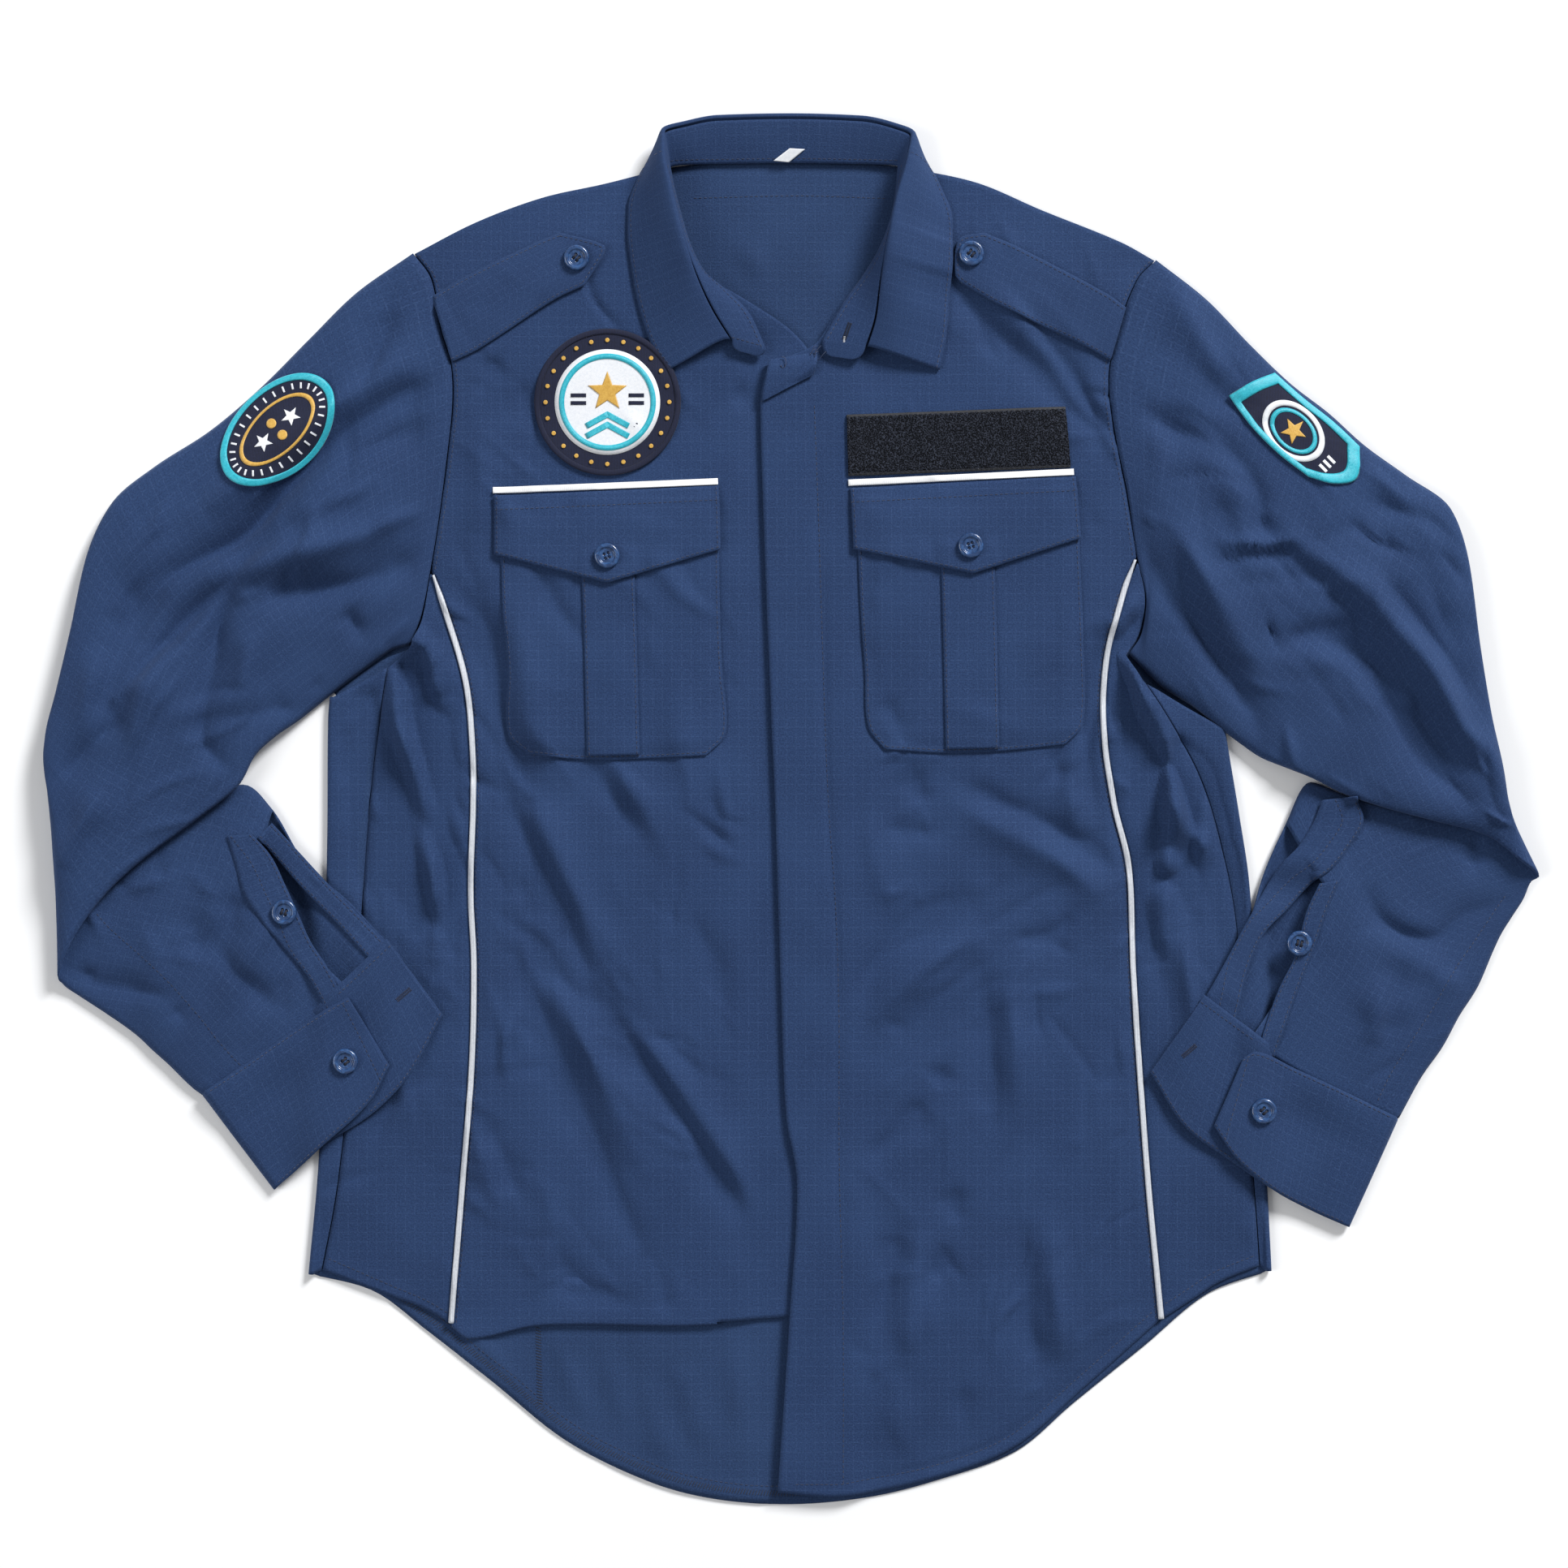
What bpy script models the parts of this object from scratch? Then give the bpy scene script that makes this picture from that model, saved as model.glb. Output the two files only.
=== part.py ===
"""A long-sleeved uniform shirt laid out flat, front up, with its sleeves folded at the elbow.

The shirt rests on the plane Z = 0. +X is the right of the picture, +Y runs from hem to collar.
Every cloth piece is a wall: a grid of points in plan, lifted by a height rule, then thickened.
The back lies on the ground and wraps round both sides, the fronts lie over it, and whatever is
sewn on a panel is dropped on to that panel's own surface. Sizes are in millimetres.
"""
import math

import bmesh
import bpy
from mathutils import Vector
from mathutils.bvhtree import BVHTree

MM = 0.001

CLOTH = 1.2            # wall of one layer
DOUBLE = 1.6           # collar and cuff, cloth on both sides of an interlining
GAP = 0.3              # between two layers that touch
SEAM = 0.5             # between two edges that are sewn to each other
ARMHOLE_GAP = 1.0      # the same where a rounded sleeve meets the flat body

BACK_Z = CLOTH / 2     # middle of the back's wall
FRONT_Z = 5.0          # middle of the fronts' wall where nothing presses them down
FRONT_LOW = 2.5        # the same along shoulder and hem
UNDER_FLY_Z = 3.0      # left front where the fly covers it
FLY_Z = 4.6            # strip under the fly's edge
OVER_FLY_Z = 6.4       # right front where it laps over the left one
SIDE_TURN = 2.2        # radius of the back's turn at each side
FORM_EDGE = 3.4        # height at which a sleeve's side rounds over
PRESSED_FROM = -43.0   # x from which the fly presses the left front down
SLEEVE_REACH = 21.0    # how far round a place a sleeve feels for what lies under it
CUFF_REACH = 21.0      # the same for a cuff
SEWN_REACH = 8.0       # the same for what is sewn on a panel
PIPING_REACH = 9.0
STRIP_REACH = 6.0
POCKET_REACH = 7.0
BADGE_REACH = 5.0
TAG_REACH = 3.0
POCKET_GAP = 0.4       # under pocket bags and shoulder straps
WIDE_GAP = 0.6         # under flaps and plackets
POCKET_WALL = 1.0
FLAP_WALL = 1.2
STRAP_WALL = 1.4

BUTTON_R = 7.5
BUTTON_H = 2.8
BUTTON_SIDES = 16

NAVY = (0.020, 0.034, 0.085, 1.0)
NAVY_DARK = (0.012, 0.020, 0.050, 1.0)
SILVER = (0.42, 0.45, 0.50, 1.0)
WHITE = (0.80, 0.81, 0.82, 1.0)
BLACK = (0.010, 0.010, 0.014, 1.0)
BUTTON_BLUE = (0.018, 0.040, 0.115, 1.0)
PATCH_BLUE = (0.008, 0.012, 0.035, 1.0)
TEAL = (0.010, 0.350, 0.430, 1.0)

# Outline of the body, each row x, y
SHOULDER_LEFT = [(-222.0, 326.0), (-186.0, 344.5), (-147.0, 359.0), (-109.0, 367.5), (-74.0, 376.5)]
SHOULDER_RIGHT = [(64.0, 377.5), (109.0, 368.0), (147.0, 352.0), (194.0, 333.0), (214.0, 322.0)]
BACK_NECK = [(-74.0, 376.5), (-40.0, 380.0), (0.0, 381.0), (35.0, 380.0), (64.0, 377.5)]
ARMHOLE_LEFT = [(-222.0, 326.0), (-211.5, 311.0), (-206.0, 281.5), (-200.0, 261.5), (-199.0, 238.0),
                (-202.0, 208.0), (-207.0, 170.0), (-212.0, 140.0), (-217.5, 113.0), (-224.0, 96.5)]
ARMHOLE_RIGHT = [(214.0, 322.0), (203.5, 311.0), (192.0, 281.0), (186.5, 251.0), (190.5, 218.0),
                 (197.0, 187.0), (203.2, 148.0), (208.5, 124.0), (206.0, 103.0), (198.5, 91.0)]
PIT_LEFT = [(-223.5, 94.5), (-241.5, 83.5), (-272.0, 59.5)]
PIT_RIGHT = [(197.0, 89.5), (214.5, 67.0), (256.0, 38.0)]
SIDE_LEFT = [(-272.0, 59.5), (-272.5, -18.0), (-274.5, -110.0), (-277.5, -206.0), (-283.5, -274.0)]
SIDE_RIGHT = [(256.0, 38.0), (263.0, -4.0), (269.0, -45.0), (275.0, -140.0), (279.5, -223.0),
              (282.0, -272.0)]
BACK_HEM = [(-283.5, -274.0), (-246.0, -284.0), (-216.0, -306.0), (-177.0, -336.5), (-132.0, -372.5),
            (-83.0, -396.5), (-45.0, -406.5), (0.0, -409.6), (45.0, -405.5), (84.0, -396.0),
            (132.0, -378.5), (166.0, -350.0), (208.0, -316.0), (245.0, -285.5), (282.0, -272.0)]
SEAM_LEFT = [(-237.0, 82.5), (-245.5, 27.0), (-250.5, -28.0), (-257.0, -130.0), (-267.0, -224.0),
             (-276.0, -271.5)]
SEAM_RIGHT = [(208.0, 72.5), (238.5, 23.0), (255.0, -30.0), (262.5, -74.0), (269.0, -180.0),
              (275.5, -269.0)]
PIPING_LEFT = [(-212.0, 140.0), (-203.0, 115.0), (-191.5, 75.5), (-187.5, 38.0), (-187.0, 0.0),
               (-188.5, -48.0), (-186.5, -93.0), (-188.0, -154.0), (-193.5, -224.0), (-200.0, -303.0)]
PIPING_RIGHT = [(203.2, 148.0), (195.0, 126.5), (185.5, 89.0), (183.5, 47.0), (189.5, 4.0),
                (198.5, -34.0), (201.0, -95.0), (204.0, -144.0), (210.0, -224.0), (217.5, -300.5)]
FLY_EDGE = [(-15.3, 140.0), (-11.5, 45.0), (-9.5, 0.0), (-5.7, -121.0), (-2.9, -182.0), (3.3, -220.0),
            (-1.0, -299.0), (-8.1, -402.0)]
FRONT_HEM_RIGHT = [(-8.1, -402.0), (30.0, -404.5), (84.0, -394.5), (131.0, -376.5), (173.0, -341.0),
                   (217.5, -301.5)]
FRONT_FOLD_LEFT = [(-199.5, -306.0), (-189.0, -313.0), (-147.0, -304.5), (-60.0, -303.5), (14.0, -298.0)]
SIDE_HEM_LEFT = [(-275.4, -271.0), (-237.0, -287.5), (-216.0, -296.5), (-200.5, -306.0)]
SIDE_HEM_RIGHT = [(218.0, -301.0), (236.5, -289.0), (252.0, -279.0), (275.0, -269.5)]
NECK_LEFT = [(-74.0, 376.5), (-66.0, 342.0), (-54.5, 314.5), (-36.0, 304.0), (-21.5, 295.5), (2.0, 279.0)]
NECK_RIGHT = [(64.0, 377.5), (61.5, 355.0), (51.5, 328.0), (39.0, 308.0), (25.0, 289.0), (13.0, 272.0),
              (-12.0, 261.0)]

# Largest folds of the body, each row x0, y0, x1, y1, half width, height (a trough is below zero)
BODY_FOLDS = [
    (-196, 130, -176, 82, 15, -2.2), (-176, 82, -154, 6, 15, -2.2), (-166, 128, -140, 20, 18, 2.6),
    (-171, 15, -144, -44, 13, -2.0), (-144, -44, -118, -104, 13, -2.2), (-150, 0, -108, -92, 16, 3.0),
    (-163, -86, -123, -191, 14, -2.4), (-123, -191, -88, -263, 15, -2.4), (-142, -90, -100, -205, 16, 3.4),
    (-144, -91, -112, -120, 12, -2.2), (-112, -120, -48, -206, 14, -2.4), (-48, -206, -23, -248, 13, -2.2),
    (-96, -122, -30, -214, 17, 3.6), (-140, -250, -124, -284, 13, -2.2), (-124, -284, -80, -294, 13, -2.0),
    (-179, -186, -162, -229, 12, 2.4), (-150, 140, -123, 98, 13, -1.6), (-117, 27, -88, -16, 14, -2.0),
    (-239, 44, -194, -47, 15, 2.6), (-245, -12, -203, -76, 13, -1.8), (-222, 60, -196, 8, 12, 2.4),
    (-262, -90, -232, -170, 15, 1.8), (21, 131, 41, 79, 13, -1.2), (70, 25, 78, -10, 14, -1.8),
    (106, 13, 140, -4, 13, -2.2), (140, -4, 189, -35, 14, -2.6), (98, 0, 184, -54, 18, 3.2),
    (180, 98, 174, 38, 12, -1.8), (174, 38, 180, -13, 12, -2.0), (160, 20, 164, -20, 13, 2.2),
    (31, -113, 76, -68, 19, 3.4), (76, -68, 99, -53, 17, 2.8), (113, -102, 117, -180, 14, -2.0),
    (129, -104, 132, -176, 14, 2.2), (45, -206, 79, -172, 14, -2.0), (61, -250, 53, -305, 13, -2.0),
    (78, -246, 70, -320, 14, 2.4), (138, -252, 146, -324, 14, -2.0), (154, -250, 160, -318, 14, 2.2),
    (98, 303, 136, 262, 13, -1.8), (136, 262, 181, 219, 13, -1.8), (134, 285, 165, 244, 12, -1.8),
    (165, 244, 193, 211, 12, -2.0), (120, 300, 188, 232, 15, 2.4), (-183, 244, -172, 266, 11, -1.8),
    (-44, 242, -22, 252, 12, 2.0), (188, 92, 203, 42, 10, -2.2), (206, 38, 238, 21, 11, -1.8),
    (196, 2, 206, -36, 10, -1.8), (206, -36, 238, -45, 11, 2.2), (216, 4, 240, -24, 12, 2.4),
    (222, -90, 236, -170, 14, 1.8), (60, -330, 66, -380, 14, 1.6), (-70, 90, -60, 0, 16, 1.4),
]

# Largest folds of the sleeves, same columns
SLEEVE_FOLDS = [
    (-209, 252, -301, 181, 17, -3.6), (-301, 181, -378, 113, 19, -4.2), (-378, 113, -403, 62, 15, -3.0),
    (-295, 164, -347, 117, 15, -3.2), (-347, 117, -396, 62, 14, -3.0), (-219, 146, -310, 126, 15, -3.4),
    (-325, 130, -345, 44, 14, -3.0), (-345, 44, -326, 20, 13, -2.4), (-262, 117, -250, 97, 11, -2.4),
    (-232, 172, -330, 140, 18, 3.4), (-250, 252, -350, 165, 22, 3.0), (-362, 96, -384, 40, 15, 3.0),
    (-300, 110, -318, 50, 17, 2.8), (-227, 314, -256, 240, 13, -2.2), (-417, 18, -390, 56, 12, -2.2),
    (248, 221, 273, 187, 15, -3.0), (273, 187, 339, 99, 18, -4.2), (339, 99, 372, 44, 16, -3.8),
    (372, 44, 401, 26, 12, -2.4), (292, 159, 357, 101, 18, 3.4), (357, 101, 409, 30, 16, 3.4),
    (209, 148, 248, 90, 14, -3.0), (248, 90, 276, 38, 14, -3.2), (222, 170, 262, 96, 17, 3.2),
    (292, 100, 328, 107, 13, -2.2), (336, 181, 390, 163, 14, -2.4), (221, 311, 253, 251, 16, 3.2),
    (207, 232, 248, 214, 13, -2.6), (300, 96, 352, 60, 15, 2.6),
    (-326, -50, -330, -77, 11, -1.6), (-352, -66, -348, -84, 11, -1.6), (-395, -106, -364, -111, 10, -1.6),
    (335, -42, 366, -76, 13, -2.2), (366, -76, 417, -55, 13, -2.0), (340, -96, 352, -138, 14, 1.8),
]

# Sleeve rows, each ax, ay (outer side), mx, my (middle), bx, by (lower side),
# height of outer wall, height of inner wall, their shifts towards the fold, lift of the side
SLEEVE_LEFT = [
    (-222.0, 326.0, -199.0, 235.0, -224.0, 97.5, 5.6, 0.6, 0.0, 0.0),
    (-255.5, 302.5, -228.5, 201.0, -233.5, 94.0, 10.5, 0.6, 0.0, 0.0),
    (-282.5, 276.0, -257.0, 183.5, -243.0, 87.8, 13.5, 0.6, 0.0, 0.0),
    (-312.0, 246.5, -282.0, 163.0, -253.0, 80.6, 15.0, 0.6, 0.0, 0.0),
    (-341.5, 221.5, -308.5, 141.5, -265.5, 71.2, 15.5, 0.6, 0.0, 0.0),
    (-374.5, 200.0, -334.5, 125.0, -279.0, 60.5, 16.0, 1.2, 0.0, 0.0),
    (-398.0, 180.0, -353.5, 110.5, -289.5, 52.0, 16.5, 2.8, 0.0, 0.0),
    (-412.5, 149.5, -368.0, 91.5, -303.5, 42.0, 17.5, 5.8, 0.0, 0.0),
    (-421.5, 106.0, -377.5, 70.0, -314.5, 31.0, 18.5, 9.2, 0.0, 0.0),
    (-430.0, 69.5, -387.0, 43.5, -323.0, 15.0, 19.0, 9.6, 0.0, 0.0),
    (-436.4, 43.5, -401.5, 17.0, -349.0, -6.5, 19.0, 9.6, 0.0, 0.0),
    (-437.6, 30.5, -413.5, -2.0, -375.0, -25.5, 18.5, 9.6, 0.0, 0.0),
    (-437.0, 23.0, -424.0, -18.5, -401.5, -49.5, 18.0, 9.6, 0.0, 0.0),
    (-435.0, 18.5, -429.0, -33.0, -420.5, -76.0, 15.5, 9.4, 0.0, 5.0),
    (-436.3, 13.0, -431.5, -41.0, -430.0, -99.0, 9.2, 8.2, 0.0, 5.5),
    (-435.0, 9.0, -429.0, -47.0, -428.0, -103.0, 2.6, 7.0, 0.0, 5.5),
    (-416.0, 5.0, -416.0, -52.0, -419.0, -109.5, 0.6, 6.8, 0.0, 0.0),
    (-380.0, 3.0, -394.5, -58.0, -409.0, -116.0, 0.6, 6.8, 0.0, 0.0),
    (-346.5, 8.0, -370.5, -63.0, -394.0, -126.0, 0.6, 7.4, 0.0, 0.0),
    (-322.5, 13.5, -351.5, -67.0, -384.0, -133.5, 0.6, 8.8, 0.0, 0.0),
    (-305.0, -1.5, -334.5, -81.0, -375.0, -142.0, 0.6, 10.5, 0.0, 0.0),
    (-286.5, -31.5, -318.0, -97.5, -365.5, -150.5, 0.6, 11.0, 0.0, 0.0),
    (-258.0, -56.0, -301.0, -115.5, -356.0, -160.0, 0.6, 10.0, 0.0, 0.0),
    (-243.0, -72.0, -294.0, -121.5, -351.0, -164.5, 0.6, 9.0, 0.0, 0.0),
    (-227.5, -88.0, -287.0, -127.0, -345.5, -168.5, 0.6, 8.0, 0.0, 0.0),
]
SLEEVE_RIGHT = [
    (214.0, 322.0, 187.0, 235.0, 198.5, 92.5, 5.6, 0.6, 0.0, 0.0),
    (244.0, 298.5, 222.5, 194.0, 206.5, 82.8, 10.5, 0.6, 0.0, 0.0),
    (269.5, 272.0, 246.0, 175.0, 218.0, 71.6, 13.5, 0.6, 0.0, 0.0),
    (293.5, 249.0, 267.5, 158.0, 236.0, 60.4, 15.0, 0.6, 0.0, 0.0),
    (315.5, 232.0, 289.0, 141.5, 252.0, 47.6, 15.5, 0.6, 0.0, 0.0),
    (336.5, 213.0, 310.5, 122.5, 264.0, 38.5, 16.0, 1.2, 0.0, 0.0),
    (361.0, 195.0, 330.0, 105.5, 276.5, 30.0, 16.5, 2.8, 0.0, 0.0),
    (386.0, 176.0, 346.5, 91.5, 291.0, 24.0, 17.5, 5.8, 0.0, 0.0),
    (396.0, 146.5, 358.5, 72.0, 304.5, 18.5, 18.5, 9.2, 0.0, 0.0),
    (403.0, 95.0, 373.0, 50.5, 322.5, 9.5, 19.0, 9.6, 0.0, 0.0),
    (409.5, 55.5, 389.5, 24.5, 347.0, 1.0, 19.0, 9.6, 0.0, 0.0),
    (416.5, 22.0, 404.0, 5.5, 375.0, -6.5, 18.5, 9.6, 0.0, 0.0),
    (418.8, 6.0, 416.5, -5.5, 406.5, -15.0, 17.0, 9.6, 0.0, 0.0),
    (420.0, 0.0, 424.0, -15.0, 428.0, -31.0, 15.0, 9.4, 0.0, 5.0),
    (421.5, -6.5, 429.0, -21.0, 438.3, -39.5, 9.2, 8.2, 0.0, 5.5),
    (419.0, -11.5, 425.0, -28.0, 434.5, -43.0, 2.6, 7.0, 0.0, 5.5),
    (389.5, -9.0, 401.5, -36.0, 430.0, -53.0, 0.6, 6.8, 0.0, 0.0),
    (351.5, 0.0, 377.5, -42.0, 423.0, -64.0, 0.6, 6.8, 0.0, 0.0),
    (322.5, 8.5, 361.0, -50.0, 417.0, -73.5, 0.6, 7.4, 0.0, 0.0),
    (305.5, 15.0, 349.0, -59.5, 412.5, -83.0, 0.6, 8.8, 0.0, 0.0),
    (291.0, -9.5, 342.0, -78.5, 403.0, -105.0, 0.6, 10.5, 0.0, 0.0),
    (279.5, -34.5, 332.0, -100.0, 392.5, -121.5, 0.6, 11.0, 0.0, 0.0),
    (267.5, -69.0, 320.0, -119.0, 382.5, -140.0, 0.6, 10.5, 0.0, 0.0),
    (256.5, -88.0, 309.0, -138.0, 370.5, -157.0, 0.6, 9.5, 0.0, 0.0),
    (241.5, -112.5, 299.0, -151.5, 357.0, -181.5, 0.6, 8.0, 0.0, 0.0),
]
SLIT_ROW = 20                 # first sleeve row whose upper wall is slit

# Fractions across a sleeve at which its two walls have points
OUTER_ACROSS = (0.0, 0.035, 0.1, 0.2, 0.32, 0.44, 0.56, 0.68, 0.8, 0.9, 0.965, 1.0)
INNER_ACROSS = (0.965, 0.88, 0.76, 0.62, 0.48, 0.36, 0.25, 0.12, 0.035)
SLIT_COLUMNS = 2              # wall cells between the slit's edge and the sleeve's side

# Cuff stations, each x, y at the sleeve, x, y at the hem, layer (1 on top, 0 below)
CUFF_LEFT = [
    (-258.5, -112.0, -235.5, -150.5, 1), (-267.5, -116.5, -246.0, -170.5, 1),
    (-294.0, -133.5, -275.0, -198.0, 1), (-322.5, -153.5, -294.0, -215.5, 1),
    (-341.5, -166.0, -301.0, -221.5, 1), (-345.5, -168.5, -303.5, -224.0, 0.5),
    (-341.5, -166.0, -301.0, -221.5, 0), (-322.5, -153.5, -294.0, -215.5, 0),
    (-294.0, -133.5, -275.0, -198.0, 0), (-262.0, -112.0, -247.0, -180.0, 0),
    (-238.0, -95.0, -222.0, -158.0, 0), (-224.0, -89.5, -205.0, -124.0, 0),
]
CUFF_RIGHT = [
    (264.0, -148.0, 247.5, -186.0, 1), (272.0, -144.0, 261.5, -206.0, 1),
    (297.0, -155.0, 284.5, -225.0, 1), (323.0, -167.0, 306.0, -236.5, 1),
    (351.5, -181.0, 324.0, -244.5, 1), (356.0, -183.0, 327.5, -246.0, 0.5),
    (351.5, -181.0, 324.0, -244.5, 0), (323.0, -167.0, 306.0, -236.5, 0),
    (297.0, -155.0, 284.5, -225.0, 0), (268.0, -140.0, 258.0, -207.0, 0),
    (249.0, -125.0, 231.0, -187.0, 0), (240.0, -114.5, 211.0, -156.0, 0),
]
CUFF_SEAM_GAP = 2.6           # from the sleeve's last row
CUFF_GAP = 0.7                # over what a cuff lies on
CUFF_CELLS = 4

# Collar stations, each seam x, y, z, fold x, y, z, leaf edge x, y, drop of the leaf's middle
COLLAR = [
    (-15.0, 269.5, 8.2, -34.5, 274.5, 11.0, -72.0, 257.5, 5.0),
    (-25.0, 290.5, 8.0, -45.5, 292.0, 14.5, -82.0, 272.5, 6.0),
    (-38.0, 303.5, 7.4, -54.0, 309.0, 18.0, -90.0, 297.0, 8.0),
    (-51.0, 314.5, 7.0, -60.0, 324.0, 21.0, -94.0, 319.0, 8.0),
    (-59.5, 330.5, 6.8, -65.5, 342.0, 22.0, -96.0, 337.5, 8.0),
    (-65.5, 350.0, 6.6, -70.5, 363.5, 21.0, -95.5, 354.0, 7.0),
    (-69.5, 366.0, 6.2, -74.0, 380.5, 18.5, -91.5, 366.0, 6.0),
    (-71.5, 376.5, 5.4, -74.5, 394.5, 13.5, -84.0, 378.5, 3.0),
    (-61.0, 378.5, 4.0, -62.0, 399.5, 10.5, -66.0, 383.5, 0.0),
    (-43.0, 379.0, 3.2, -43.0, 403.3, 9.0, -43.0, 384.0, 0.0),
    (0.0, 379.5, 3.2, 0.0, 404.3, 9.0, 0.0, 384.5, 0.0),
    (38.5, 379.0, 3.2, 40.5, 403.0, 9.0, 39.5, 384.0, 0.0),
    (54.5, 378.5, 4.0, 61.5, 398.0, 10.5, 57.5, 383.0, 0.0),
    (63.0, 377.0, 5.4, 70.0, 393.0, 13.5, 78.5, 378.0, 3.0),
    (62.0, 364.0, 6.2, 67.5, 378.0, 18.5, 88.0, 364.0, 6.0),
    (59.0, 347.0, 6.6, 61.5, 356.0, 21.0, 94.5, 345.0, 7.0),
    (52.0, 328.5, 7.2, 56.0, 330.5, 22.0, 94.5, 323.0, 8.0),
    (42.0, 312.0, 7.8, 52.0, 309.0, 20.0, 92.5, 299.0, 8.0),
    (31.5, 297.5, 8.6, 49.0, 288.5, 16.0, 91.0, 278.0, 6.0),
    (18.5, 275.0, 9.4, 43.5, 271.0, 12.0, 87.0, 257.5, 5.0),
]
LEAF_GAP = 2.2                # from the stand's edge to the leaf's first points
COLLAR_MIDDLE = 10            # index of the station at the middle of the back

# Pockets, flaps and what lies on them, one dictionary a side; each row x, y
POCKET_LEFT = {
    "top": [(-171.0, 176.0), (-106.0, 179.0), (-42.5, 182.0)],
    "left": [(-171.0, 176.0), (-169.5, 118.0), (-166.5, 82.0), (-166.5, 44.0), (-154.0, 31.5)],
    "right": [(-42.5, 182.0), (-42.0, 118.0), (-40.5, 82.0), (-38.5, 44.0), (-50.0, 31.0)],
    "bottom": [(-154.0, 31.5), (-120.0, 28.5), (-90.0, 29.0), (-50.0, 31.0)],
    "pleat": [(-123.5, 150.0), (-121.5, 91.0), (-120.0, 30.5)],
    "pleat_width": 31.0,
    "flap_top": [(-174.5, 183.5), (-108.0, 186.5), (-42.5, 189.5)],
    "flap_left": [(-174.5, 183.5), (-174.5, 149.0)],
    "flap_right": [(-42.5, 189.5), (-41.5, 152.0)],
    "flap_point": (-108.0, 132.0),
    "button": (-108.0, 148.0),
    "strip": ((-175.0, 184.8), (-43.0, 190.2)),
}
POCKET_RIGHT = {
    "top": [(38.0, 181.0), (103.0, 184.5), (168.0, 188.0)],
    "left": [(38.0, 181.0), (40.5, 118.0), (43.0, 82.0), (45.0, 48.0), (55.0, 34.5)],
    "right": [(168.0, 188.0), (170.5, 127.0), (171.5, 100.0), (171.5, 50.0), (161.0, 37.5)],
    "bottom": [(55.0, 34.5), (90.0, 32.5), (123.0, 33.5), (161.0, 37.5)],
    "pleat": [(87.5, 154.0), (89.0, 100.0), (90.5, 34.5)],
    "pleat_width": 31.5,
    "flap_top": [(34.5, 188.0), (100.0, 191.5), (167.0, 195.0)],
    "flap_left": [(34.5, 188.0), (36.5, 152.0)],
    "flap_right": [(167.0, 195.0), (170.0, 158.5)],
    "flap_point": (106.5, 137.5),
    "button": (105.0, 154.0),
    "strip": ((33.5, 189.3), (166.0, 195.8)),
}
STRIP_WIDTH = 3.2
FLY_STRIP_WIDTH = 22.0

EPAULETTE_LEFT = {
    "top": [(-211.0, 300.5), (-191.0, 312.5), (-152.5, 331.0), (-136.0, 338.0)],
    "bottom": [(-199.5, 262.0), (-183.0, 270.0), (-140.0, 298.0), (-121.5, 307.0)],
    "tip": [(-136.0, 338.0), (-110.0, 330.5), (-110.0, 325.0), (-121.5, 307.0)],
    "button": (-126.0, 323.0),
}
EPAULETTE_RIGHT = {
    "top": [(196.5, 294.0), (185.5, 302.0), (134.0, 329.0), (113.0, 338.0)],
    "bottom": [(187.5, 263.0), (170.0, 272.5), (121.5, 295.5), (100.0, 308.5)],
    "tip": [(113.0, 338.0), (98.5, 334.0), (96.0, 313.5), (100.0, 308.5)],
    "button": (105.5, 325.5),
}

HOOK_STRIP = [(32.5, 231.0), (161.0, 236.0), (164.0, 200.2), (33.5, 195.0)]
HOOK_STRIP_THICK = 2.0

CHEST_PATCH = (-108.0, 238.5, 43.0, 43.0, 0.0)             # x, y, half length, half width, turn
SLEEVE_OVAL = (-300.5, 221.5, 40.0, 25.5, math.radians(45.0))
PATCH_THICK = 1.4
SHIELD = {
    "top": [(256.5, 242.0), (270.0, 250.0), (283.5, 255.5)],
    "right": [(283.5, 255.5), (301.0, 240.0), (318.0, 226.5), (333.0, 212.0)],
    "left": [(256.5, 242.0), (269.5, 223.5), (284.5, 208.0), (302.5, 194.0)],
    "bottom": [(302.5, 194.0), (317.0, 190.0), (331.0, 193.0), (333.0, 212.0)],
}

NECK_TAG = [(-10.5, 380.5), (-1.0, 387.5), (8.0, 387.0), (-1.5, 379.6)]

PLACKET_LEFT_TOP = {
    "outer": [(-314.5, -18.0), (-305.0, -28.0), (-296.5, -45.0), (-289.0, -61.0), (-281.5, -78.0),
              (-270.5, -95.0), (-264.0, -109.0)],
    "width": 11.0,
    "button": (-296.8, -60.7),
}
PLACKET_LEFT_UNDER = {
    "outer": [(-282.5, -47.5), (-272.0, -56.5), (-255.0, -69.5), (-238.0, -85.5)],
    "width": 11.0,
}
PLACKET_RIGHT_TOP = {
    "outer": [(309.5, -44.0), (302.0, -60.0), (294.5, -88.0), (286.5, -104.0), (279.0, -124.0),
              (273.5, -141.0)],
    "width": 11.0,
    "button": (297.5, -79.0),
}
PLACKET_RIGHT_UNDER = {
    "outer": [(281.0, -42.0), (276.0, -57.0), (266.0, -80.0), (252.0, -100.0)],
    "width": 12.0,
}
CUFF_BUTTONS = {"left": (-261.0, -148.0), "right": (276.5, -177.0)}


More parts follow.
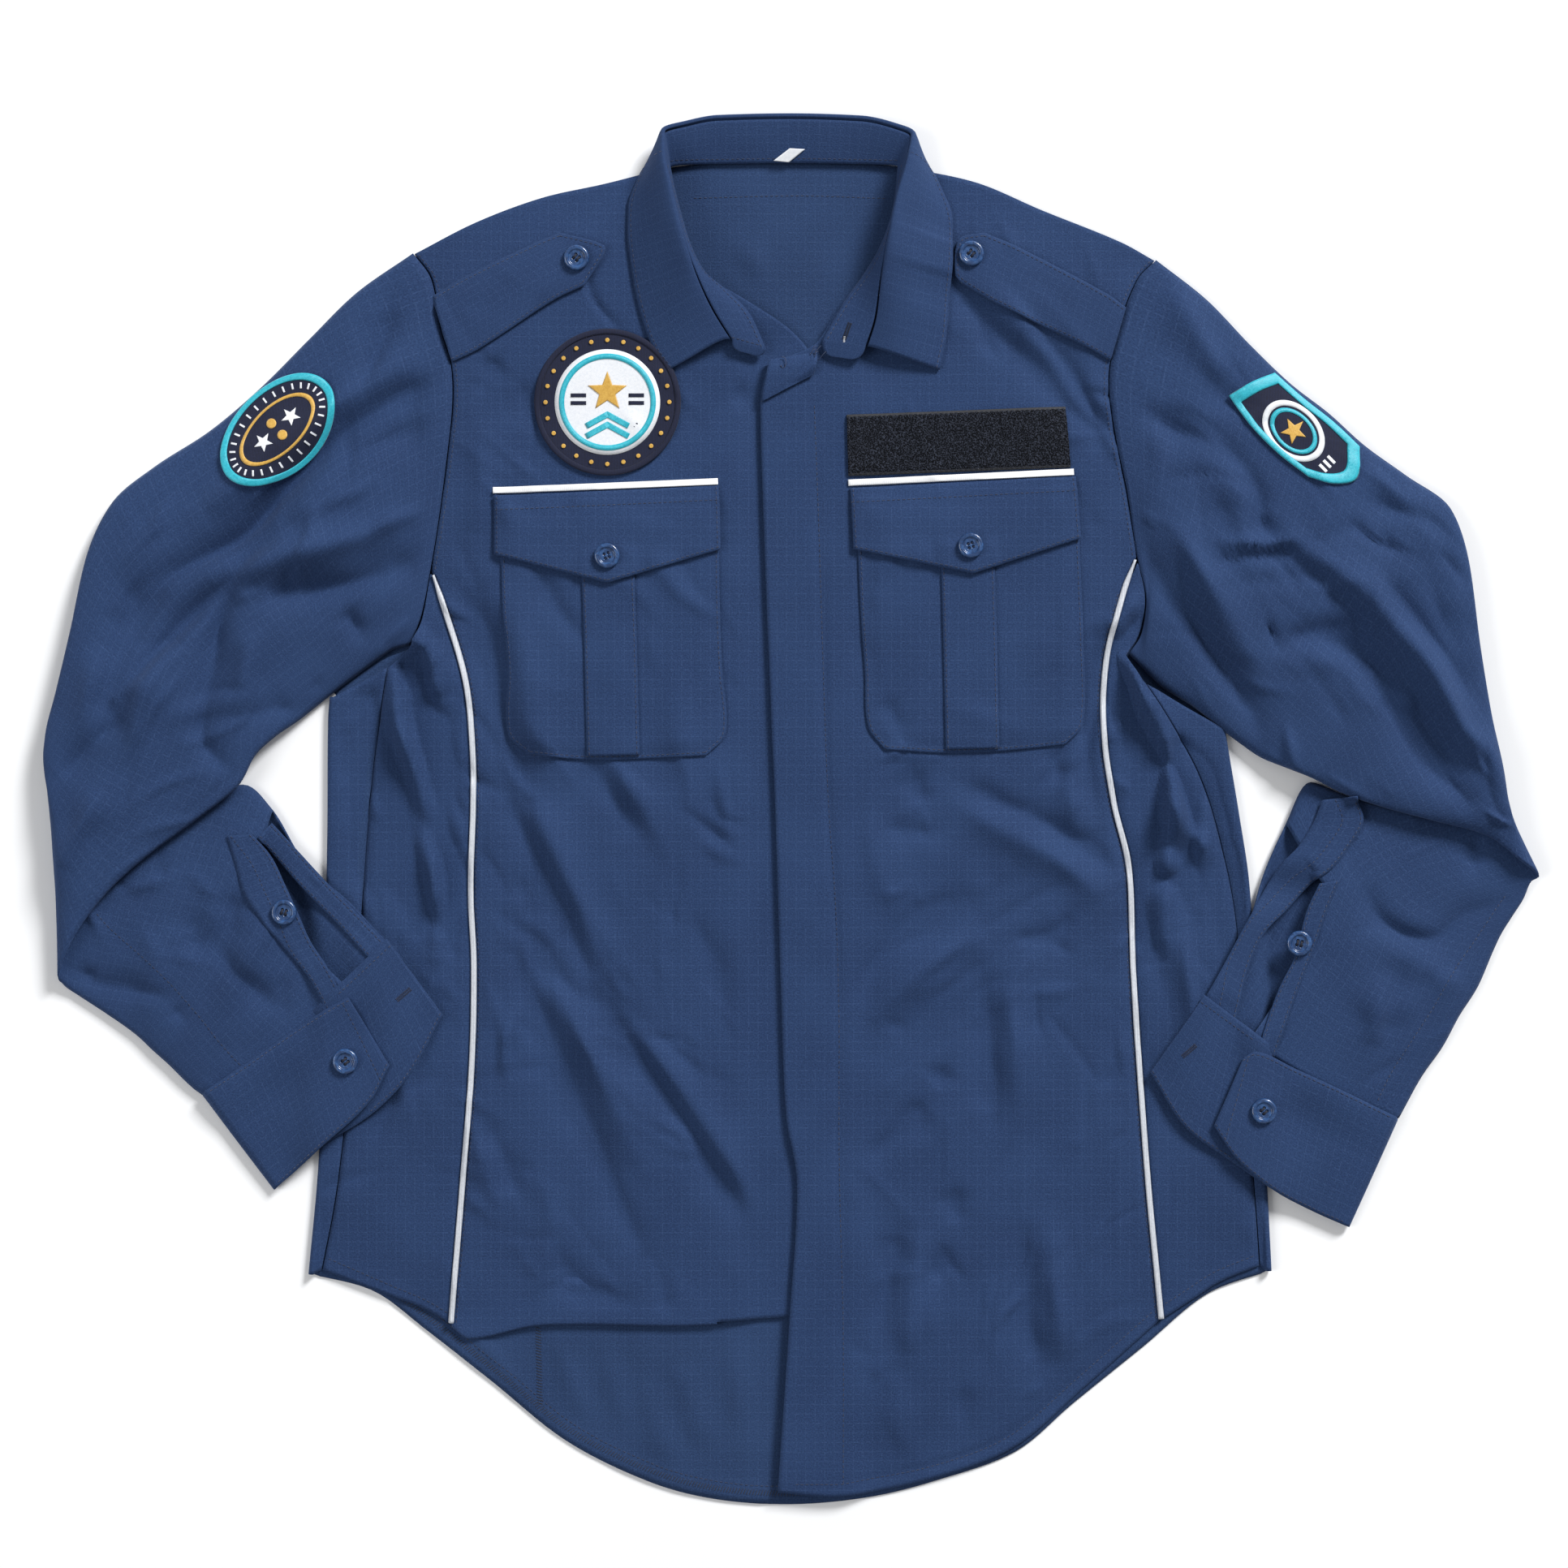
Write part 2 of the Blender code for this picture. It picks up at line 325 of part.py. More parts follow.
def smooth_line(points, count):
    """Return count points, evenly spread by length, on a smooth curve through the given ones."""
    knots = [Vector((p[0], p[1], p[2] if len(p) > 2 else 0.0)) for p in points]
    spans = [max((b - a).length, 1e-6) for a, b in zip(knots, knots[1:])]
    slopes = [(b - a) / s for a, b, s in zip(knots, knots[1:], spans)]
    tangents = [slopes[0]]
    for before, after, s0, s1 in zip(slopes, slopes[1:], spans, spans[1:]):
        tangents.append((before * s1 + after * s0) / (s0 + s1))
    tangents.append(slopes[-1])
    steps = 10
    dense = []
    for i, span in enumerate(spans):
        for k in range(steps):
            t = k / steps
            dense.append(knots[i] * (2 * t**3 - 3 * t**2 + 1) + tangents[i] * span * (t**3 - 2 * t**2 + t)
                         + knots[i + 1] * (3 * t**2 - 2 * t**3) + tangents[i + 1] * span * (t**3 - t**2))
    dense.append(knots[-1])
    lengths = [0.0]
    for a, b in zip(dense, dense[1:]):
        lengths.append(lengths[-1] + (b - a).length)
    result = []
    j = 0
    for k in range(count):
        want = lengths[-1] * k / (count - 1)
        while j < len(dense) - 2 and lengths[j + 1] < want:
            j += 1
        part = (want - lengths[j]) / max(lengths[j + 1] - lengths[j], 1e-9)
        result.append(dense[j].lerp(dense[j + 1], min(max(part, 0.0), 1.0)))
    return result


def patch(top, bottom, left, right, columns, rows):
    """Fill four edge curves with a grid of plan points: a list of rows from top to bottom."""
    t = smooth_line(top, columns + 1)
    b = smooth_line(bottom, columns + 1)
    near = smooth_line(left, rows + 1)
    r = smooth_line(right, rows + 1)
    grid = []
    for j in range(rows + 1):
        v = j / rows
        row = []
        for i in range(columns + 1):
            u = i / columns
            corners = (t[0] * (1 - u) + t[-1] * u) * (1 - v) + (b[0] * (1 - u) + b[-1] * u) * v
            row.append(t[i] * (1 - v) + b[i] * v + near[j] * (1 - u) + r[j] * u - corners)
        grid.append(row)
    return grid


def shifted(points, dx, dy=0.0):
    """Move a plan curve sideways, for the gap along a seam."""
    return [(p[0] + dx, p[1] + dy) for p in points]


def ramp(value, low, high):
    """Rise smoothly from 0 at low to 1 at high."""
    t = min(max((value - low) / (high - low), 0.0), 1.0)
    return t * t * (3 - 2 * t)


def fold_height(x, y, folds):
    """Sum the soft troughs and ridges at a place."""
    total = 0.0
    for x0, y0, x1, y1, width, height in folds:
        dx = x1 - x0
        dy = y1 - y0
        length = math.hypot(dx, dy)
        along = ((x - x0) * dx + (y - y0) * dy) / length
        off = abs((x - x0) * dy - (y - y0) * dx) / length
        past = max(-along, along - length, 0.0)
        reach = math.hypot(off, past) / width
        if reach < 1.0:
            total += height * (1 - reach * reach) ** 2
    return total


def hem_y(x, hem):
    """Height in the picture of a hem at a place across it."""
    for (x0, y0), (x1, y1) in zip(hem, hem[1:]):
        if x0 <= x <= x1:
            return y0 + (y1 - y0) * (x - x0) / (x1 - x0)
    return hem[0][1] if x < hem[0][0] else hem[-1][1]


def shoulder_y(x):
    """Height in the picture of the shoulder line at a place across it."""
    if x < 0:
        return hem_y(x, SHOULDER_LEFT)
    return hem_y(x, SHOULDER_RIGHT)


def front_height(x, y):
    """Middle of the fronts' wall over the back: slack, with its folds, low along the edges."""
    near_top = ramp(shoulder_y(x) - y, 0.0, 45.0)
    near_hem = ramp(y - hem_y(x, BACK_HEM), 2.0, 50.0)
    slack = FRONT_LOW + (FRONT_Z - FRONT_LOW) * near_top * near_hem
    folds = fold_height(x, y, BODY_FOLDS) * near_top * near_hem
    return max(slack + folds, FRONT_LOW)


def left_front_height(x, y):
    """The left front, pressed flat where the fly covers it."""
    pressed = ramp(x, PRESSED_FROM, PRESSED_FROM + 16.0) * (1 - ramp(y, 272.0, 290.0))
    kept = ramp(y - hem_y(x, FRONT_FOLD_LEFT), 0.0, 25.0)
    height = front_height(x, y)
    height = FRONT_Z + (height - FRONT_Z) * kept
    return height + (UNDER_FLY_Z - height) * pressed


def right_front_height(x, y):
    """The right front, lifted where it laps over the left one and the fly's strip."""
    lapped = 1 - ramp(x, 31.0, 52.0)
    height = front_height(x, y)
    return height + (max(height, OVER_FLY_Z) - height) * lapped


def finish(name, colour, roughness):
    """Make a plain material."""
    material = bpy.data.materials.new(name)
    material.use_nodes = True
    shader = material.node_tree.nodes["Principled BSDF"]
    shader.inputs["Base Color"].default_value = colour
    shader.inputs["Roughness"].default_value = roughness
    shader.inputs["Metallic"].default_value = 0.0
    return material


def link_mesh(name, bm, material, collection):
    """Turn a bmesh into an object of the collection."""
    mesh = bpy.data.meshes.new(name)
    bm.to_mesh(mesh)
    bm.free()
    mesh.shade_smooth()
    obj = bpy.data.objects.new(name, mesh)
    mesh.materials.append(material)
    collection.objects.link(obj)
    return obj


def sheet(name, grid, thickness, material, collection, ring=False, skip=()):
    """Make a wall of cloth on a grid of points; a missing point is None."""
    bm = bmesh.new()
    verts = [[bm.verts.new(p * MM) if p is not None else None for p in row] for row in grid]
    columns = len(grid[0])
    for j in range(len(grid) - 1):
        for i in range(columns if ring else columns - 1):
            k = (i + 1) % columns
            corners = (verts[j][i], verts[j + 1][i], verts[j + 1][k], verts[j][k])
            if (j, i) in skip or any(c is None for c in corners):
                continue
            bm.faces.new(corners)
    loose = [v for v in bm.verts if not v.link_faces]
    bmesh.ops.delete(bm, geom=loose, context="VERTS")
    obj = link_mesh(name, bm, material, collection)
    wall = obj.modifiers.new("wall", "SOLIDIFY")
    wall.thickness = thickness * MM
    wall.offset = 0.0
    wall.use_even_offset = not ring
    return obj


def surface_of(obj):
    """Tree of an object's evaluated faces, to drop other pieces on."""
    return BVHTree.FromObject(obj, bpy.context.evaluated_depsgraph_get())


def top_over(x, y, surfaces, reach):
    """Highest point of what lies under a place, within reach of it, or None."""
    best = None
    down = Vector((0.0, 0.0, -1.0))
    for dx in (-reach, -reach / 2, 0.0, reach / 2, reach):
        for dy in (-reach, -reach / 2, 0.0, reach / 2, reach):
            start = Vector(((x + dx) * MM, (y + dy) * MM, 0.2))
            for surface in surfaces:
                hit = surface.ray_cast(start, down)[0]
                if hit is not None and (best is None or hit.z / MM > best):
                    best = hit.z / MM
    return best


def dropped(grid, surfaces, thickness, reach, gap=GAP, ground=0.0):
    """Lift a plan grid on to what lies under it."""
    result = []
    for row in grid:
        line = []
        for p in row:
            under = top_over(p.x, p.y, surfaces, reach)
            base = ground if under is None else under + gap
            line.append(Vector((p.x, p.y, base + thickness / 2)))
        result.append(line)
    return result


def lifted(grid, height):
    """Give each plan point its height."""
    return [[Vector((p.x, p.y, height(p.x, p.y))) for p in row] for row in grid]


def band(line, width, count, columns=2):
    """Grid of a strip beside a plan curve, on its left as the curve runs."""
    points = smooth_line(line, count)
    rows = []
    for k, p in enumerate(points):
        before = points[max(k - 1, 0)]
        after = points[min(k + 1, count - 1)]
        along = (after - before).normalized()
        side = Vector((along.y, -along.x, 0.0))
        rows.append([p - side * width * (columns - c) / columns for c in range(columns + 1)])
    return rows


def disc_grid(spec, rings, sides):
    """Grid of an oval: rings of points from its middle to its rim."""
    cx, cy, half_length, half_width, turn = spec
    rows = []
    for r in range(1, rings + 1):
        row = []
        for s in range(sides):
            angle = math.tau * s / sides
            u = half_length * r / rings * math.cos(angle)
            v = half_width * r / rings * math.sin(angle)
            row.append(Vector((cx + u * math.cos(turn) - v * math.sin(turn),
                               cy + u * math.sin(turn) + v * math.cos(turn), 0.0)))
        rows.append(row)
    return rows


def oval(name, spec, surfaces, reach, material, collection, rings=3, sides=24):
    """Make an oval badge that follows what it is sewn to."""
    grid = dropped(disc_grid(spec, rings, sides), surfaces, PATCH_THICK, reach)
    bm = bmesh.new()
    verts = [[bm.verts.new(p * MM) for p in row] for row in grid]
    bm.faces.new(verts[0])
    for inner, outer in zip(verts, verts[1:]):
        for s in range(sides):
            k = (s + 1) % sides
            bm.faces.new((inner[s], outer[s], outer[k], inner[k]))
    bmesh.ops.triangulate(bm, faces=[f for f in bm.faces if len(f.verts) > 4])
    obj = link_mesh(name, bm, material, collection)
    wall = obj.modifiers.new("wall", "SOLIDIFY")
    wall.thickness = PATCH_THICK * MM
    wall.offset = 0.0
    return obj


def build_back(material, collection):
    """The back: flat on the ground, and turned up over both sides as far as the side seams."""
    columns = 10
    straight_pit = [PIT_LEFT[0], PIT_RIGHT[0]]
    straight_side = [PIT_LEFT[-1], PIT_RIGHT[-1]]
    top_edge = SHOULDER_LEFT + BACK_NECK[1:-1] + SHOULDER_RIGHT
    upper = patch(top_edge, straight_pit, shifted(ARMHOLE_LEFT, SEAM), shifted(ARMHOLE_RIGHT, -SEAM),
                  columns, 9)
    middle = patch(straight_pit, straight_side, PIT_LEFT, PIT_RIGHT, columns, 2)
    side_rows = 14
    lower = patch(straight_side, BACK_HEM, SIDE_LEFT, SIDE_RIGHT, columns, side_rows)
    seam_left = smooth_line(shifted(SEAM_LEFT, -SEAM), side_rows + 1)
    seam_right = smooth_line(shifted(SEAM_RIGHT, SEAM), side_rows + 1)
    flap_cells = 2
    blank = [None] * (flap_cells + 3)
    grid = []
    for row in upper[:-1] + middle[:-1]:
        grid.append(blank + lifted([row], lambda x, y: BACK_Z)[0] + blank)
    for j, row in enumerate(lower):
        left = turned_edge(row[0], seam_left[j], 1, flap_cells)
        right = turned_edge(row[-1], seam_right[j], -1, flap_cells)
        flat = lifted([row], lambda x, y: BACK_Z)[0]
        flat[0].x += SIDE_TURN
        flat[-1].x -= SIDE_TURN
        grid.append(left + flat + right[::-1])
    return sheet("back_panel", grid, CLOTH, material, collection)


def turned_edge(rim, seam, inward, cells):
    """Points from a side seam out to the side and round it, down to the back's own level."""
    points = []
    near = Vector((rim.x + inward * SIDE_TURN, rim.y, 0.0))
    for k in range(cells + 1):
        t = k / cells
        p = seam.lerp(near, t)
        height = side_height(p.x, p.y)
        points.append(Vector((p.x, p.y, height + (BACK_Z + 2 * SIDE_TURN - height) * t ** 3)))
    for angle in (45.0, 135.0):
        a = math.radians(angle)
        points.append(Vector((near.x - inward * SIDE_TURN * math.sin(a), rim.y,
                              BACK_Z + SIDE_TURN * (1 + math.cos(a)))))
    return points


def side_height(x, y):
    """Middle of the wall beside the side seams, on the side panels and the back's turned edge."""
    return max(front_height(x, y), FRONT_LOW + 0.4)


def build_fronts(material, collection):
    """Both centre fronts; the left one is turned under along its lower edge."""
    columns = 10
    split_left = [PIPING_LEFT[0], (14.0, 140.0)]
    upper = patch(SHOULDER_LEFT, split_left, shifted(ARMHOLE_LEFT[:8], SEAM),
                  NECK_LEFT + [(13.0, 262.0), (14.0, 200.0), (14.0, 140.0)], columns, 10)
    lower = patch(split_left, shifted(FRONT_FOLD_LEFT, SEAM), shifted(PIPING_LEFT, SEAM),
                  [(14.0, 140.0), (14.0, -298.0)], columns, 22)
    rows = lifted(upper[:-1] + lower, left_front_height)
    last = rows[-1]
    turn_r = (FRONT_Z - FRONT_LOW + 0.2) / 2
    for angle, back in ((45.0, 0.0), (135.0, 0.0), (180.0, 12.0), (180.0, 26.0)):
        a = math.radians(angle)
        rows.append([Vector((p.x, p.y - turn_r * math.sin(a) + back, p.z - turn_r * (1 - math.cos(a))))
                     if p.x < PRESSED_FROM else None for p in last])
    left = sheet("front_left", rows, CLOTH, material, collection)

    split_right = [FLY_EDGE[0], PIPING_RIGHT[0]]
    fly_top = [(-12.0, 261.0), (-16.5, 250.0), (-18.2, 237.0), (-16.7, 180.0), (-15.3, 140.0)]
    upper = patch(SHOULDER_RIGHT, split_right, NECK_RIGHT[:-1] + fly_top,
                  shifted(ARMHOLE_RIGHT[:7], -SEAM), columns, 10)
    lower = patch(split_right, FRONT_HEM_RIGHT, FLY_EDGE, shifted(PIPING_RIGHT, -SEAM), columns, 25)
    rows = lifted(upper[:-1] + lower, right_front_height)
    right = sheet("front_right", rows, CLOTH, material, collection)
    return left, right


def build_fly_strip(material, collection):
    """The strip behind the fly's edge; its top end is creased over on to the front."""
    edge = smooth_line([(-15.5, 250.0), (-15.0, 180.0)] + shifted(FLY_EDGE, 1.5), 18)
    rows = []
    for x0, y0, x1, y1, z in (
            (-14.0, 245.0, 11.0, 250.0, 8.6), (-14.5, 253.0, 11.0, 261.0, 9.3),
            (-13.5, 264.0, 10.0, 275.0, 9.6), (-13.5, 269.0, 9.5, 282.0, 6.9),
            (-14.5, 262.0, 9.5, 273.0, FLY_Z)):
        rows.append([Vector((x0 + (x1 - x0) * c / 3, y0 + (y1 - y0) * c / 3, z)) for c in range(4)])
    for p in edge:
        y = max(p.y, -396.0)
        rows.append([Vector((p.x + FLY_STRIP_WIDTH * c / 3, y, FLY_Z)) for c in range(4)])
    return sheet("fly_strip", rows, 1.0, material, collection)


def build_sides(material, collection):
    """The two side panels between princess seam and side seam."""
    columns = 4
    gap = SEAM
    wedge = patch([(-212.3, 137.5), (-211.6, 137.8)], [(-222.5, 96.0), (-197.0, 95.0)],
                  [(-212.3, 137.5), (-216.5, 113.0), (-222.5, 96.0)],
                  [(-211.6, 137.8), (-203.6, 115.0), (-197.6, 95.0)], columns, 3)
    shelf = patch([(-222.5, 96.0), (-197.6, 95.0)], [(-236.5, 82.5), (-194.2, 83.5)],
                  [(-222.5, 96.0), (-236.5, 82.5)], [(-197.6, 95.0), (-194.2, 83.5)], columns, 1)
    main = patch([(-236.5, 82.5), (-194.2, 83.5)], SIDE_HEM_LEFT, shifted(SEAM_LEFT, gap),
                 [(-194.2, 83.5)] + shifted(PIPING_LEFT[3:], -gap), columns, 20)
    left = sheet("side_left", lifted(wedge[:-1] + shelf[:-1] + main, side_height), CLOTH, material,
                 collection)
    wedge = patch([(203.4, 144.0), (204.0, 143.8)], [(186.2, 90.5), (196.5, 90.0)],
                  [(203.4, 144.0), (195.8, 126.5), (186.2, 90.5)],
                  [(204.0, 143.8), (207.6, 124.0), (205.0, 104.0), (196.5, 90.0)], columns, 4)
    shelf = patch([(186.2, 90.5), (196.5, 90.0)], [(184.6, 72.0), (207.0, 72.0)],
                  [(186.2, 90.5), (184.6, 72.0)], [(196.5, 90.0), (207.0, 72.0)], columns, 1)
    main = patch([(184.6, 72.0), (207.0, 72.0)], SIDE_HEM_RIGHT,
                 [(184.6, 72.0)] + shifted(PIPING_RIGHT[3:], gap), shifted(SEAM_RIGHT, -gap), columns, 20)
    right = sheet("side_right", lifted(wedge[:-1] + shelf[:-1] + main, side_height), CLOTH, material,
                  collection)
    return left, right


def sleeve_point(row, plan, across, wall, top, shift, fold_side, surfaces):
    """One point of a sleeve's ring: where it is in plan and how high its wall is there."""
    outer_z, inner_z = row[6], row[7]
    low = min(outer_z, inner_z)
    edge_z = low + min(FORM_EDGE, abs(outer_z - inner_z) / 2)
    folded = row[9] > 0.0
    if folded:
        shape = 1.0 if 0.0 < across < 1.0 else 0.5
    elif top:
        shape = max(1 - abs(2 * across - 1) ** 2.2, 0.0) ** 0.5
    else:
        shape = 0.0 if across in (0.0, 1.0) else (0.86 if across in (0.035, 0.965) else 1.0)
    z = edge_z + (wall - edge_z) * shape
    x = plan.x - fold_side * shift
    y = plan.y
    if top and not folded:
        z += fold_height(x, y, SLEEVE_FOLDS) * shape
    if surfaces:
        under = top_over(x, y, surfaces, SLEEVE_REACH)
        if under is not None:
            seat = under + GAP + CLOTH / 2
            if top:
                z = max(z, seat + 2.4 + (z - low) * 0.35)
            elif across in (0.0, 1.0):
                z = max(z, seat + 1.5)
            else:
                z = max(z, seat)
    return Vector((x, y, z))


def build_sleeve(name, rows, armhole, fold_side, under, material, collection):
    """One sleeve from armhole to cuff: a flattened tube, folded back under itself at the elbow."""
    cap = smooth_line(armhole, 41)
    grid = []
    for j, row in enumerate(rows):
        a = Vector((row[0], row[1], 0.0))
        m = Vector((row[2], row[3], 0.0))
        b = Vector((row[4], row[5], 0.0))
        control = m * 2 - (a + b) / 2
        resting = under if j >= SLIT_ROW - 2 else None
        ring = []
        for wall, fractions, shift in ((row[6], OUTER_ACROSS, row[8]), (row[7], INNER_ACROSS, row[9])):
            top = wall > min(row[6], row[7])
            for v in fractions:
                if j == 0:
                    plan = cap[round(v * 40)] + Vector((fold_side * ARMHOLE_GAP, 0.0, 0.0))
                else:
                    plan = a * (1 - v) ** 2 + control * 2 * v * (1 - v) + b * v * v
                side = row[9] / 2 if v in (0.0, 1.0) else shift
                ring.append(sleeve_point(row, plan, v, wall, top, side, fold_side, resting))
        grid.append(ring)
    last_column = len(OUTER_ACROSS) + len(INNER_ACROSS) - 1
    skip = {(j, last_column - k) for j in range(SLIT_ROW, len(rows) - 1) for k in range(SLIT_COLUMNS + 1)}
    if fold_side > 0:
        grid = [ring[:1] + ring[:0:-1] for ring in grid]
        skip = {(j, k) for j in range(SLIT_ROW, len(rows) - 1) for k in range(SLIT_COLUMNS + 1)}
    return sheet(name, grid, CLOTH, material, collection, ring=True, skip=skip)


def build_cuff(name, stations, under, material, collection):
    """A cuff, unbuttoned: a stiff strip that turns once round the sleeve's end and lies open."""
    rows = []
    finer = []
    for one, two in zip(stations, stations[1:]):
        finer.append(one)
        if one[4] == two[4]:
            finer.append(tuple((p + q) / 2 for p, q in zip(one, two)))
    finer.append(stations[-1])
    for sx, sy, hx, hy, layer in finer:
        seam = Vector((sx, sy, 0.0))
        hem = Vector((hx, hy, 0.0))
        seam = seam + (hem - seam).normalized() * CUFF_SEAM_GAP
        line = []
        for k in range(CUFF_CELLS + 1):
            p = seam.lerp(hem, k / CUFF_CELLS)
            ground = top_over(p.x, p.y, under, CUFF_REACH)
            low = DOUBLE / 2 if ground is None else ground + CUFF_GAP + DOUBLE / 2
            high = low + DOUBLE + 3.0
            line.append(Vector((p.x, p.y, low + (high - low) * layer)))
        rows.append(line)
    return sheet(name, rows, DOUBLE, material, collection)


def collar_rows():
    """Stand and leaf of the collar as two lists of rows, one row a station."""
    stand = []
    leaf = []
    for sx, sy, sz, fx, fy, fz, ex, ey, drop in COLLAR:
        seam = Vector((sx, sy, sz))
        fold = Vector((fx, fy, fz))
        up = (fold - seam).normalized()
        stand.append([seam.lerp(fold, k / 3) for k in range(4)])
        leaf.append((fold + up * LEAF_GAP, up, Vector((ex, ey, 0.0)), drop))
    return stand, leaf


def build_collar(under, material, collection):
    """The collar: a standing band round the neck and the leaf that falls from it."""
    stand, falls = collar_rows()
    stand_obj = sheet("collar_stand", stand, DOUBLE, material, collection)
    rows = []
    for index, (start, up, edge, drop) in enumerate(falls):
        behind = abs(index - COLLAR_MIDDLE) <= 2
        seat = None if behind else top_over(edge.x, edge.y, under, 7.0)
        edge_z = DOUBLE / 2 if seat is None else seat + GAP + DOUBLE / 2
        end = Vector((edge.x, edge.y, edge_z))
        lead = start + up * 6.0
        middle = Vector(((start.x + end.x) / 2, (start.y + end.y) / 2, end.z + drop))
        line = []
        for k in range(8):
            t = k / 7
            line.append(start * (1 - t) ** 3 + lead * 3 * t * (1 - t) ** 2 + middle * 3 * t * t * (1 - t)
                        + end * t ** 3)
        rows.append(line)
    sheet("collar_leaf", rows, DOUBLE, material, collection)
    return stand_obj


def build_pocket(side, plan, front, finishes, collection):
    """A chest pocket with its box pleat, flap and the bright strip over the flap."""
    base = [surface_of(front)]
    cloth = finishes["cloth"]
    grid = patch(plan["top"], plan["bottom"], plan["left"], plan["right"], 8, 10)
    laid = dropped(grid, base, POCKET_WALL, POCKET_REACH, POCKET_GAP)
    pocket = sheet("pocket_" + side, laid, POCKET_WALL, cloth, collection)
    on_pocket = base + [surface_of(pocket)]
    pleat_grid = band(plan["pleat"], plan["pleat_width"], 10, 3)
    laid = dropped(pleat_grid, on_pocket, POCKET_WALL, STRIP_REACH)
    pleat = sheet("pleat_" + side, laid, POCKET_WALL, cloth, collection)
    on_pleat = on_pocket + [surface_of(pleat)]
    left_low = plan["flap_left"][-1]
    right_low = plan["flap_right"][-1]
    point = plan["flap_point"]
    top_middle = plan["flap_top"][1]
    left_half = patch([plan["flap_top"][0], top_middle], [left_low, point], plan["flap_left"],
                      [top_middle, point], 5, 4)
    right_half = patch([top_middle, plan["flap_top"][2]], [point, right_low], [top_middle, point],
                       plan["flap_right"], 5, 4)
    grid = [a + b[1:] for a, b in zip(left_half, right_half)]
    laid = dropped(grid, on_pleat, FLAP_WALL, SEWN_REACH, WIDE_GAP)
    flap = sheet("flap_" + side, laid, FLAP_WALL, cloth, collection)
    (x0, y0), (x1, y1) = plan["strip"]
    strip_grid = band([(x0, y0), ((x0 + x1) / 2, (y0 + y1) / 2), (x1, y1)], STRIP_WIDTH, 12, 1)
    laid = dropped(strip_grid, base + [surface_of(flap)], POCKET_WALL, STRIP_REACH)
    strip = sheet("strip_" + side, laid, POCKET_WALL,
                  finishes["strip"], collection)
    return pocket, pleat, flap, strip


def build_button(name, place, surfaces, material, collection):
    """A four-hole shirt button as a turned dish with a raised rim."""
    x, y = place
    profile = [(0.0, 0.62), (0.55, 0.62), (0.68, 1.0), (0.9, 1.0), (1.0, 0.72), (1.0, 0.4), (0.7, 0.0),
               (0.0, 0.0)]
    bm = bmesh.new()
    verts = [bm.verts.new((r * BUTTON_R * MM, 0.0, h * BUTTON_H * MM)) for r, h in profile]
    for a, b in zip(verts, verts[1:]):
        bm.edges.new((a, b))
    obj = link_mesh(name, bm, material, collection)
    turn = obj.modifiers.new("turn", "SCREW")
    turn.steps = BUTTON_SIDES
    turn.render_steps = BUTTON_SIDES
    turn.use_merge_vertices = True
    turn.merge_threshold = 0.0001
    base = top_over(x, y, surfaces, BUTTON_R - 1.0)
    obj.location = (x * MM, y * MM, (base + GAP) * MM)
    return obj


def build_epaulette(side, plan, front, finishes, collection):
    """A shoulder strap, sewn in at the armhole and buttoned near the collar."""
    grid = patch(plan["top"], plan["bottom"], [plan["top"][0], plan["bottom"][0]], plan["tip"], 11, 5)
    laid = dropped(grid, [surface_of(front)], STRAP_WALL, SEWN_REACH, POCKET_GAP)
    strap = sheet("epaulette_" + side, laid, STRAP_WALL, finishes["cloth"], collection)
    build_button("button_epaulette_" + side, plan["button"],
                 [surface_of(front), surface_of(strap)], finishes["button"], collection)
    return strap


def build_placket(name, plan, sleeve, material, collection):
    """A narrow strip along one side of the sleeve's slit."""
    grid = band(plan["outer"], plan["width"], 11, 1)
    laid = dropped(grid, [surface_of(sleeve)], POCKET_WALL, SEWN_REACH, WIDE_GAP)
    return sheet(name, laid, POCKET_WALL, material, collection)


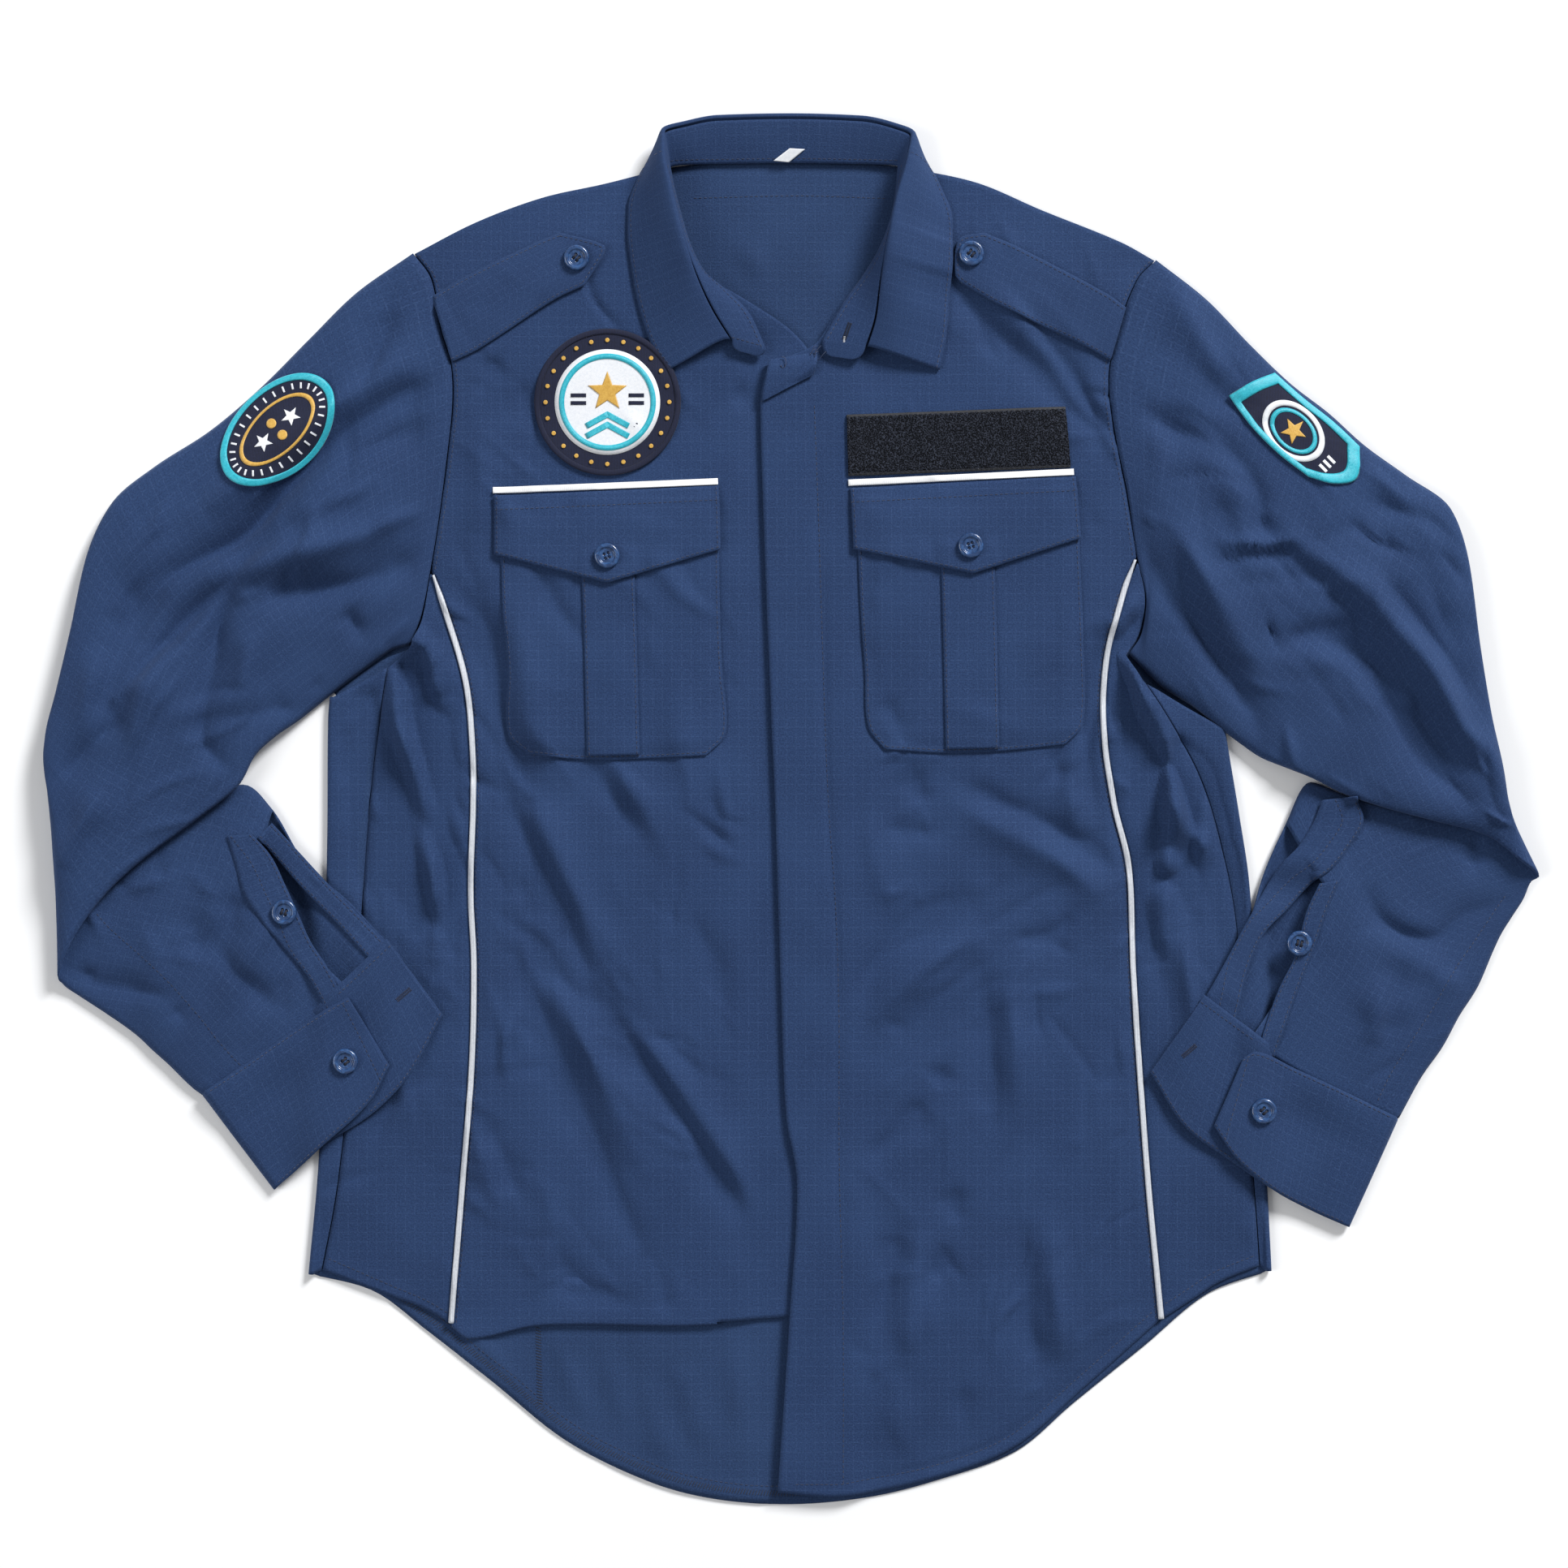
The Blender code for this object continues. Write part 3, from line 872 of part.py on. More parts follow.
def main():
    """Remove what the scene holds, then make each piece of the shirt."""
    for obj in list(bpy.data.objects):
        bpy.data.objects.remove(obj, do_unlink=True)
    collection = bpy.data.collections.new("uniform_shirt")
    bpy.context.scene.collection.children.link(collection)
    finishes = {
        "cloth": finish("navy ripstop", NAVY, 0.85),
        "inner": finish("navy ripstop inside", NAVY_DARK, 0.9),
        "strip": finish("white tape", WHITE, 0.5),
        "piping": finish("reflective piping", SILVER, 0.4),
        "button": finish("button resin", BUTTON_BLUE, 0.25),
        "hook": finish("hook and loop", BLACK, 0.95),
        "badge": finish("badge cloth", PATCH_BLUE, 0.8),
        "rim": finish("badge rim", TEAL, 0.7),
        "tag": finish("woven tag", WHITE, 0.8),
    }
    cloth = finishes["cloth"]

    back = build_back(cloth, collection)
    front_left, front_right = build_fronts(cloth, collection)
    build_fly_strip(finishes["inner"], collection)
    side_left, side_right = build_sides(cloth, collection)
    body = [surface_of(o) for o in (back, front_left, front_right, side_left, side_right)]

    piping_under = {
        "left": [surface_of(front_left), surface_of(side_left)],
        "right": [surface_of(front_right), surface_of(side_right)],
    }
    for side, line, low in (("left", PIPING_LEFT, -302.5), ("right", PIPING_RIGHT, -300.0)):
        run = [(p[0] + 1.75, max(p[1], low)) for p in line[1:]]
        first = (line[0][0] + 1.75 + (1.5 if side == "left" else -1.2), line[0][1] - 5.0)
        grid = band([first] + run, -3.5, 26, 1)
        laid = dropped(grid, piping_under[side], FLAP_WALL, PIPING_REACH)
        sheet("piping_" + side, laid, FLAP_WALL, finishes["piping"], collection)

    sleeves = {
        "left": build_sleeve("sleeve_left", SLEEVE_LEFT, ARMHOLE_LEFT, -1, body, cloth, collection),
        "right": build_sleeve("sleeve_right", SLEEVE_RIGHT, ARMHOLE_RIGHT, 1, body, cloth, collection),
    }
    cuffs = {
        "left": build_cuff("cuff_left", CUFF_LEFT, body, cloth, collection),
        "right": build_cuff("cuff_right", CUFF_RIGHT, body, cloth, collection),
    }
    for side, top, below in (("left", PLACKET_LEFT_TOP, PLACKET_LEFT_UNDER),
                             ("right", PLACKET_RIGHT_TOP, PLACKET_RIGHT_UNDER)):
        upper = build_placket("placket_" + side, top, sleeves[side], cloth, collection)
        build_placket("placket_under_" + side, below, sleeves[side], cloth, collection)
        build_button("button_placket_" + side, top["button"],
                     [surface_of(sleeves[side]), surface_of(upper)], finishes["button"], collection)
        build_button("button_cuff_" + side, CUFF_BUTTONS[side], [surface_of(cuffs[side])],
                     finishes["button"], collection)

    over_left = [surface_of(front_left)]
    over_right = [surface_of(front_right)]
    for side, plan, front in (("left", POCKET_LEFT, front_left), ("right", POCKET_RIGHT, front_right)):
        pieces = build_pocket(side, plan, front, finishes, collection)
        build_button("button_pocket_" + side, plan["button"], [surface_of(p) for p in pieces],
                     finishes["button"], collection)

    strap = build_epaulette("left", EPAULETTE_LEFT, front_left, finishes, collection)
    over_left.append(surface_of(strap))
    strap = build_epaulette("right", EPAULETTE_RIGHT, front_right, finishes, collection)
    over_right.append(surface_of(strap))

    tl, tr, br, bl = HOOK_STRIP
    grid = patch([tl, tr], [bl, br], [tl, bl], [tr, br], 10, 4)
    sheet("hook_strip", dropped(grid, over_right, HOOK_STRIP_THICK, SEWN_REACH), HOOK_STRIP_THICK,
          finishes["hook"], collection)

    badge = oval("badge_chest", CHEST_PATCH, over_left, 7.0, finishes["badge"], collection)
    over_left.append(surface_of(badge))
    oval("badge_oval", SLEEVE_OVAL, [surface_of(sleeves["left"])], 5.0, finishes["rim"], collection)
    grid = patch(SHIELD["top"], SHIELD["bottom"], SHIELD["left"], SHIELD["right"], 7, 8)
    laid = dropped(grid, [surface_of(sleeves["right"])], PATCH_THICK, BADGE_REACH)
    sheet("badge_shield", laid, PATCH_THICK, finishes["rim"], collection)

    stand = build_collar(over_left + over_right, cloth, collection)
    tl, tr, br, bl = NECK_TAG
    grid = patch([tl, tr], [bl, br], [tl, bl], [tr, br], 2, 2)
    laid = dropped(grid, [surface_of(stand), body[0]], POCKET_WALL, TAG_REACH)
    sheet("neck_tag", laid, POCKET_WALL, finishes["tag"], collection)


main()
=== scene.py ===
"""Looks of a long-sleeved navy uniform shirt, laid out flat with its front up.

Each cloth piece is a thin shell on the form of its solid, with its creases, seams and weave; buttons,
badges, piping and sewing are made on the shells. Sizes are in millimetres in the frame's own
directions: +X is the right of the picture, +Y runs from hem to collar, +Z is up.
"""

import logging
import math
from collections.abc import Callable
from dataclasses import dataclass, field
from enum import Enum

import bmesh
import bpy
import numpy as np
from mathutils.bvhtree import BVHTree
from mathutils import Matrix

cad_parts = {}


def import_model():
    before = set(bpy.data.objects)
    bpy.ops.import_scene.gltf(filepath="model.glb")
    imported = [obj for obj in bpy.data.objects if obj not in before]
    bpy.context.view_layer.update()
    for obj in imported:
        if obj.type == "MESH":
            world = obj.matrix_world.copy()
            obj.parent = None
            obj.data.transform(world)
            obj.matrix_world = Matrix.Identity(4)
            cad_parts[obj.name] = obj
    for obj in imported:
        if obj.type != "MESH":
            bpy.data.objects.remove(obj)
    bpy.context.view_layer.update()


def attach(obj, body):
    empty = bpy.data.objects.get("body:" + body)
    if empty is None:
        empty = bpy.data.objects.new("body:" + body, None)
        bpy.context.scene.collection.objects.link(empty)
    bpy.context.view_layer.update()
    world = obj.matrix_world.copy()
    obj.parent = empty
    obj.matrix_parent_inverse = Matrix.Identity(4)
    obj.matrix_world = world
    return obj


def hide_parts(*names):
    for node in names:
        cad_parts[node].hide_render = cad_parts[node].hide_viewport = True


LOG = logging.getLogger("shirt")

MM = 0.001
SHELL = 1.0            # wall of one layer as drawn
DOUBLE = 1.6           # collar and cuff, two layers over an interlining
TRIM = 0.8             # pockets, plackets and other cloth that is sewn on
GAP = 0.25             # between two layers that touch
SEAM = 0.4             # between two edges that are sewn to each other
ARMHOLE_GAP = 0.25      # the same where a rounded sleeve meets the flat body
CELL = 3.0             # mesh size on the large panels
FINE_CELL = 1.8        # mesh size on pockets, collar and cuffs
FRONT_COLUMNS = 90     # mesh columns across a front

BACK_Z = 0.6           # middle of the back's wall
FRONT_Z = 5.0          # middle of the fronts' wall where nothing presses them down
FRONT_LOW = 2.5        # the same along shoulder and hem
UNDER_FLY_Z = 3.0      # left front where the fly covers it
FLY_Z = 4.6            # strip behind the fly's edge
OVER_FLY_Z = 6.4       # right front where it laps over the left one
SIDE_TURN = 2.2        # radius of the back's turn at each side
FORM_EDGE = 3.4        # height at which a sleeve's side rounds over
PRESSED_FROM = -43.0   # x from which the fly presses the left front down
SPLIT_Y = 140.0        # where the panels' upper and lower grids meet
PRESSED_Z = 1.95       # middle of the fronts' wall at the bottom of a trough
DEPTH = 2.9            # how many times its table height a crease has as drawn
SIDE_DEPTH = 1.7       # how much deeper the folds are past the princess seams, where the cloth is loose
SLEEVE_DEPTH = 1.2     # how much deeper they are on the sleeves
PRINCESS_X = 186.0     # about how far out the princess seams run
CREASE_ROUND = 0.05    # how round a crease's bottom is, as a share of its half width, squared

Point = tuple[float, ...]
Line = list[Point]

# What each sheet was cut to: width, length in mm and area in square mm, none where it is a plain strip
CUT = {
    "back": (650, 790, 416000),
    "front_left": (235, 710, 143000),
    "front_right": (240, 790, 152000),
    "fly": (22, 680, None),
    "side_left": (80, 460, 27000),
    "side_right": (80, 460, 22000),
    "sleeve": (440, 600, 150000),
    "cuff": (262, 72, 17000),
    "stand": (36, 430, 9600),
    "leaf": (75, 440, 14500),
    "tag": (12, 19, 90),
    "pocket": (132, 155, 19300),
    "flap": (134, 56, 6300),
    "strap": (115, 50, 4300),
    "loop": (36, 129, None),
}


class Side(Enum):
    """The viewer's side of the shirt."""

    LEFT = -1
    RIGHT = 1

    @property
    def word(self) -> str:
        """Lower-case name, as in the frame's nodes."""
        return self.name.lower()


# Outline of the body, each row x, y
SHOULDER_LEFT = [(-222.0, 326.0), (-186.0, 344.5), (-147.0, 359.0), (-109.0, 367.5), (-74.0, 376.5)]
SHOULDER_RIGHT = [(64.0, 377.5), (109.0, 368.0), (147.0, 352.0), (194.0, 333.0), (214.0, 322.0)]
BACK_NECK = [(-74.0, 376.5), (-40.0, 380.0), (0.0, 381.0), (35.0, 380.0), (64.0, 377.5)]
ARMHOLE_LEFT = [(-222.0, 326.0), (-211.5, 311.0), (-206.0, 281.5), (-200.0, 261.5), (-199.0, 238.0),
                (-202.0, 208.0), (-207.0, 170.0), (-212.0, 140.0), (-217.5, 113.0), (-224.0, 96.5)]
ARMHOLE_RIGHT = [(214.0, 322.0), (203.5, 311.0), (192.0, 281.0), (186.5, 251.0), (190.5, 218.0),
                 (197.0, 187.0), (203.2, 148.0), (208.5, 124.0), (206.0, 103.0), (198.5, 91.0)]
PIT_LEFT = [(-223.5, 94.5), (-242.0, 86.5), (-271.0, 65.5)]
PIT_RIGHT = [(197.0, 89.5), (213.0, 73.0), (254.5, 48.0)]
SIDE_LEFT = [(-271.0, 65.5), (-272.0, 52.0), (-272.5, -18.0), (-274.5, -110.0), (-277.5, -206.0),
             (-283.5, -274.0)]
SIDE_RIGHT = [(254.5, 48.0), (256.0, 38.0), (263.0, -4.0), (269.0, -45.0), (275.0, -140.0), (279.5, -223.0),
              (282.0, -272.0)]
BACK_HEM = [(-283.5, -274.0), (-246.0, -284.0), (-216.0, -306.0), (-177.0, -336.5), (-132.0, -372.5),
            (-83.0, -396.5), (-45.0, -406.5), (0.0, -409.6), (45.0, -405.5), (84.0, -396.0),
            (132.0, -378.5), (166.0, -350.0), (208.0, -316.0), (245.0, -285.5), (282.0, -272.0)]
SEAM_LEFT = [(-237.0, 82.5), (-245.5, 27.0), (-250.5, -28.0), (-257.0, -130.0), (-267.0, -224.0),
             (-276.0, -271.5)]
SEAM_RIGHT = [(208.0, 72.5), (238.5, 23.0), (255.0, -30.0), (262.5, -74.0), (269.0, -180.0),
              (275.5, -269.0)]
PIPING_LEFT = [(-212.0, 140.0), (-203.0, 115.0), (-191.5, 75.5), (-187.5, 38.0), (-187.0, 0.0),
               (-188.5, -48.0), (-186.5, -93.0), (-188.0, -154.0), (-193.5, -224.0), (-200.0, -303.0)]
PIPING_RIGHT = [(203.2, 148.0), (195.0, 126.5), (185.5, 89.0), (183.5, 47.0), (189.5, 4.0),
                (198.5, -34.0), (201.0, -95.0), (204.0, -144.0), (210.0, -224.0), (217.5, -300.5)]
FLY_EDGE = [(-15.3, 140.0), (-11.5, 45.0), (-9.5, 0.0), (-5.7, -121.0), (-2.9, -182.0), (3.3, -220.0),
            (-1.0, -299.0), (-8.1, -402.0)]
FLY_TOP = [(-12.0, 261.0), (-16.5, 250.0), (-18.2, 237.0), (-16.7, 180.0), (-15.3, 140.0)]
FRONT_HEM_RIGHT = [(-8.1, -402.0), (30.0, -404.5), (84.0, -394.5), (131.0, -376.5), (173.0, -341.0),
                   (217.5, -301.5)]
FRONT_FOLD_LEFT = [(-199.5, -306.0), (-189.0, -313.0), (-147.0, -304.5), (-60.0, -303.5), (14.0, -298.0)]
SIDE_HEM_LEFT = [(-275.4, -271.0), (-237.0, -287.5), (-216.0, -296.5), (-200.5, -306.0)]
SIDE_HEM_RIGHT = [(218.0, -301.0), (236.5, -289.0), (252.0, -279.0), (275.0, -269.5)]
NECK_LEFT = [(-74.0, 376.5), (-66.0, 342.0), (-54.5, 314.5), (-36.0, 304.0), (-21.5, 295.5), (2.0, 279.0)]
NECK_RIGHT = [(64.0, 377.5), (61.5, 355.0), (51.5, 328.0), (39.0, 308.0), (25.0, 289.0), (13.0, 272.0),
              (-12.0, 261.0)]
FLY_STITCH = [(13.5, 237.0), (16.0, 170.0), (19.0, 75.0), (22.0, 0.0), (26.0, -56.0), (28.0, -126.0),
              (28.0, -193.0), (29.0, -248.0), (30.5, -305.0), (30.5, -397.0)]
"""The row of stitches that holds the fly."""


@dataclass(frozen=True)
class Crease:
    """A soft trough (height below zero) or ridge that runs along a path in plan.

    lean is from -1 to 1: above zero the path's left bank is the steep one.
    """

    width: float
    height: float
    lean: float
    path: tuple[Point, ...]


def creases(*rows: tuple) -> list[Crease]:
    """Read rows of half width, height, lean and path."""
    return [Crease(*row) for row in rows]


def deepened(table: list[Crease]) -> list[Crease]:
    """Make the creases that lie past the princess seams deeper."""
    return [Crease(c.width, c.height * SIDE_DEPTH, c.lean, c.path)
            if min(abs(x) for x, _ in c.path) > PRINCESS_X else c for c in table]


BODY_CREASES = creases(
    (14, -3.0, 0.3, ((-196, 130), (-188, 119), (-181, 100), (-175, 81), (-171, 63), (-166, 42), (-161, 28),
                     (-156, 15), (-154, 6))),
    (17, 2.8, 0.0, ((-172, 132), (-160, 96), (-152, 62), (-142, 22))),
    (12, -2.6, 0.3, ((-171, 15), (-165, 0), (-156, -15), (-148, -30), (-141, -49), (-131, -70), (-122, -89),
                     (-118, -104))),
    (15, 3.2, 0.0, ((-152, 6), (-140, -24), (-124, -56), (-106, -92))),
    (8, -1.8, 0.0, ((-160, -43), (-154, -55), (-150, -66))),
    (10, -2.0, 0.2, ((-165, -66), (-152, -77), (-141, -95), (-127, -109))),
    (13, -3.0, 0.3, ((-163, -86), (-154, -109), (-144, -129), (-135, -152), (-127, -173), (-118, -191),
                     (-110, -210), (-103, -229), (-95, -246), (-88, -263))),
    (14, -3.0, 0.35, ((-144, -91), (-127, -110), (-114, -114), (-103, -125), (-88, -146), (-76, -163),
                      (-61, -184), (-48, -206), (-35, -228), (-23, -248))),
    (15, 3.4, 0.0, ((-142, -96), (-128, -124), (-114, -152), (-100, -184), (-88, -212))),
    (15, 3.6, 0.0, ((-98, -124), (-78, -148), (-56, -182), (-32, -214), (-20, -236))),
    (11, -2.2, 0.0, ((-139, -254), (-133, -271), (-124, -284), (-105, -290), (-88, -293))),
    (9, -1.4, 0.0, ((-76, -288), (-72, -299))),
    (12, -2.0, 0.2, ((-179, -186), (-171, -203), (-162, -229))),
    (12, 2.0, 0.0, ((-190, -180), (-181, -206), (-172, -236))),
    (11, -2.0, 0.3, ((-150, 141), (-138, 120), (-123, 98))),
    (12, -2.2, 0.2, ((-117, 27), (-103, 5), (-88, -16))),
    (14, 2.0, 0.0, ((-108, 34), (-92, 8), (-74, -22))),
    (13, -2.6, 0.2, ((-239, 44), (-229, 21), (-218, -4), (-205, -24), (-194, -47))),
    (12, -2.4, 0.2, ((-245, -12), (-235, -28), (-226, -44), (-215, -62), (-203, -76))),
    (11, -2.2, 0.0, ((-215, 59), (-209, 40), (-201, 20), (-194, 10))),
    (15, 2.8, 0.0, ((-232, 56), (-220, 26), (-206, -2), (-196, -24))),
    (9, -1.8, 0.0, ((-256, 68), (-245, 53))),
    (9, -2.4, 0.4, ((-236, 94), (-220, 89), (-216, 72))),
    (11, 2.2, 0.0, ((-226, 100), (-212, 84), (-206, 64))),
    (12, -2.0, 0.0, ((-262, -90), (-250, -128), (-240, -172))),
    (13, 2.0, 0.0, ((-246, -76), (-236, -120), (-226, -176))),
    (11, -1.8, 0.3, ((21, 131), (29, 111), (38, 93), (41, 79))),
    (9, -1.4, 0.0, ((-9, 142), (8, 163))),
    (10, -1.6, 0.0, ((-7, 38), (17, 68))),
    (11, -2.0, 0.3, ((70, 25), (77, 2))),
    (10, -1.8, 0.0, ((55, 65), (65, 42))),
    (13, -3.2, 0.4, ((106, 13), (121, 4), (140, -4), (157, -13), (174, -23), (189, -35))),
    (17, 3.2, 0.0, ((98, 2), (126, -14), (154, -28), (184, -54))),
    (10, -2.4, 0.0, ((180, 98), (176, 70), (174, 38), (176, 10), (180, -13))),
    (10, -1.8, 0.0, ((152, 34), (161, 13))),
    (14, 2.4, 0.0, ((160, 22), (166, -2), (168, -28))),
    (7, -4.0, 0.3, ((189, 86), (193, 70), (199, 54), (206, 39))),
    (6, -3.4, 0.0, ((205, 112), (199, 101), (190, 92))),
    (9, 3.0, 0.0, ((199, 86), (205, 66), (214, 46))),
    (9, 2.6, 0.0, ((184, 108), (194, 112), (203, 124))),
    (8, -3.0, 0.2, ((-232, 92), (-222, 82), (-217, 66), (-214, 52))),
    (8, 2.8, 0.0, ((-228, 100), (-215, 96), (-206, 84))),
    (15, -3.2, 0.3, ((31, -113), (53, -87), (76, -68), (99, -53))),
    (18, 3.4, 0.0, ((44, -128), (66, -104), (92, -84), (116, -72))),
    (9, -1.6, 0.0, ((2, -77), (21, -68))),
    (9, -1.4, 0.0, ((-6, -44), (17, -45))),
    (9, -1.4, 0.0, ((27, -23), (34, -36))),
    (10, -1.6, 0.0, ((57, -12), (85, -15))),
    (12, -2.8, 0.3, ((113, -102), (115, -135), (117, -180))),
    (13, 2.4, 0.0, ((128, -100), (131, -138), (133, -178))),
    (10, -2.0, 0.2, ((132, -77), (155, -74), (165, -62))),
    (10, -1.8, 0.0, ((95, -222), (97, -244))),
    (11, -2.2, 0.3, ((61, -250), (57, -277), (53, -305))),
    (13, 2.6, 0.0, ((76, -246), (72, -284), (68, -322))),
    (9, -1.6, 0.0, ((38, -311), (33, -324))),
    (9, -1.8, 0.2, ((10, -241), (17, -226), (27, -214), (28, -199))),
    (11, -2.4, 0.3, ((45, -206), (61, -192), (79, -173))),
    (9, -1.6, 0.0, ((85, -165), (91, -150))),
    (12, -2.6, 0.3, ((138, -252), (140, -305), (146, -324))),
    (13, 2.4, 0.0, ((152, -246), (156, -292), (160, -326))),
    (9, -1.8, 0.0, ((83, -277), (91, -262))),
    (12, -2.6, 0.3, ((98, 303), (121, 280), (142, 260), (160, 239), (181, 219))),
    (10, -3.2, 0.4, ((134, 285), (157, 265), (178, 234), (193, 211))),
    (14, 2.8, 0.0, ((118, 302), (146, 272), (168, 246), (188, 224))),
    (9, -2.0, 0.0, ((-183, 244), (-172, 265))),
    (9, -1.6, 0.0, ((-37, 239), (-19, 247))),
    (12, -1.6, 0.0, ((-160, 250), (-150, 226), (-156, 200))),
    (14, 1.6, 0.0, ((-186, 230), (-182, 196), (-186, 160))),
    (8, -3.0, 0.3, ((186, 92), (197, 64), (203, 41))),
    (10, -2.8, 0.2, ((206, 38), (217, 28), (238, 21))),
    (10, -2.6, 0.0, ((194, 2), (200, -19), (204, -36), (219, -42), (238, -45))),
    (12, 3.2, 0.0, ((210, 80), (219, 42), (224, 2), (220, -40), (216, -84))),
    (12, 3.2, 0.0, ((-233, 86), (-229, 46), (-217, 6), (-209, -38), (-208, -86))),
    (11, -3.4, 0.3, ((202, 62), (208, 34), (212, 4), (209, -30), (205, -62))),
    (9, -2.6, 0.0, ((222, 44), (232, 14), (236, -20), (232, -60))),
    (10, -2.4, 0.2, ((240, 30), (252, -6), (258, -48), (256, -90))),
    (11, -3.4, 0.3, ((-222, 78), (-216, 40), (-207, 4), (-200, -36), (-200, -84))),
    (9, -2.6, 0.0, ((-250, 62), (-240, 20), (-226, -18), (-216, -62))),
    (10, -2.2, 0.0, ((-262, 40), (-254, -4), (-246, -50))),
    (11, -2.2, 0.0, ((210, 10), (219, -19), (238, -34))),
    (12, 2.8, 0.0, ((216, 10), (230, -8), (244, -26))),
    (10, -2.0, 0.2, ((204, -56), (216, -95))),
    (13, 2.0, 0.0, ((228, -70), (236, -120), (238, -176))),
    (15, 1.6, 0.0, ((60, -330), (66, -380))),
    (16, 1.4, 0.0, ((-70, 90), (-60, 0))),
    (10, -1.4, 0.0, ((100, -340), (104, -384))),
    (12, 1.4, 0.0, ((-150, -210), (-140, -246), (-150, -280))),
    (14, -1.4, 0.0, ((-60, -60), (-44, -96), (-36, -140))),
    (14, 1.4, 0.0, ((60, -60), (44, -10), (50, 30))),
)

SLEEVE_CREASES = creases(
    (14, -5.0, 0.3, ((-209, 252), (-259, 223), (-281, 203), (-301, 181), (-321, 159), (-344, 146),
                     (-365, 135), (-378, 113), (-391, 93), (-403, 62))),
    (18, 4.2, 0.0, ((-222, 262), (-268, 236), (-306, 204), (-346, 172))),
    (13, -4.4, -0.3, ((-295, 164), (-317, 148), (-330, 131), (-347, 117), (-370, 93), (-396, 62))),
    (14, 3.0, 0.0, ((-300, 150), (-328, 128), (-352, 100), (-378, 74))),
    (13, -4.2, 0.2, ((-219, 146), (-237, 139), (-262, 131), (-297, 126), (-310, 126))),
    (17, 4.0, 0.0, ((-226, 168), (-262, 156), (-300, 146), (-336, 134))),
    (12, -3.6, -0.2, ((-325, 130), (-334, 113), (-339, 95), (-343, 67), (-345, 44), (-339, 31), (-326, 20))),
    (16, 3.0, 0.0, ((-304, 118), (-318, 84), (-322, 52))),
    (10, -2.8, 0.0, ((-262, 117), (-250, 97))),
    (10, -2.6, 0.0, ((-319, 53), (-306, 58), (-292, 58))),
    (11, -2.8, 0.2, ((-227, 314), (-237, 285), (-250, 252), (-257, 238))),
    (11, -2.4, 0.0, ((-213, 227), (-246, 212), (-273, 201))),
    (10, -2.4, 0.0, ((-200, 263), (-217, 247), (-239, 239))),
    (15, 3.0, 0.0, ((-362, 98), (-378, 66), (-386, 36))),
    (12, -2.4, 0.0, ((-428, 18), (-409, 37), (-390, 56))),
    (12, 2.4, 0.0, ((-428, -35), (-411, -5), (-403, 12))),
    (16, -2.0, 0.0, ((-266, 254), (-282, 236), (-300, 240))),
    (18, 2.0, 0.0, ((-248, 190), (-284, 174), (-270, 196))),
    (16, -1.8, 0.0, ((-400, 140), (-384, 120), (-396, 100))),
    (15, 2.0, 0.0, ((-402, 96), (-412, 60), (-408, 30))),
    (12, -2.8, 0.3, ((248, 221), (259, 207), (273, 187), (277, 163), (293, 148), (310, 134), (328, 115),
                     (339, 99), (350, 86), (367, 68), (372, 44), (401, 26))),
    (17, 4.4, -0.2, ((292, 159), (303, 148), (324, 136), (343, 119), (357, 101), (372, 81), (385, 59),
                     (392, 46), (409, 30), (418, 3))),
    (10, -4.0, -0.4, ((348, 132), (362, 114), (380, 92), (396, 66))),
    (14, -4.6, 0.2, ((318, 94), (347, 65), (375, 31), (394, 5))),
    (12, -2.8, 0.2, ((207, 232), (224, 223), (248, 214))),
    (16, 3.6, 0.0, ((221, 311), (231, 293), (242, 273), (253, 251))),
    (13, -3.8, 0.3, ((209, 148), (222, 126), (237, 108), (248, 90), (259, 75), (270, 55), (276, 38))),
    (16, 3.6, 0.0, ((222, 168), (240, 138), (256, 110), (272, 84))),
    (11, -2.8, 0.0, ((292, 100), (310, 105), (328, 107))),
    (12, -2.8, 0.0, ((284, 95), (324, 97), (339, 86), (358, 62))),
    (12, -2.8, 0.0, ((336, 181), (363, 172), (390, 163))),
    (15, 2.8, 0.0, ((300, 92), (326, 80), (350, 58))),
    (15, -2.0, 0.0, ((236, 260), (262, 236), (276, 240))),
    (16, 2.0, 0.0, ((250, 200), (264, 180), (262, 150))),
    (14, -2.0, 0.0, ((372, 140), (380, 112), (392, 90))),
    (14, 2.4, 0.0, ((340, 200), (360, 178), (378, 150))),
)

FOREARM_CREASES = creases(
    (9, -2.0, 0.0, ((-326, -50), (-330, -77))),
    (9, -1.8, 0.0, ((-352, -66), (-348, -84))),
    (10, -2.4, 0.0, ((-422, -101), (-386, -107), (-364, -111))),
    (8, -1.8, 0.0, ((-362, -117), (-356, -126))),
    (11, -2.2, 0.2, ((-345, -70), (-322, -100), (-300, -118))),
    (13, 2.2, 0.0, ((-300, -60), (-318, -86), (-330, -112))),
    (14, 1.8, 0.0, ((-380, -70), (-372, -96), (-384, -120))),
    (8, -2.2, 0.0, ((-422, -95), (-408, -100))),
    (11, -2.8, 0.3, ((335, -42), (345, -64), (366, -76), (380, -76), (393, -64), (417, -55))),
    (9, -2.0, 0.0, ((403, -18), (401, -34))),
    (13, 2.4, 0.0, ((352, -96), (344, -120), (340, -140))),
    (12, -2.0, 0.2, ((360, -88), (352, -112), (350, -134))),
    (13, 2.0, 0.0, ((372, -90), (384, -102), (392, -96))),
)

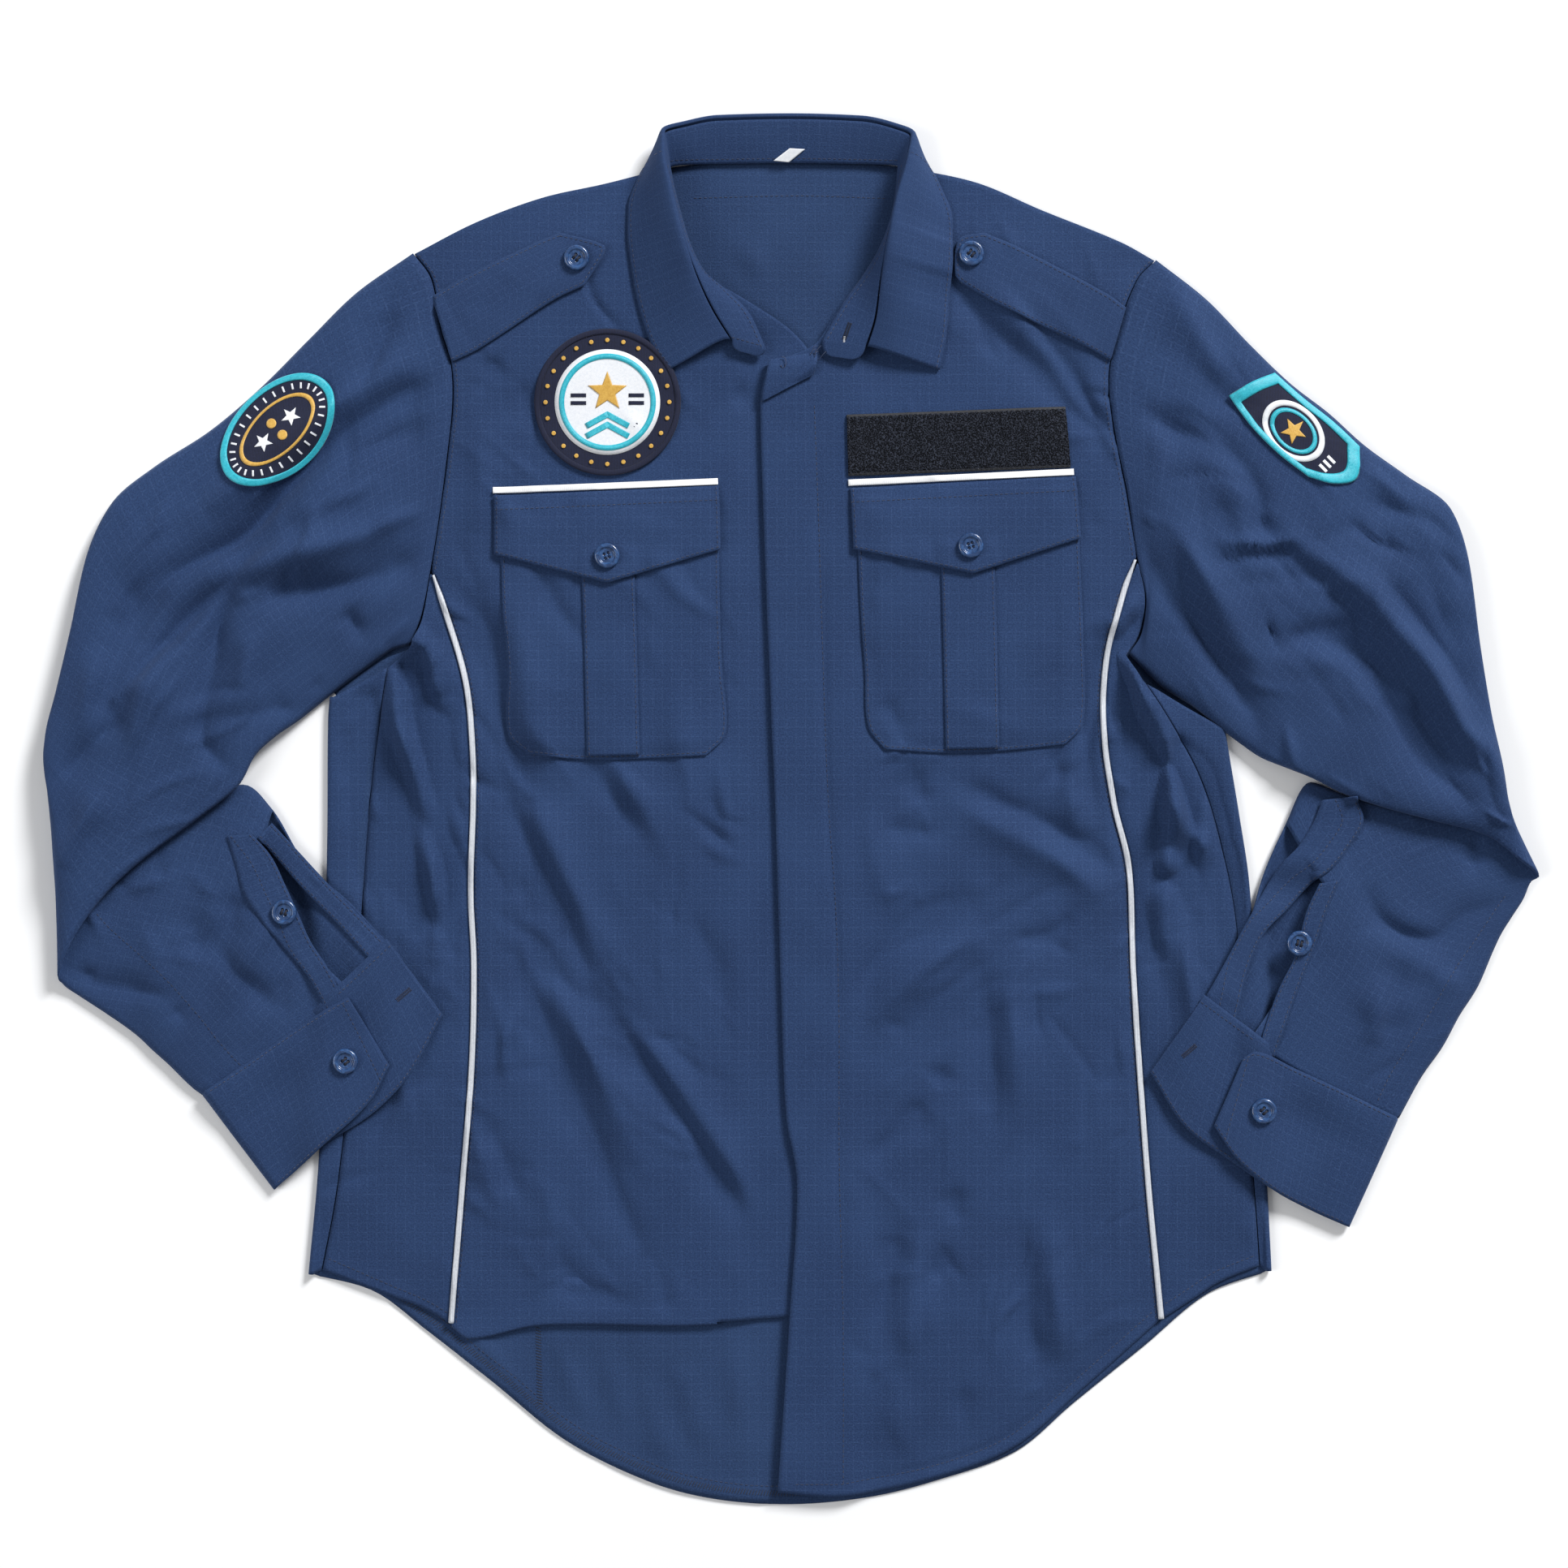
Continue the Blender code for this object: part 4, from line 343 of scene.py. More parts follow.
# Sleeve rows, each ax, ay (outer side), mx, my (middle), bx, by (lower side),
# height of outer wall, height of inner wall, lift of the side
SLEEVE_LEFT = [
    (-222.0, 326.0, -199.0, 235.0, -224.0, 97.5, 5.6, 0.6, 0.0),
    (-255.5, 302.5, -228.5, 201.0, -233.5, 94.0, 10.5, 0.6, 0.0),
    (-282.5, 276.0, -257.0, 183.5, -243.0, 87.8, 13.5, 0.6, 0.0),
    (-312.0, 246.5, -282.0, 163.0, -253.0, 80.6, 15.0, 0.6, 0.0),
    (-341.5, 221.5, -308.5, 141.5, -265.5, 71.2, 15.5, 0.6, 0.0),
    (-374.5, 200.0, -334.5, 125.0, -279.0, 60.5, 16.0, 1.2, 0.0),
    (-398.0, 180.0, -353.5, 110.5, -289.5, 52.0, 16.5, 2.8, 0.0),
    (-412.5, 149.5, -368.0, 91.5, -303.5, 42.0, 17.5, 5.8, 0.0),
    (-421.5, 106.0, -377.5, 70.0, -314.5, 31.0, 18.5, 9.2, 0.0),
    (-430.0, 69.5, -387.0, 43.5, -323.0, 15.0, 19.0, 9.6, 0.0),
    (-436.4, 43.5, -401.5, 17.0, -349.0, -6.5, 19.0, 9.6, 0.0),
    (-437.6, 30.5, -413.5, -2.0, -375.0, -25.5, 18.5, 9.6, 0.0),
    (-437.0, 23.0, -424.0, -18.5, -401.5, -49.5, 18.0, 9.6, 0.0),
    (-435.0, 18.5, -429.0, -33.0, -420.5, -76.0, 15.5, 9.4, 5.0),
    (-436.3, 13.0, -431.5, -41.0, -430.0, -99.0, 9.2, 8.2, 5.5),
    (-435.0, 9.0, -429.0, -47.0, -428.0, -103.0, 2.6, 7.0, 5.5),
    (-416.0, 5.0, -416.0, -52.0, -419.0, -109.5, 0.6, 6.8, 0.0),
    (-380.0, 3.0, -394.5, -58.0, -409.0, -116.0, 0.6, 6.8, 0.0),
    (-346.5, 8.0, -370.5, -63.0, -394.0, -126.0, 0.6, 7.4, 0.0),
    (-322.5, 13.5, -351.5, -67.0, -384.0, -133.5, 0.6, 8.8, 0.0),
    (-305.0, -1.5, -334.5, -81.0, -375.0, -142.0, 0.6, 10.5, 0.0),
    (-286.5, -31.5, -318.0, -97.5, -365.5, -150.5, 0.6, 11.0, 0.0),
    (-258.0, -56.0, -301.0, -115.5, -356.0, -160.0, 0.6, 10.0, 0.0),
    (-243.0, -72.0, -294.0, -121.5, -351.0, -164.5, 0.6, 9.0, 0.0),
    (-227.5, -88.0, -287.0, -127.0, -345.5, -168.5, 0.6, 8.0, 0.0),
]
SLEEVE_RIGHT = [
    (214.0, 322.0, 187.0, 235.0, 198.5, 92.5, 5.6, 0.6, 0.0),
    (244.0, 298.5, 222.5, 194.0, 206.5, 82.8, 10.5, 0.6, 0.0),
    (269.5, 272.0, 246.0, 175.0, 218.0, 71.6, 13.5, 0.6, 0.0),
    (293.5, 249.0, 267.5, 158.0, 236.0, 60.4, 15.0, 0.6, 0.0),
    (315.5, 232.0, 289.0, 141.5, 252.0, 47.6, 15.5, 0.6, 0.0),
    (336.5, 213.0, 310.5, 122.5, 264.0, 38.5, 16.0, 1.2, 0.0),
    (361.0, 195.0, 330.0, 105.5, 276.5, 30.0, 16.5, 2.8, 0.0),
    (386.0, 176.0, 346.5, 91.5, 291.0, 24.0, 17.5, 5.8, 0.0),
    (396.0, 146.5, 358.5, 72.0, 304.5, 18.5, 18.5, 9.2, 0.0),
    (403.0, 95.0, 373.0, 50.5, 322.5, 9.5, 19.0, 9.6, 0.0),
    (409.5, 55.5, 389.5, 24.5, 347.0, 1.0, 19.0, 9.6, 0.0),
    (416.5, 22.0, 404.0, 5.5, 375.0, -6.5, 18.5, 9.6, 0.0),
    (418.8, 6.0, 416.5, -5.5, 406.5, -15.0, 17.0, 9.6, 0.0),
    (420.0, 0.0, 424.0, -15.0, 428.0, -31.0, 15.0, 9.4, 5.0),
    (421.5, -6.5, 429.0, -21.0, 438.3, -39.5, 9.2, 8.2, 5.5),
    (419.0, -11.5, 425.0, -28.0, 434.5, -43.0, 2.6, 7.0, 5.5),
    (389.5, -9.0, 401.5, -36.0, 430.0, -53.0, 0.6, 6.8, 0.0),
    (351.5, 0.0, 377.5, -42.0, 423.0, -64.0, 0.6, 6.8, 0.0),
    (322.5, 8.5, 361.0, -50.0, 417.0, -73.5, 0.6, 7.4, 0.0),
    (305.5, 15.0, 349.0, -59.5, 412.5, -83.0, 0.6, 8.8, 0.0),
    (291.0, -9.5, 342.0, -78.5, 403.0, -105.0, 0.6, 10.5, 0.0),
    (279.5, -34.5, 332.0, -100.0, 392.5, -121.5, 0.6, 11.0, 0.0),
    (267.5, -69.0, 320.0, -119.0, 382.5, -140.0, 0.6, 10.5, 0.0),
    (256.5, -88.0, 309.0, -138.0, 370.5, -157.0, 0.6, 9.5, 0.0),
    (241.5, -112.5, 299.0, -151.5, 357.0, -181.5, 0.6, 8.0, 0.0),
]
SLIT_ROW = 20          # first sleeve row whose upper wall is slit
SLIT_ACROSS = 0.25     # how far across the sleeve the slit's edge lies
FOLD_ROWS = (13, 16)   # rows between which the sleeve turns back under itself
SEATED_FROM = 18       # first row that rests on the body where it meets it

# Cuff stations, each x, y at the sleeve, x, y at the hem, layer (1 on top, 0 below)
CUFF_LEFT = [
    (-258.5, -112.0, -235.5, -150.5, 1), (-267.5, -116.5, -246.0, -170.5, 1),
    (-294.0, -133.5, -275.0, -198.0, 1), (-322.5, -153.5, -294.0, -215.5, 1),
    (-341.5, -166.0, -301.0, -221.5, 1), (-345.5, -168.5, -303.5, -224.0, 0.5),
    (-341.5, -166.0, -301.0, -221.5, 0), (-322.5, -153.5, -294.0, -215.5, 0),
    (-294.0, -131.5, -275.0, -198.0, 0), (-266.0, -106.0, -247.0, -180.0, 0),
    (-249.0, -90.0, -225.0, -158.0, 0), (-236.0, -77.5, -204.5, -121.0, 0),
]
CUFF_RIGHT = [
    (264.0, -148.0, 247.5, -186.0, 1), (272.0, -144.0, 261.5, -206.0, 1),
    (297.0, -155.0, 284.5, -225.0, 1), (323.0, -167.0, 306.0, -236.5, 1),
    (351.5, -181.0, 324.0, -244.5, 1), (356.0, -183.0, 327.5, -246.0, 0.5),
    (351.5, -181.0, 324.0, -244.5, 0), (323.0, -167.0, 306.0, -236.5, 0),
    (297.0, -152.0, 284.5, -225.0, 0), (271.0, -132.5, 258.0, -207.0, 0),
    (254.0, -120.0, 231.0, -187.0, 0), (241.0, -110.5, 210.5, -155.0, 0),
]
CUFF_SEAM_GAP = 0.4
CUFF_OVERLAP = 2.0     # how far the cuff's upper layer laps over the sleeve's end
CUFF_LIFT = 4.6        # from the cuff's lower layer to its upper one
FOREARM_SEAM_LEFT = [(-408.0, -61.5), (-399.5, -71.0), (-371.5, -95.5), (-348.5, -120.5), (-334.0, -139.0),
                     (-323.0, -151.0)]
FOREARM_SEAM_RIGHT = [(419.5, -51.0), (401.0, -78.0), (386.0, -99.0), (376.0, -117.5), (364.0, -136.0),
                      (351.0, -157.0), (344.0, -172.0)]
BUTTONHOLES = {
    Side.LEFT: {"cuff": ((-231.0, -112.5), (-223.0, -105.5))},
    Side.RIGHT: {"cuff": ((229.0, -145.5), (237.0, -138.5))},
}
"""Ends of the buttonholes in the cuffs' lower layers."""

CUFF_BUTTONS = {Side.LEFT: (-261.0, -148.0), Side.RIGHT: (276.5, -177.0)}

# Collar stations, each seam x, y, z, fold x, y, z, leaf edge x, y, drop of the leaf's middle
COLLAR = [
    (-15.0, 269.5, 8.2, -34.5, 274.5, 11.0, -72.0, 257.5, 5.0),
    (-25.0, 290.5, 8.0, -45.5, 292.0, 14.5, -82.0, 272.5, 6.0),
    (-38.0, 303.5, 7.4, -54.0, 309.0, 18.0, -90.0, 297.0, 8.0),
    (-51.0, 314.5, 7.0, -60.0, 324.0, 21.0, -94.0, 319.0, 8.0),
    (-59.5, 330.5, 6.8, -65.5, 342.0, 22.0, -96.0, 337.5, 8.0),
    (-65.5, 350.0, 6.6, -70.5, 363.5, 21.0, -95.5, 354.0, 7.0),
    (-69.5, 366.0, 6.2, -74.0, 380.5, 18.5, -91.5, 366.0, 6.0),
    (-71.5, 376.5, 5.4, -74.5, 394.5, 13.5, -84.0, 378.5, 3.0),
    (-61.0, 378.5, 4.0, -62.0, 399.5, 10.5, -66.0, 383.5, 0.0),
    (-43.0, 379.0, 3.2, -43.0, 403.3, 9.0, -43.0, 384.0, 0.0),
    (0.0, 379.5, 3.2, 0.0, 404.3, 9.0, 0.0, 384.5, 0.0),
    (38.5, 379.0, 3.2, 40.5, 403.0, 9.0, 39.5, 384.0, 0.0),
    (54.5, 378.5, 4.0, 61.5, 398.0, 10.5, 57.5, 383.0, 0.0),
    (63.0, 377.0, 5.4, 70.0, 393.0, 13.5, 78.5, 378.0, 3.0),
    (62.0, 364.0, 6.2, 67.5, 378.0, 18.5, 88.0, 364.0, 6.0),
    (59.0, 347.0, 6.6, 61.5, 356.0, 21.0, 94.5, 345.0, 7.0),
    (52.0, 328.5, 7.2, 56.0, 330.5, 22.0, 94.5, 323.0, 8.0),
    (42.0, 312.0, 7.8, 52.0, 309.0, 20.0, 92.5, 299.0, 8.0),
    (31.5, 297.5, 8.6, 49.0, 288.5, 16.0, 91.0, 278.0, 6.0),
    (18.5, 275.0, 9.4, 43.5, 271.0, 12.0, 87.0, 257.5, 5.0),
]
LEAF_GAP = 1.4
NECK_TAG = [(-10.5, 380.5), (-1.0, 387.5), (8.0, 387.0), (-1.5, 379.6)]


@dataclass(frozen=True)
class PocketPlan:
    """Where a chest pocket and what lies on it are, in plan."""

    top: Line
    left: Line
    right: Line
    bottom: Line
    pleat: Line
    pleat_width: float
    flap_top: Line
    flap_left: Line
    flap_right: Line
    flap_point: Point
    button: Point
    strip: Line


POCKETS = {
    Side.LEFT: PocketPlan(
        top=[(-171.0, 176.0), (-106.0, 179.0), (-42.5, 182.0)],
        left=[(-171.0, 176.0), (-169.5, 118.0), (-166.5, 82.0), (-166.5, 44.0), (-154.0, 31.5)],
        right=[(-42.5, 182.0), (-42.0, 118.0), (-40.5, 82.0), (-38.5, 44.0), (-50.0, 31.0)],
        bottom=[(-154.0, 31.5), (-120.0, 28.5), (-90.0, 29.0), (-50.0, 31.0)],
        pleat=[(-123.5, 150.0), (-121.5, 91.0), (-120.0, 30.5)],
        pleat_width=31.0,
        flap_top=[(-174.5, 183.5), (-108.0, 186.5), (-42.5, 189.5)],
        flap_left=[(-174.5, 183.5), (-174.5, 149.0)],
        flap_right=[(-42.5, 189.5), (-41.5, 152.0)],
        flap_point=(-108.0, 132.0),
        button=(-108.0, 148.0),
        strip=[(-175.0, 184.8), (-109.0, 187.5), (-43.0, 190.2)],
    ),
    Side.RIGHT: PocketPlan(
        top=[(38.0, 181.0), (103.0, 184.5), (168.0, 188.0)],
        left=[(38.0, 181.0), (40.5, 118.0), (43.0, 82.0), (45.0, 48.0), (55.0, 34.5)],
        right=[(168.0, 188.0), (170.5, 127.0), (171.5, 100.0), (171.5, 50.0), (161.0, 37.5)],
        bottom=[(55.0, 34.5), (90.0, 32.5), (123.0, 33.5), (161.0, 37.5)],
        pleat=[(87.5, 154.0), (89.0, 100.0), (90.5, 34.5)],
        pleat_width=31.5,
        flap_top=[(34.5, 188.0), (100.0, 191.5), (167.0, 195.0)],
        flap_left=[(34.5, 188.0), (36.5, 152.0)],
        flap_right=[(167.0, 195.0), (170.0, 158.5)],
        flap_point=(106.5, 137.5),
        button=(105.0, 154.0),
        strip=[(33.5, 189.3), (99.8, 192.6), (166.0, 195.8)],
    ),
}
STRIP_WIDTH = 3.6


@dataclass(frozen=True)
class StrapPlan:
    """A shoulder strap in plan: its two long edges, its pointed end and its button."""

    top: Line
    bottom: Line
    tip: Line
    button: Point


STRAPS = {
    Side.LEFT: StrapPlan(
        top=[(-211.0, 300.5), (-191.0, 312.5), (-152.5, 331.0), (-136.0, 338.0)],
        bottom=[(-199.5, 262.0), (-183.0, 270.0), (-140.0, 298.0), (-121.5, 307.0)],
        tip=[(-136.0, 338.0), (-110.0, 330.5), (-110.0, 325.0), (-121.5, 307.0)],
        button=(-126.0, 323.0),
    ),
    Side.RIGHT: StrapPlan(
        top=[(196.5, 294.0), (185.5, 302.0), (134.0, 329.0), (113.0, 338.0)],
        bottom=[(187.5, 263.0), (170.0, 272.5), (121.5, 295.5), (100.0, 308.5)],
        tip=[(113.0, 338.0), (98.5, 334.0), (96.0, 313.5), (100.0, 308.5)],
        button=(105.5, 325.5),
    ),
}

HOOK_STRIP = [(32.5, 231.0), (161.0, 236.0), (164.0, 200.2), (33.5, 195.0)]
CHEST_BADGE = (-108.0, 238.5, 43.0, 43.0, 0.0)             # x, y, half length, half width, turn
OVAL_BADGE = (-300.5, 221.5, 40.0, 25.5, math.radians(45.0))
SHIELD = {
    "top": [(256.5, 242.0), (270.0, 250.0), (283.5, 255.5)],
    "right": [(283.5, 255.5), (301.0, 240.0), (318.0, 226.5), (333.0, 212.0)],
    "left": [(256.5, 242.0), (269.5, 223.5), (284.5, 208.0), (302.5, 194.0)],
    "bottom": [(302.5, 194.0), (317.0, 190.0), (331.0, 193.0), (333.0, 212.0)],
}


@dataclass(frozen=True)
class PlacketPlan:
    """Both strips of a sleeve's slit, each by its free edge and its sewn edge, and the button."""

    over: Line
    over_sewn: Line
    under: Line
    under_sewn: Line
    button: Point


PLACKETS = {
    Side.LEFT: PlacketPlan(
        over=[(-316.5, -15.0), (-305.0, -28.0), (-296.5, -45.0), (-289.0, -61.0), (-281.5, -78.0),
              (-270.5, -95.0), (-261.0, -115.0)],
        over_sewn=[(-331.0, -16.0), (-326.0, -33.0), (-321.0, -50.0), (-310.0, -66.0), (-297.0, -82.0),
                   (-283.0, -99.0), (-271.0, -121.0)],
        under=[(-313.0, -17.0), (-298.0, -35.0), (-281.0, -53.0), (-262.0, -72.0), (-244.0, -91.5)],
        under_sewn=[(-305.0, -8.5), (-289.0, -26.0), (-272.0, -44.0), (-254.5, -61.5), (-235.0, -81.5)],
        button=(-296.8, -60.7),
    ),
    Side.RIGHT: PlacketPlan(
        over=[(309.5, -44.0), (302.0, -60.0), (294.5, -88.0), (286.5, -104.0), (279.0, -124.0),
              (271.0, -149.0)],
        over_sewn=[(321.5, -42.0), (315.0, -57.0), (307.0, -80.0), (299.0, -101.0), (291.5, -121.0),
                   (283.5, -146.0)],
        under=[(331.0, 7.0), (335.5, -7.5), (326.0, -24.0), (317.0, -35.0), (306.0, -43.5), (292.0, -58.5),
               (277.5, -73.5), (267.5, -95.0), (260.0, -127.0)],
        under_sewn=[(311.5, 5.0), (305.5, -9.5), (297.5, -22.0), (289.0, -31.0), (281.5, -42.0),
                    (273.5, -55.5), (264.5, -71.5), (254.5, -90.0), (242.0, -112.0)],
        button=(297.5, -79.0),
    ),
}


def linear_colour(code: str) -> tuple[float, float, float, float]:
    """Turn an sRGB hex colour into the linear values that a shader takes.

    Args:
        code: six hex digits after a hash.

    Returns:
        Linear red, green, blue and an alpha of 1.
    """
    values = [int(code[i:i + 2], 16) / 255 for i in (1, 3, 5)]
    linear = [v / 12.92 if v <= 0.04045 else ((v + 0.055) / 1.055) ** 2.4 for v in values]
    return (*linear, 1.0)


def ramp(value: np.ndarray, low: float, high: float) -> np.ndarray:
    """Rise smoothly from 0 at low to 1 at high."""
    t = np.clip((value - low) / (high - low), 0.0, 1.0)
    return t * t * (3 - 2 * t)


def steady_curve(knots: np.ndarray, at: np.ndarray, want: np.ndarray) -> np.ndarray:
    """Cubic curve through rows of values that never swings past them.

    Args:
        knots: one row of values for each place in at.
        at: rising places of the rows.
        want: places to read.

    Returns:
        One row of values for each place in want.
    """
    step = np.diff(at)
    shape = (-1,) + (1,) * (knots.ndim - 1)
    slope = np.diff(knots, axis=0) / step.reshape(shape)
    both = slope[:-1] * slope[1:]
    total = slope[:-1] + slope[1:]
    tangent = np.zeros_like(knots)
    tangent[1:-1] = np.where(both > 0, 2 * both / np.where(total == 0, 1.0, total), 0.0)
    tangent[0] = slope[0]
    tangent[-1] = slope[-1]
    i = np.clip(np.searchsorted(at, want, side="right") - 1, 0, len(at) - 2)
    t = ((want - at[i]) / step[i]).reshape(shape)
    h = step[i].reshape(shape)
    return (knots[i] * (2 * t**3 - 3 * t**2 + 1) + tangent[i] * h * (t**3 - 2 * t**2 + t)
            + knots[i + 1] * (3 * t**2 - 2 * t**3) + tangent[i + 1] * h * (t**3 - t**2))


def smooth_line(points: Line, count: int) -> np.ndarray:
    """Points evenly spread by length on a smooth curve through the given ones.

    Args:
        points: places the curve passes, in plan or in space.
        count: how many points to return.

    Returns:
        Array of count rows x, y, z.
    """
    knots = np.array([(p[0], p[1], p[2] if len(p) > 2 else 0.0) for p in points], dtype=float)
    spans = np.maximum(np.linalg.norm(np.diff(knots, axis=0), axis=1), 1e-6)
    slopes = np.diff(knots, axis=0) / spans[:, None]
    tangents = np.empty_like(knots)
    tangents[0] = slopes[0]
    tangents[-1] = slopes[-1]
    weight = (spans[:-1] + spans[1:])[:, None]
    tangents[1:-1] = (slopes[:-1] * spans[:-1, None] + slopes[1:] * spans[1:, None]) / weight
    t = np.linspace(0.0, 1.0, 24, endpoint=False)[:, None]
    pieces = [knots[i] * (2 * t**3 - 3 * t**2 + 1) + tangents[i] * spans[i] * (t**3 - 2 * t**2 + t)
              + knots[i + 1] * (3 * t**2 - 2 * t**3) + tangents[i + 1] * spans[i] * (t**3 - t**2)
              for i in range(len(spans))]
    dense = np.vstack(pieces + [knots[-1:]])
    return resample(dense, count)


def resample(dense: np.ndarray, count: int) -> np.ndarray:
    """Spread count points evenly along a run of points.

    Args:
        dense: points along the run.
        count: how many points to return.

    Returns:
        The spread points.
    """
    lengths = np.concatenate([[0.0], np.cumsum(np.linalg.norm(np.diff(dense, axis=0), axis=1))])
    want = np.linspace(0.0, lengths[-1], count)
    return np.stack([np.interp(want, lengths, dense[:, k]) for k in range(dense.shape[1])], axis=1)


def length_of(points: Line) -> float:
    """Length of a smooth curve through the points."""
    return float(np.linalg.norm(np.diff(smooth_line(points, 60), axis=0), axis=1).sum())


def shifted(points: Line, dx: float, dy: float = 0.0) -> Line:
    """Move a plan curve sideways, for the gap along a seam."""
    return [(p[0] + dx, p[1] + dy) for p in points]


def patch(top: Line, bottom: Line, left: Line, right: Line, columns: int, rows: int) -> np.ndarray:
    """Fill four edge curves with a grid of plan points.

    Args:
        top: edge from left to right.
        bottom: edge from left to right.
        left: edge from top to bottom.
        right: edge from top to bottom.
        columns: cells across.
        rows: cells down.

    Returns:
        Array of rows + 1 by columns + 1 points.
    """
    above = smooth_line(top, columns + 1)[None]
    below = smooth_line(bottom, columns + 1)[None]
    start = smooth_line(left, rows + 1)[:, None]
    end = smooth_line(right, rows + 1)[:, None]
    v = evenly(rows)[:, None, None]
    u = evenly(columns)[None, :, None]
    corners = ((above[:, :1] * (1 - u) + above[:, -1:] * u) * (1 - v)
               + (below[:, :1] * (1 - u) + below[:, -1:] * u) * v)
    return above * (1 - v) + below * v + start * (1 - u) + end * u - corners


def relief(x: np.ndarray, y: np.ndarray, table: list[Crease]) -> np.ndarray:
    """Sum of the creases at each place.

    Args:
        x: places in plan.
        y: places in plan.
        table: the creases.

    Returns:
        Height to add, in the shape of x.
    """
    flat_x = x.ravel()
    flat_y = y.ravel()
    total = np.zeros(flat_x.shape)
    for index, crease in enumerate(table):
        path = smooth_line(list(crease.path), max(5, 3 * len(crease.path)))[:, :2]
        reach = 2.3 * crease.width
        low = path.min(axis=0) - reach
        high = path.max(axis=0) + reach
        near = np.flatnonzero((flat_x > low[0]) & (flat_x < high[0]) & (flat_y > low[1]) & (flat_y < high[1]))
        if not near.size:
            continue
        p = np.stack([flat_x[near], flat_y[near]], axis=1)[:, None]
        a = path[None, :-1]
        d = path[None, 1:] - a
        size = np.maximum((d * d).sum(axis=2), 1e-9)
        t = np.clip(((p - a) * d).sum(axis=2) / size, 0.0, 1.0)
        off = p - (a + d * t[..., None])
        distance = np.sqrt((off * off).sum(axis=2))
        best = distance.argmin(axis=1)
        row = np.arange(len(near))
        side = np.sign(d[0, best, 0] * off[row, best, 1] - d[0, best, 1] * off[row, best, 0])
        along = (best + t[row, best]) / (len(path) - 1)
        wander = 1 + 0.22 * np.sin(along * 9.0 + index * 1.7)
        width = crease.width * wander * (1 - 0.45 * crease.lean * side)
        r = distance[row, best] / width
        soft = np.sqrt(r * r + CREASE_ROUND)
        profile = (1 - 0.62 * soft) * np.exp(-1.1 * soft) * np.clip(1 - (r / 2.3) ** 2, 0.0, 1.0) ** 2
        ends = np.clip(np.sin(np.pi * np.clip(along, 0.02, 0.98)), 0.0, 1.0) ** 0.5
        uneven = 1 + 0.25 * np.sin(along * 6.0 + index * 2.3)
        total[near] += DEPTH * crease.height * ends * uneven * profile
    return total.reshape(x.shape)


@dataclass(frozen=True)
class Scatter:
    """Small creases strewn over a zone, round one main direction."""

    zone: tuple[float, float, float, float]
    count: int
    direction: float
    spread: float = 28.0
    length: tuple[float, float] = (14.0, 62.0)
    width: tuple[float, float] = (2.6, 6.0)
    height: float = 0.52

    def creases(self, seed: int) -> list[Crease]:
        """Draw the creases.

        Args:
            seed: which pattern; the same seed gives the same creases on every run.

        Returns:
            The creases.
        """
        draw = np.random.RandomState(seed)
        found = []
        for _ in range(self.count):
            x = draw.uniform(self.zone[0], self.zone[2])
            y = draw.uniform(self.zone[1], self.zone[3])
            angle = math.radians(self.direction + draw.normal(0.0, self.spread))
            length = draw.uniform(*self.length)
            bend = math.radians(draw.normal(0.0, 14.0))
            way = np.array([math.cos(angle), math.sin(angle)])
            turned = np.array([math.cos(angle + bend), math.sin(angle + bend)])
            middle = np.array([x, y])
            path = (tuple(middle - way * length / 2), (x, y), tuple(middle + turned * length / 2))
            found.append(Crease(draw.uniform(*self.width), draw.normal(0.15, 1.0) * self.height,
                                draw.uniform(-0.5, 0.5), path))
        return found


def strewn(seed: int, *zones: Scatter) -> list[Crease]:
    """Small creases of several zones."""
    return [crease for index, zone in enumerate(zones) for crease in zone.creases(seed + index)]


BODY_SMALL = strewn(
    200,
    Scatter((-200, 60, -30, 330), 46, -55.0), Scatter((-205, -140, -30, 70), 62, -62.0),
    Scatter((-215, -290, -40, -120), 46, -38.0), Scatter((60, 190, 190, 340), 26, -50.0),
    Scatter((20, 30, 195, 200), 30, 62.0, height=0.4), Scatter((60, -130, 200, 60), 54, 35.0),
    Scatter((50, -390, 200, -120), 60, 70.0), Scatter((10, -380, 60, 250), 34, 86.0, height=0.34),
    Scatter((-270, -270, -200, 80), 44, 75.0), Scatter((190, -270, 285, 60), 48, -72.0),
)
SLEEVE_SMALL = strewn(
    300,
    Scatter((-400, -60, -215, 250), 90, 42.0, height=0.75), Scatter((-300, 100, -210, 300), 26, 78.0),
    Scatter((205, 60, 400, 270), 80, -42.0, height=0.75),
    Scatter((280, -60, 430, 110), 44, -58.0, height=0.75),
)
FOREARM_SMALL = strewn(
    400,
    Scatter((-420, -180, -290, 0), 30, -52.0, height=0.6), Scatter((300, -190, 430, 0), 30, 52.0, height=0.6),
)


def drift(x: np.ndarray, y: np.ndarray, scale: float, seed: int) -> np.ndarray:
    """Slow uneven rise and fall of about one unit, the same on every run.

    Args:
        x: places in plan.
        y: places in plan.
        scale: size of a swell in millimetres.
        seed: which pattern.

    Returns:
        Values around zero, in the shape of x.
    """
    lattice = np.random.RandomState(seed).normal(0.0, 0.6, (64, 64))
    u = x / scale
    v = y / scale
    i = np.floor(u).astype(int)
    j = np.floor(v).astype(int)
    a = u - i
    b = v - j
    a = a * a * (3 - 2 * a)
    b = b * b * (3 - 2 * b)
    near = lattice[i % 64, j % 64] * (1 - a) + lattice[(i + 1) % 64, j % 64] * a
    far = lattice[i % 64, (j + 1) % 64] * (1 - a) + lattice[(i + 1) % 64, (j + 1) % 64] * a
    return near * (1 - b) + far * b


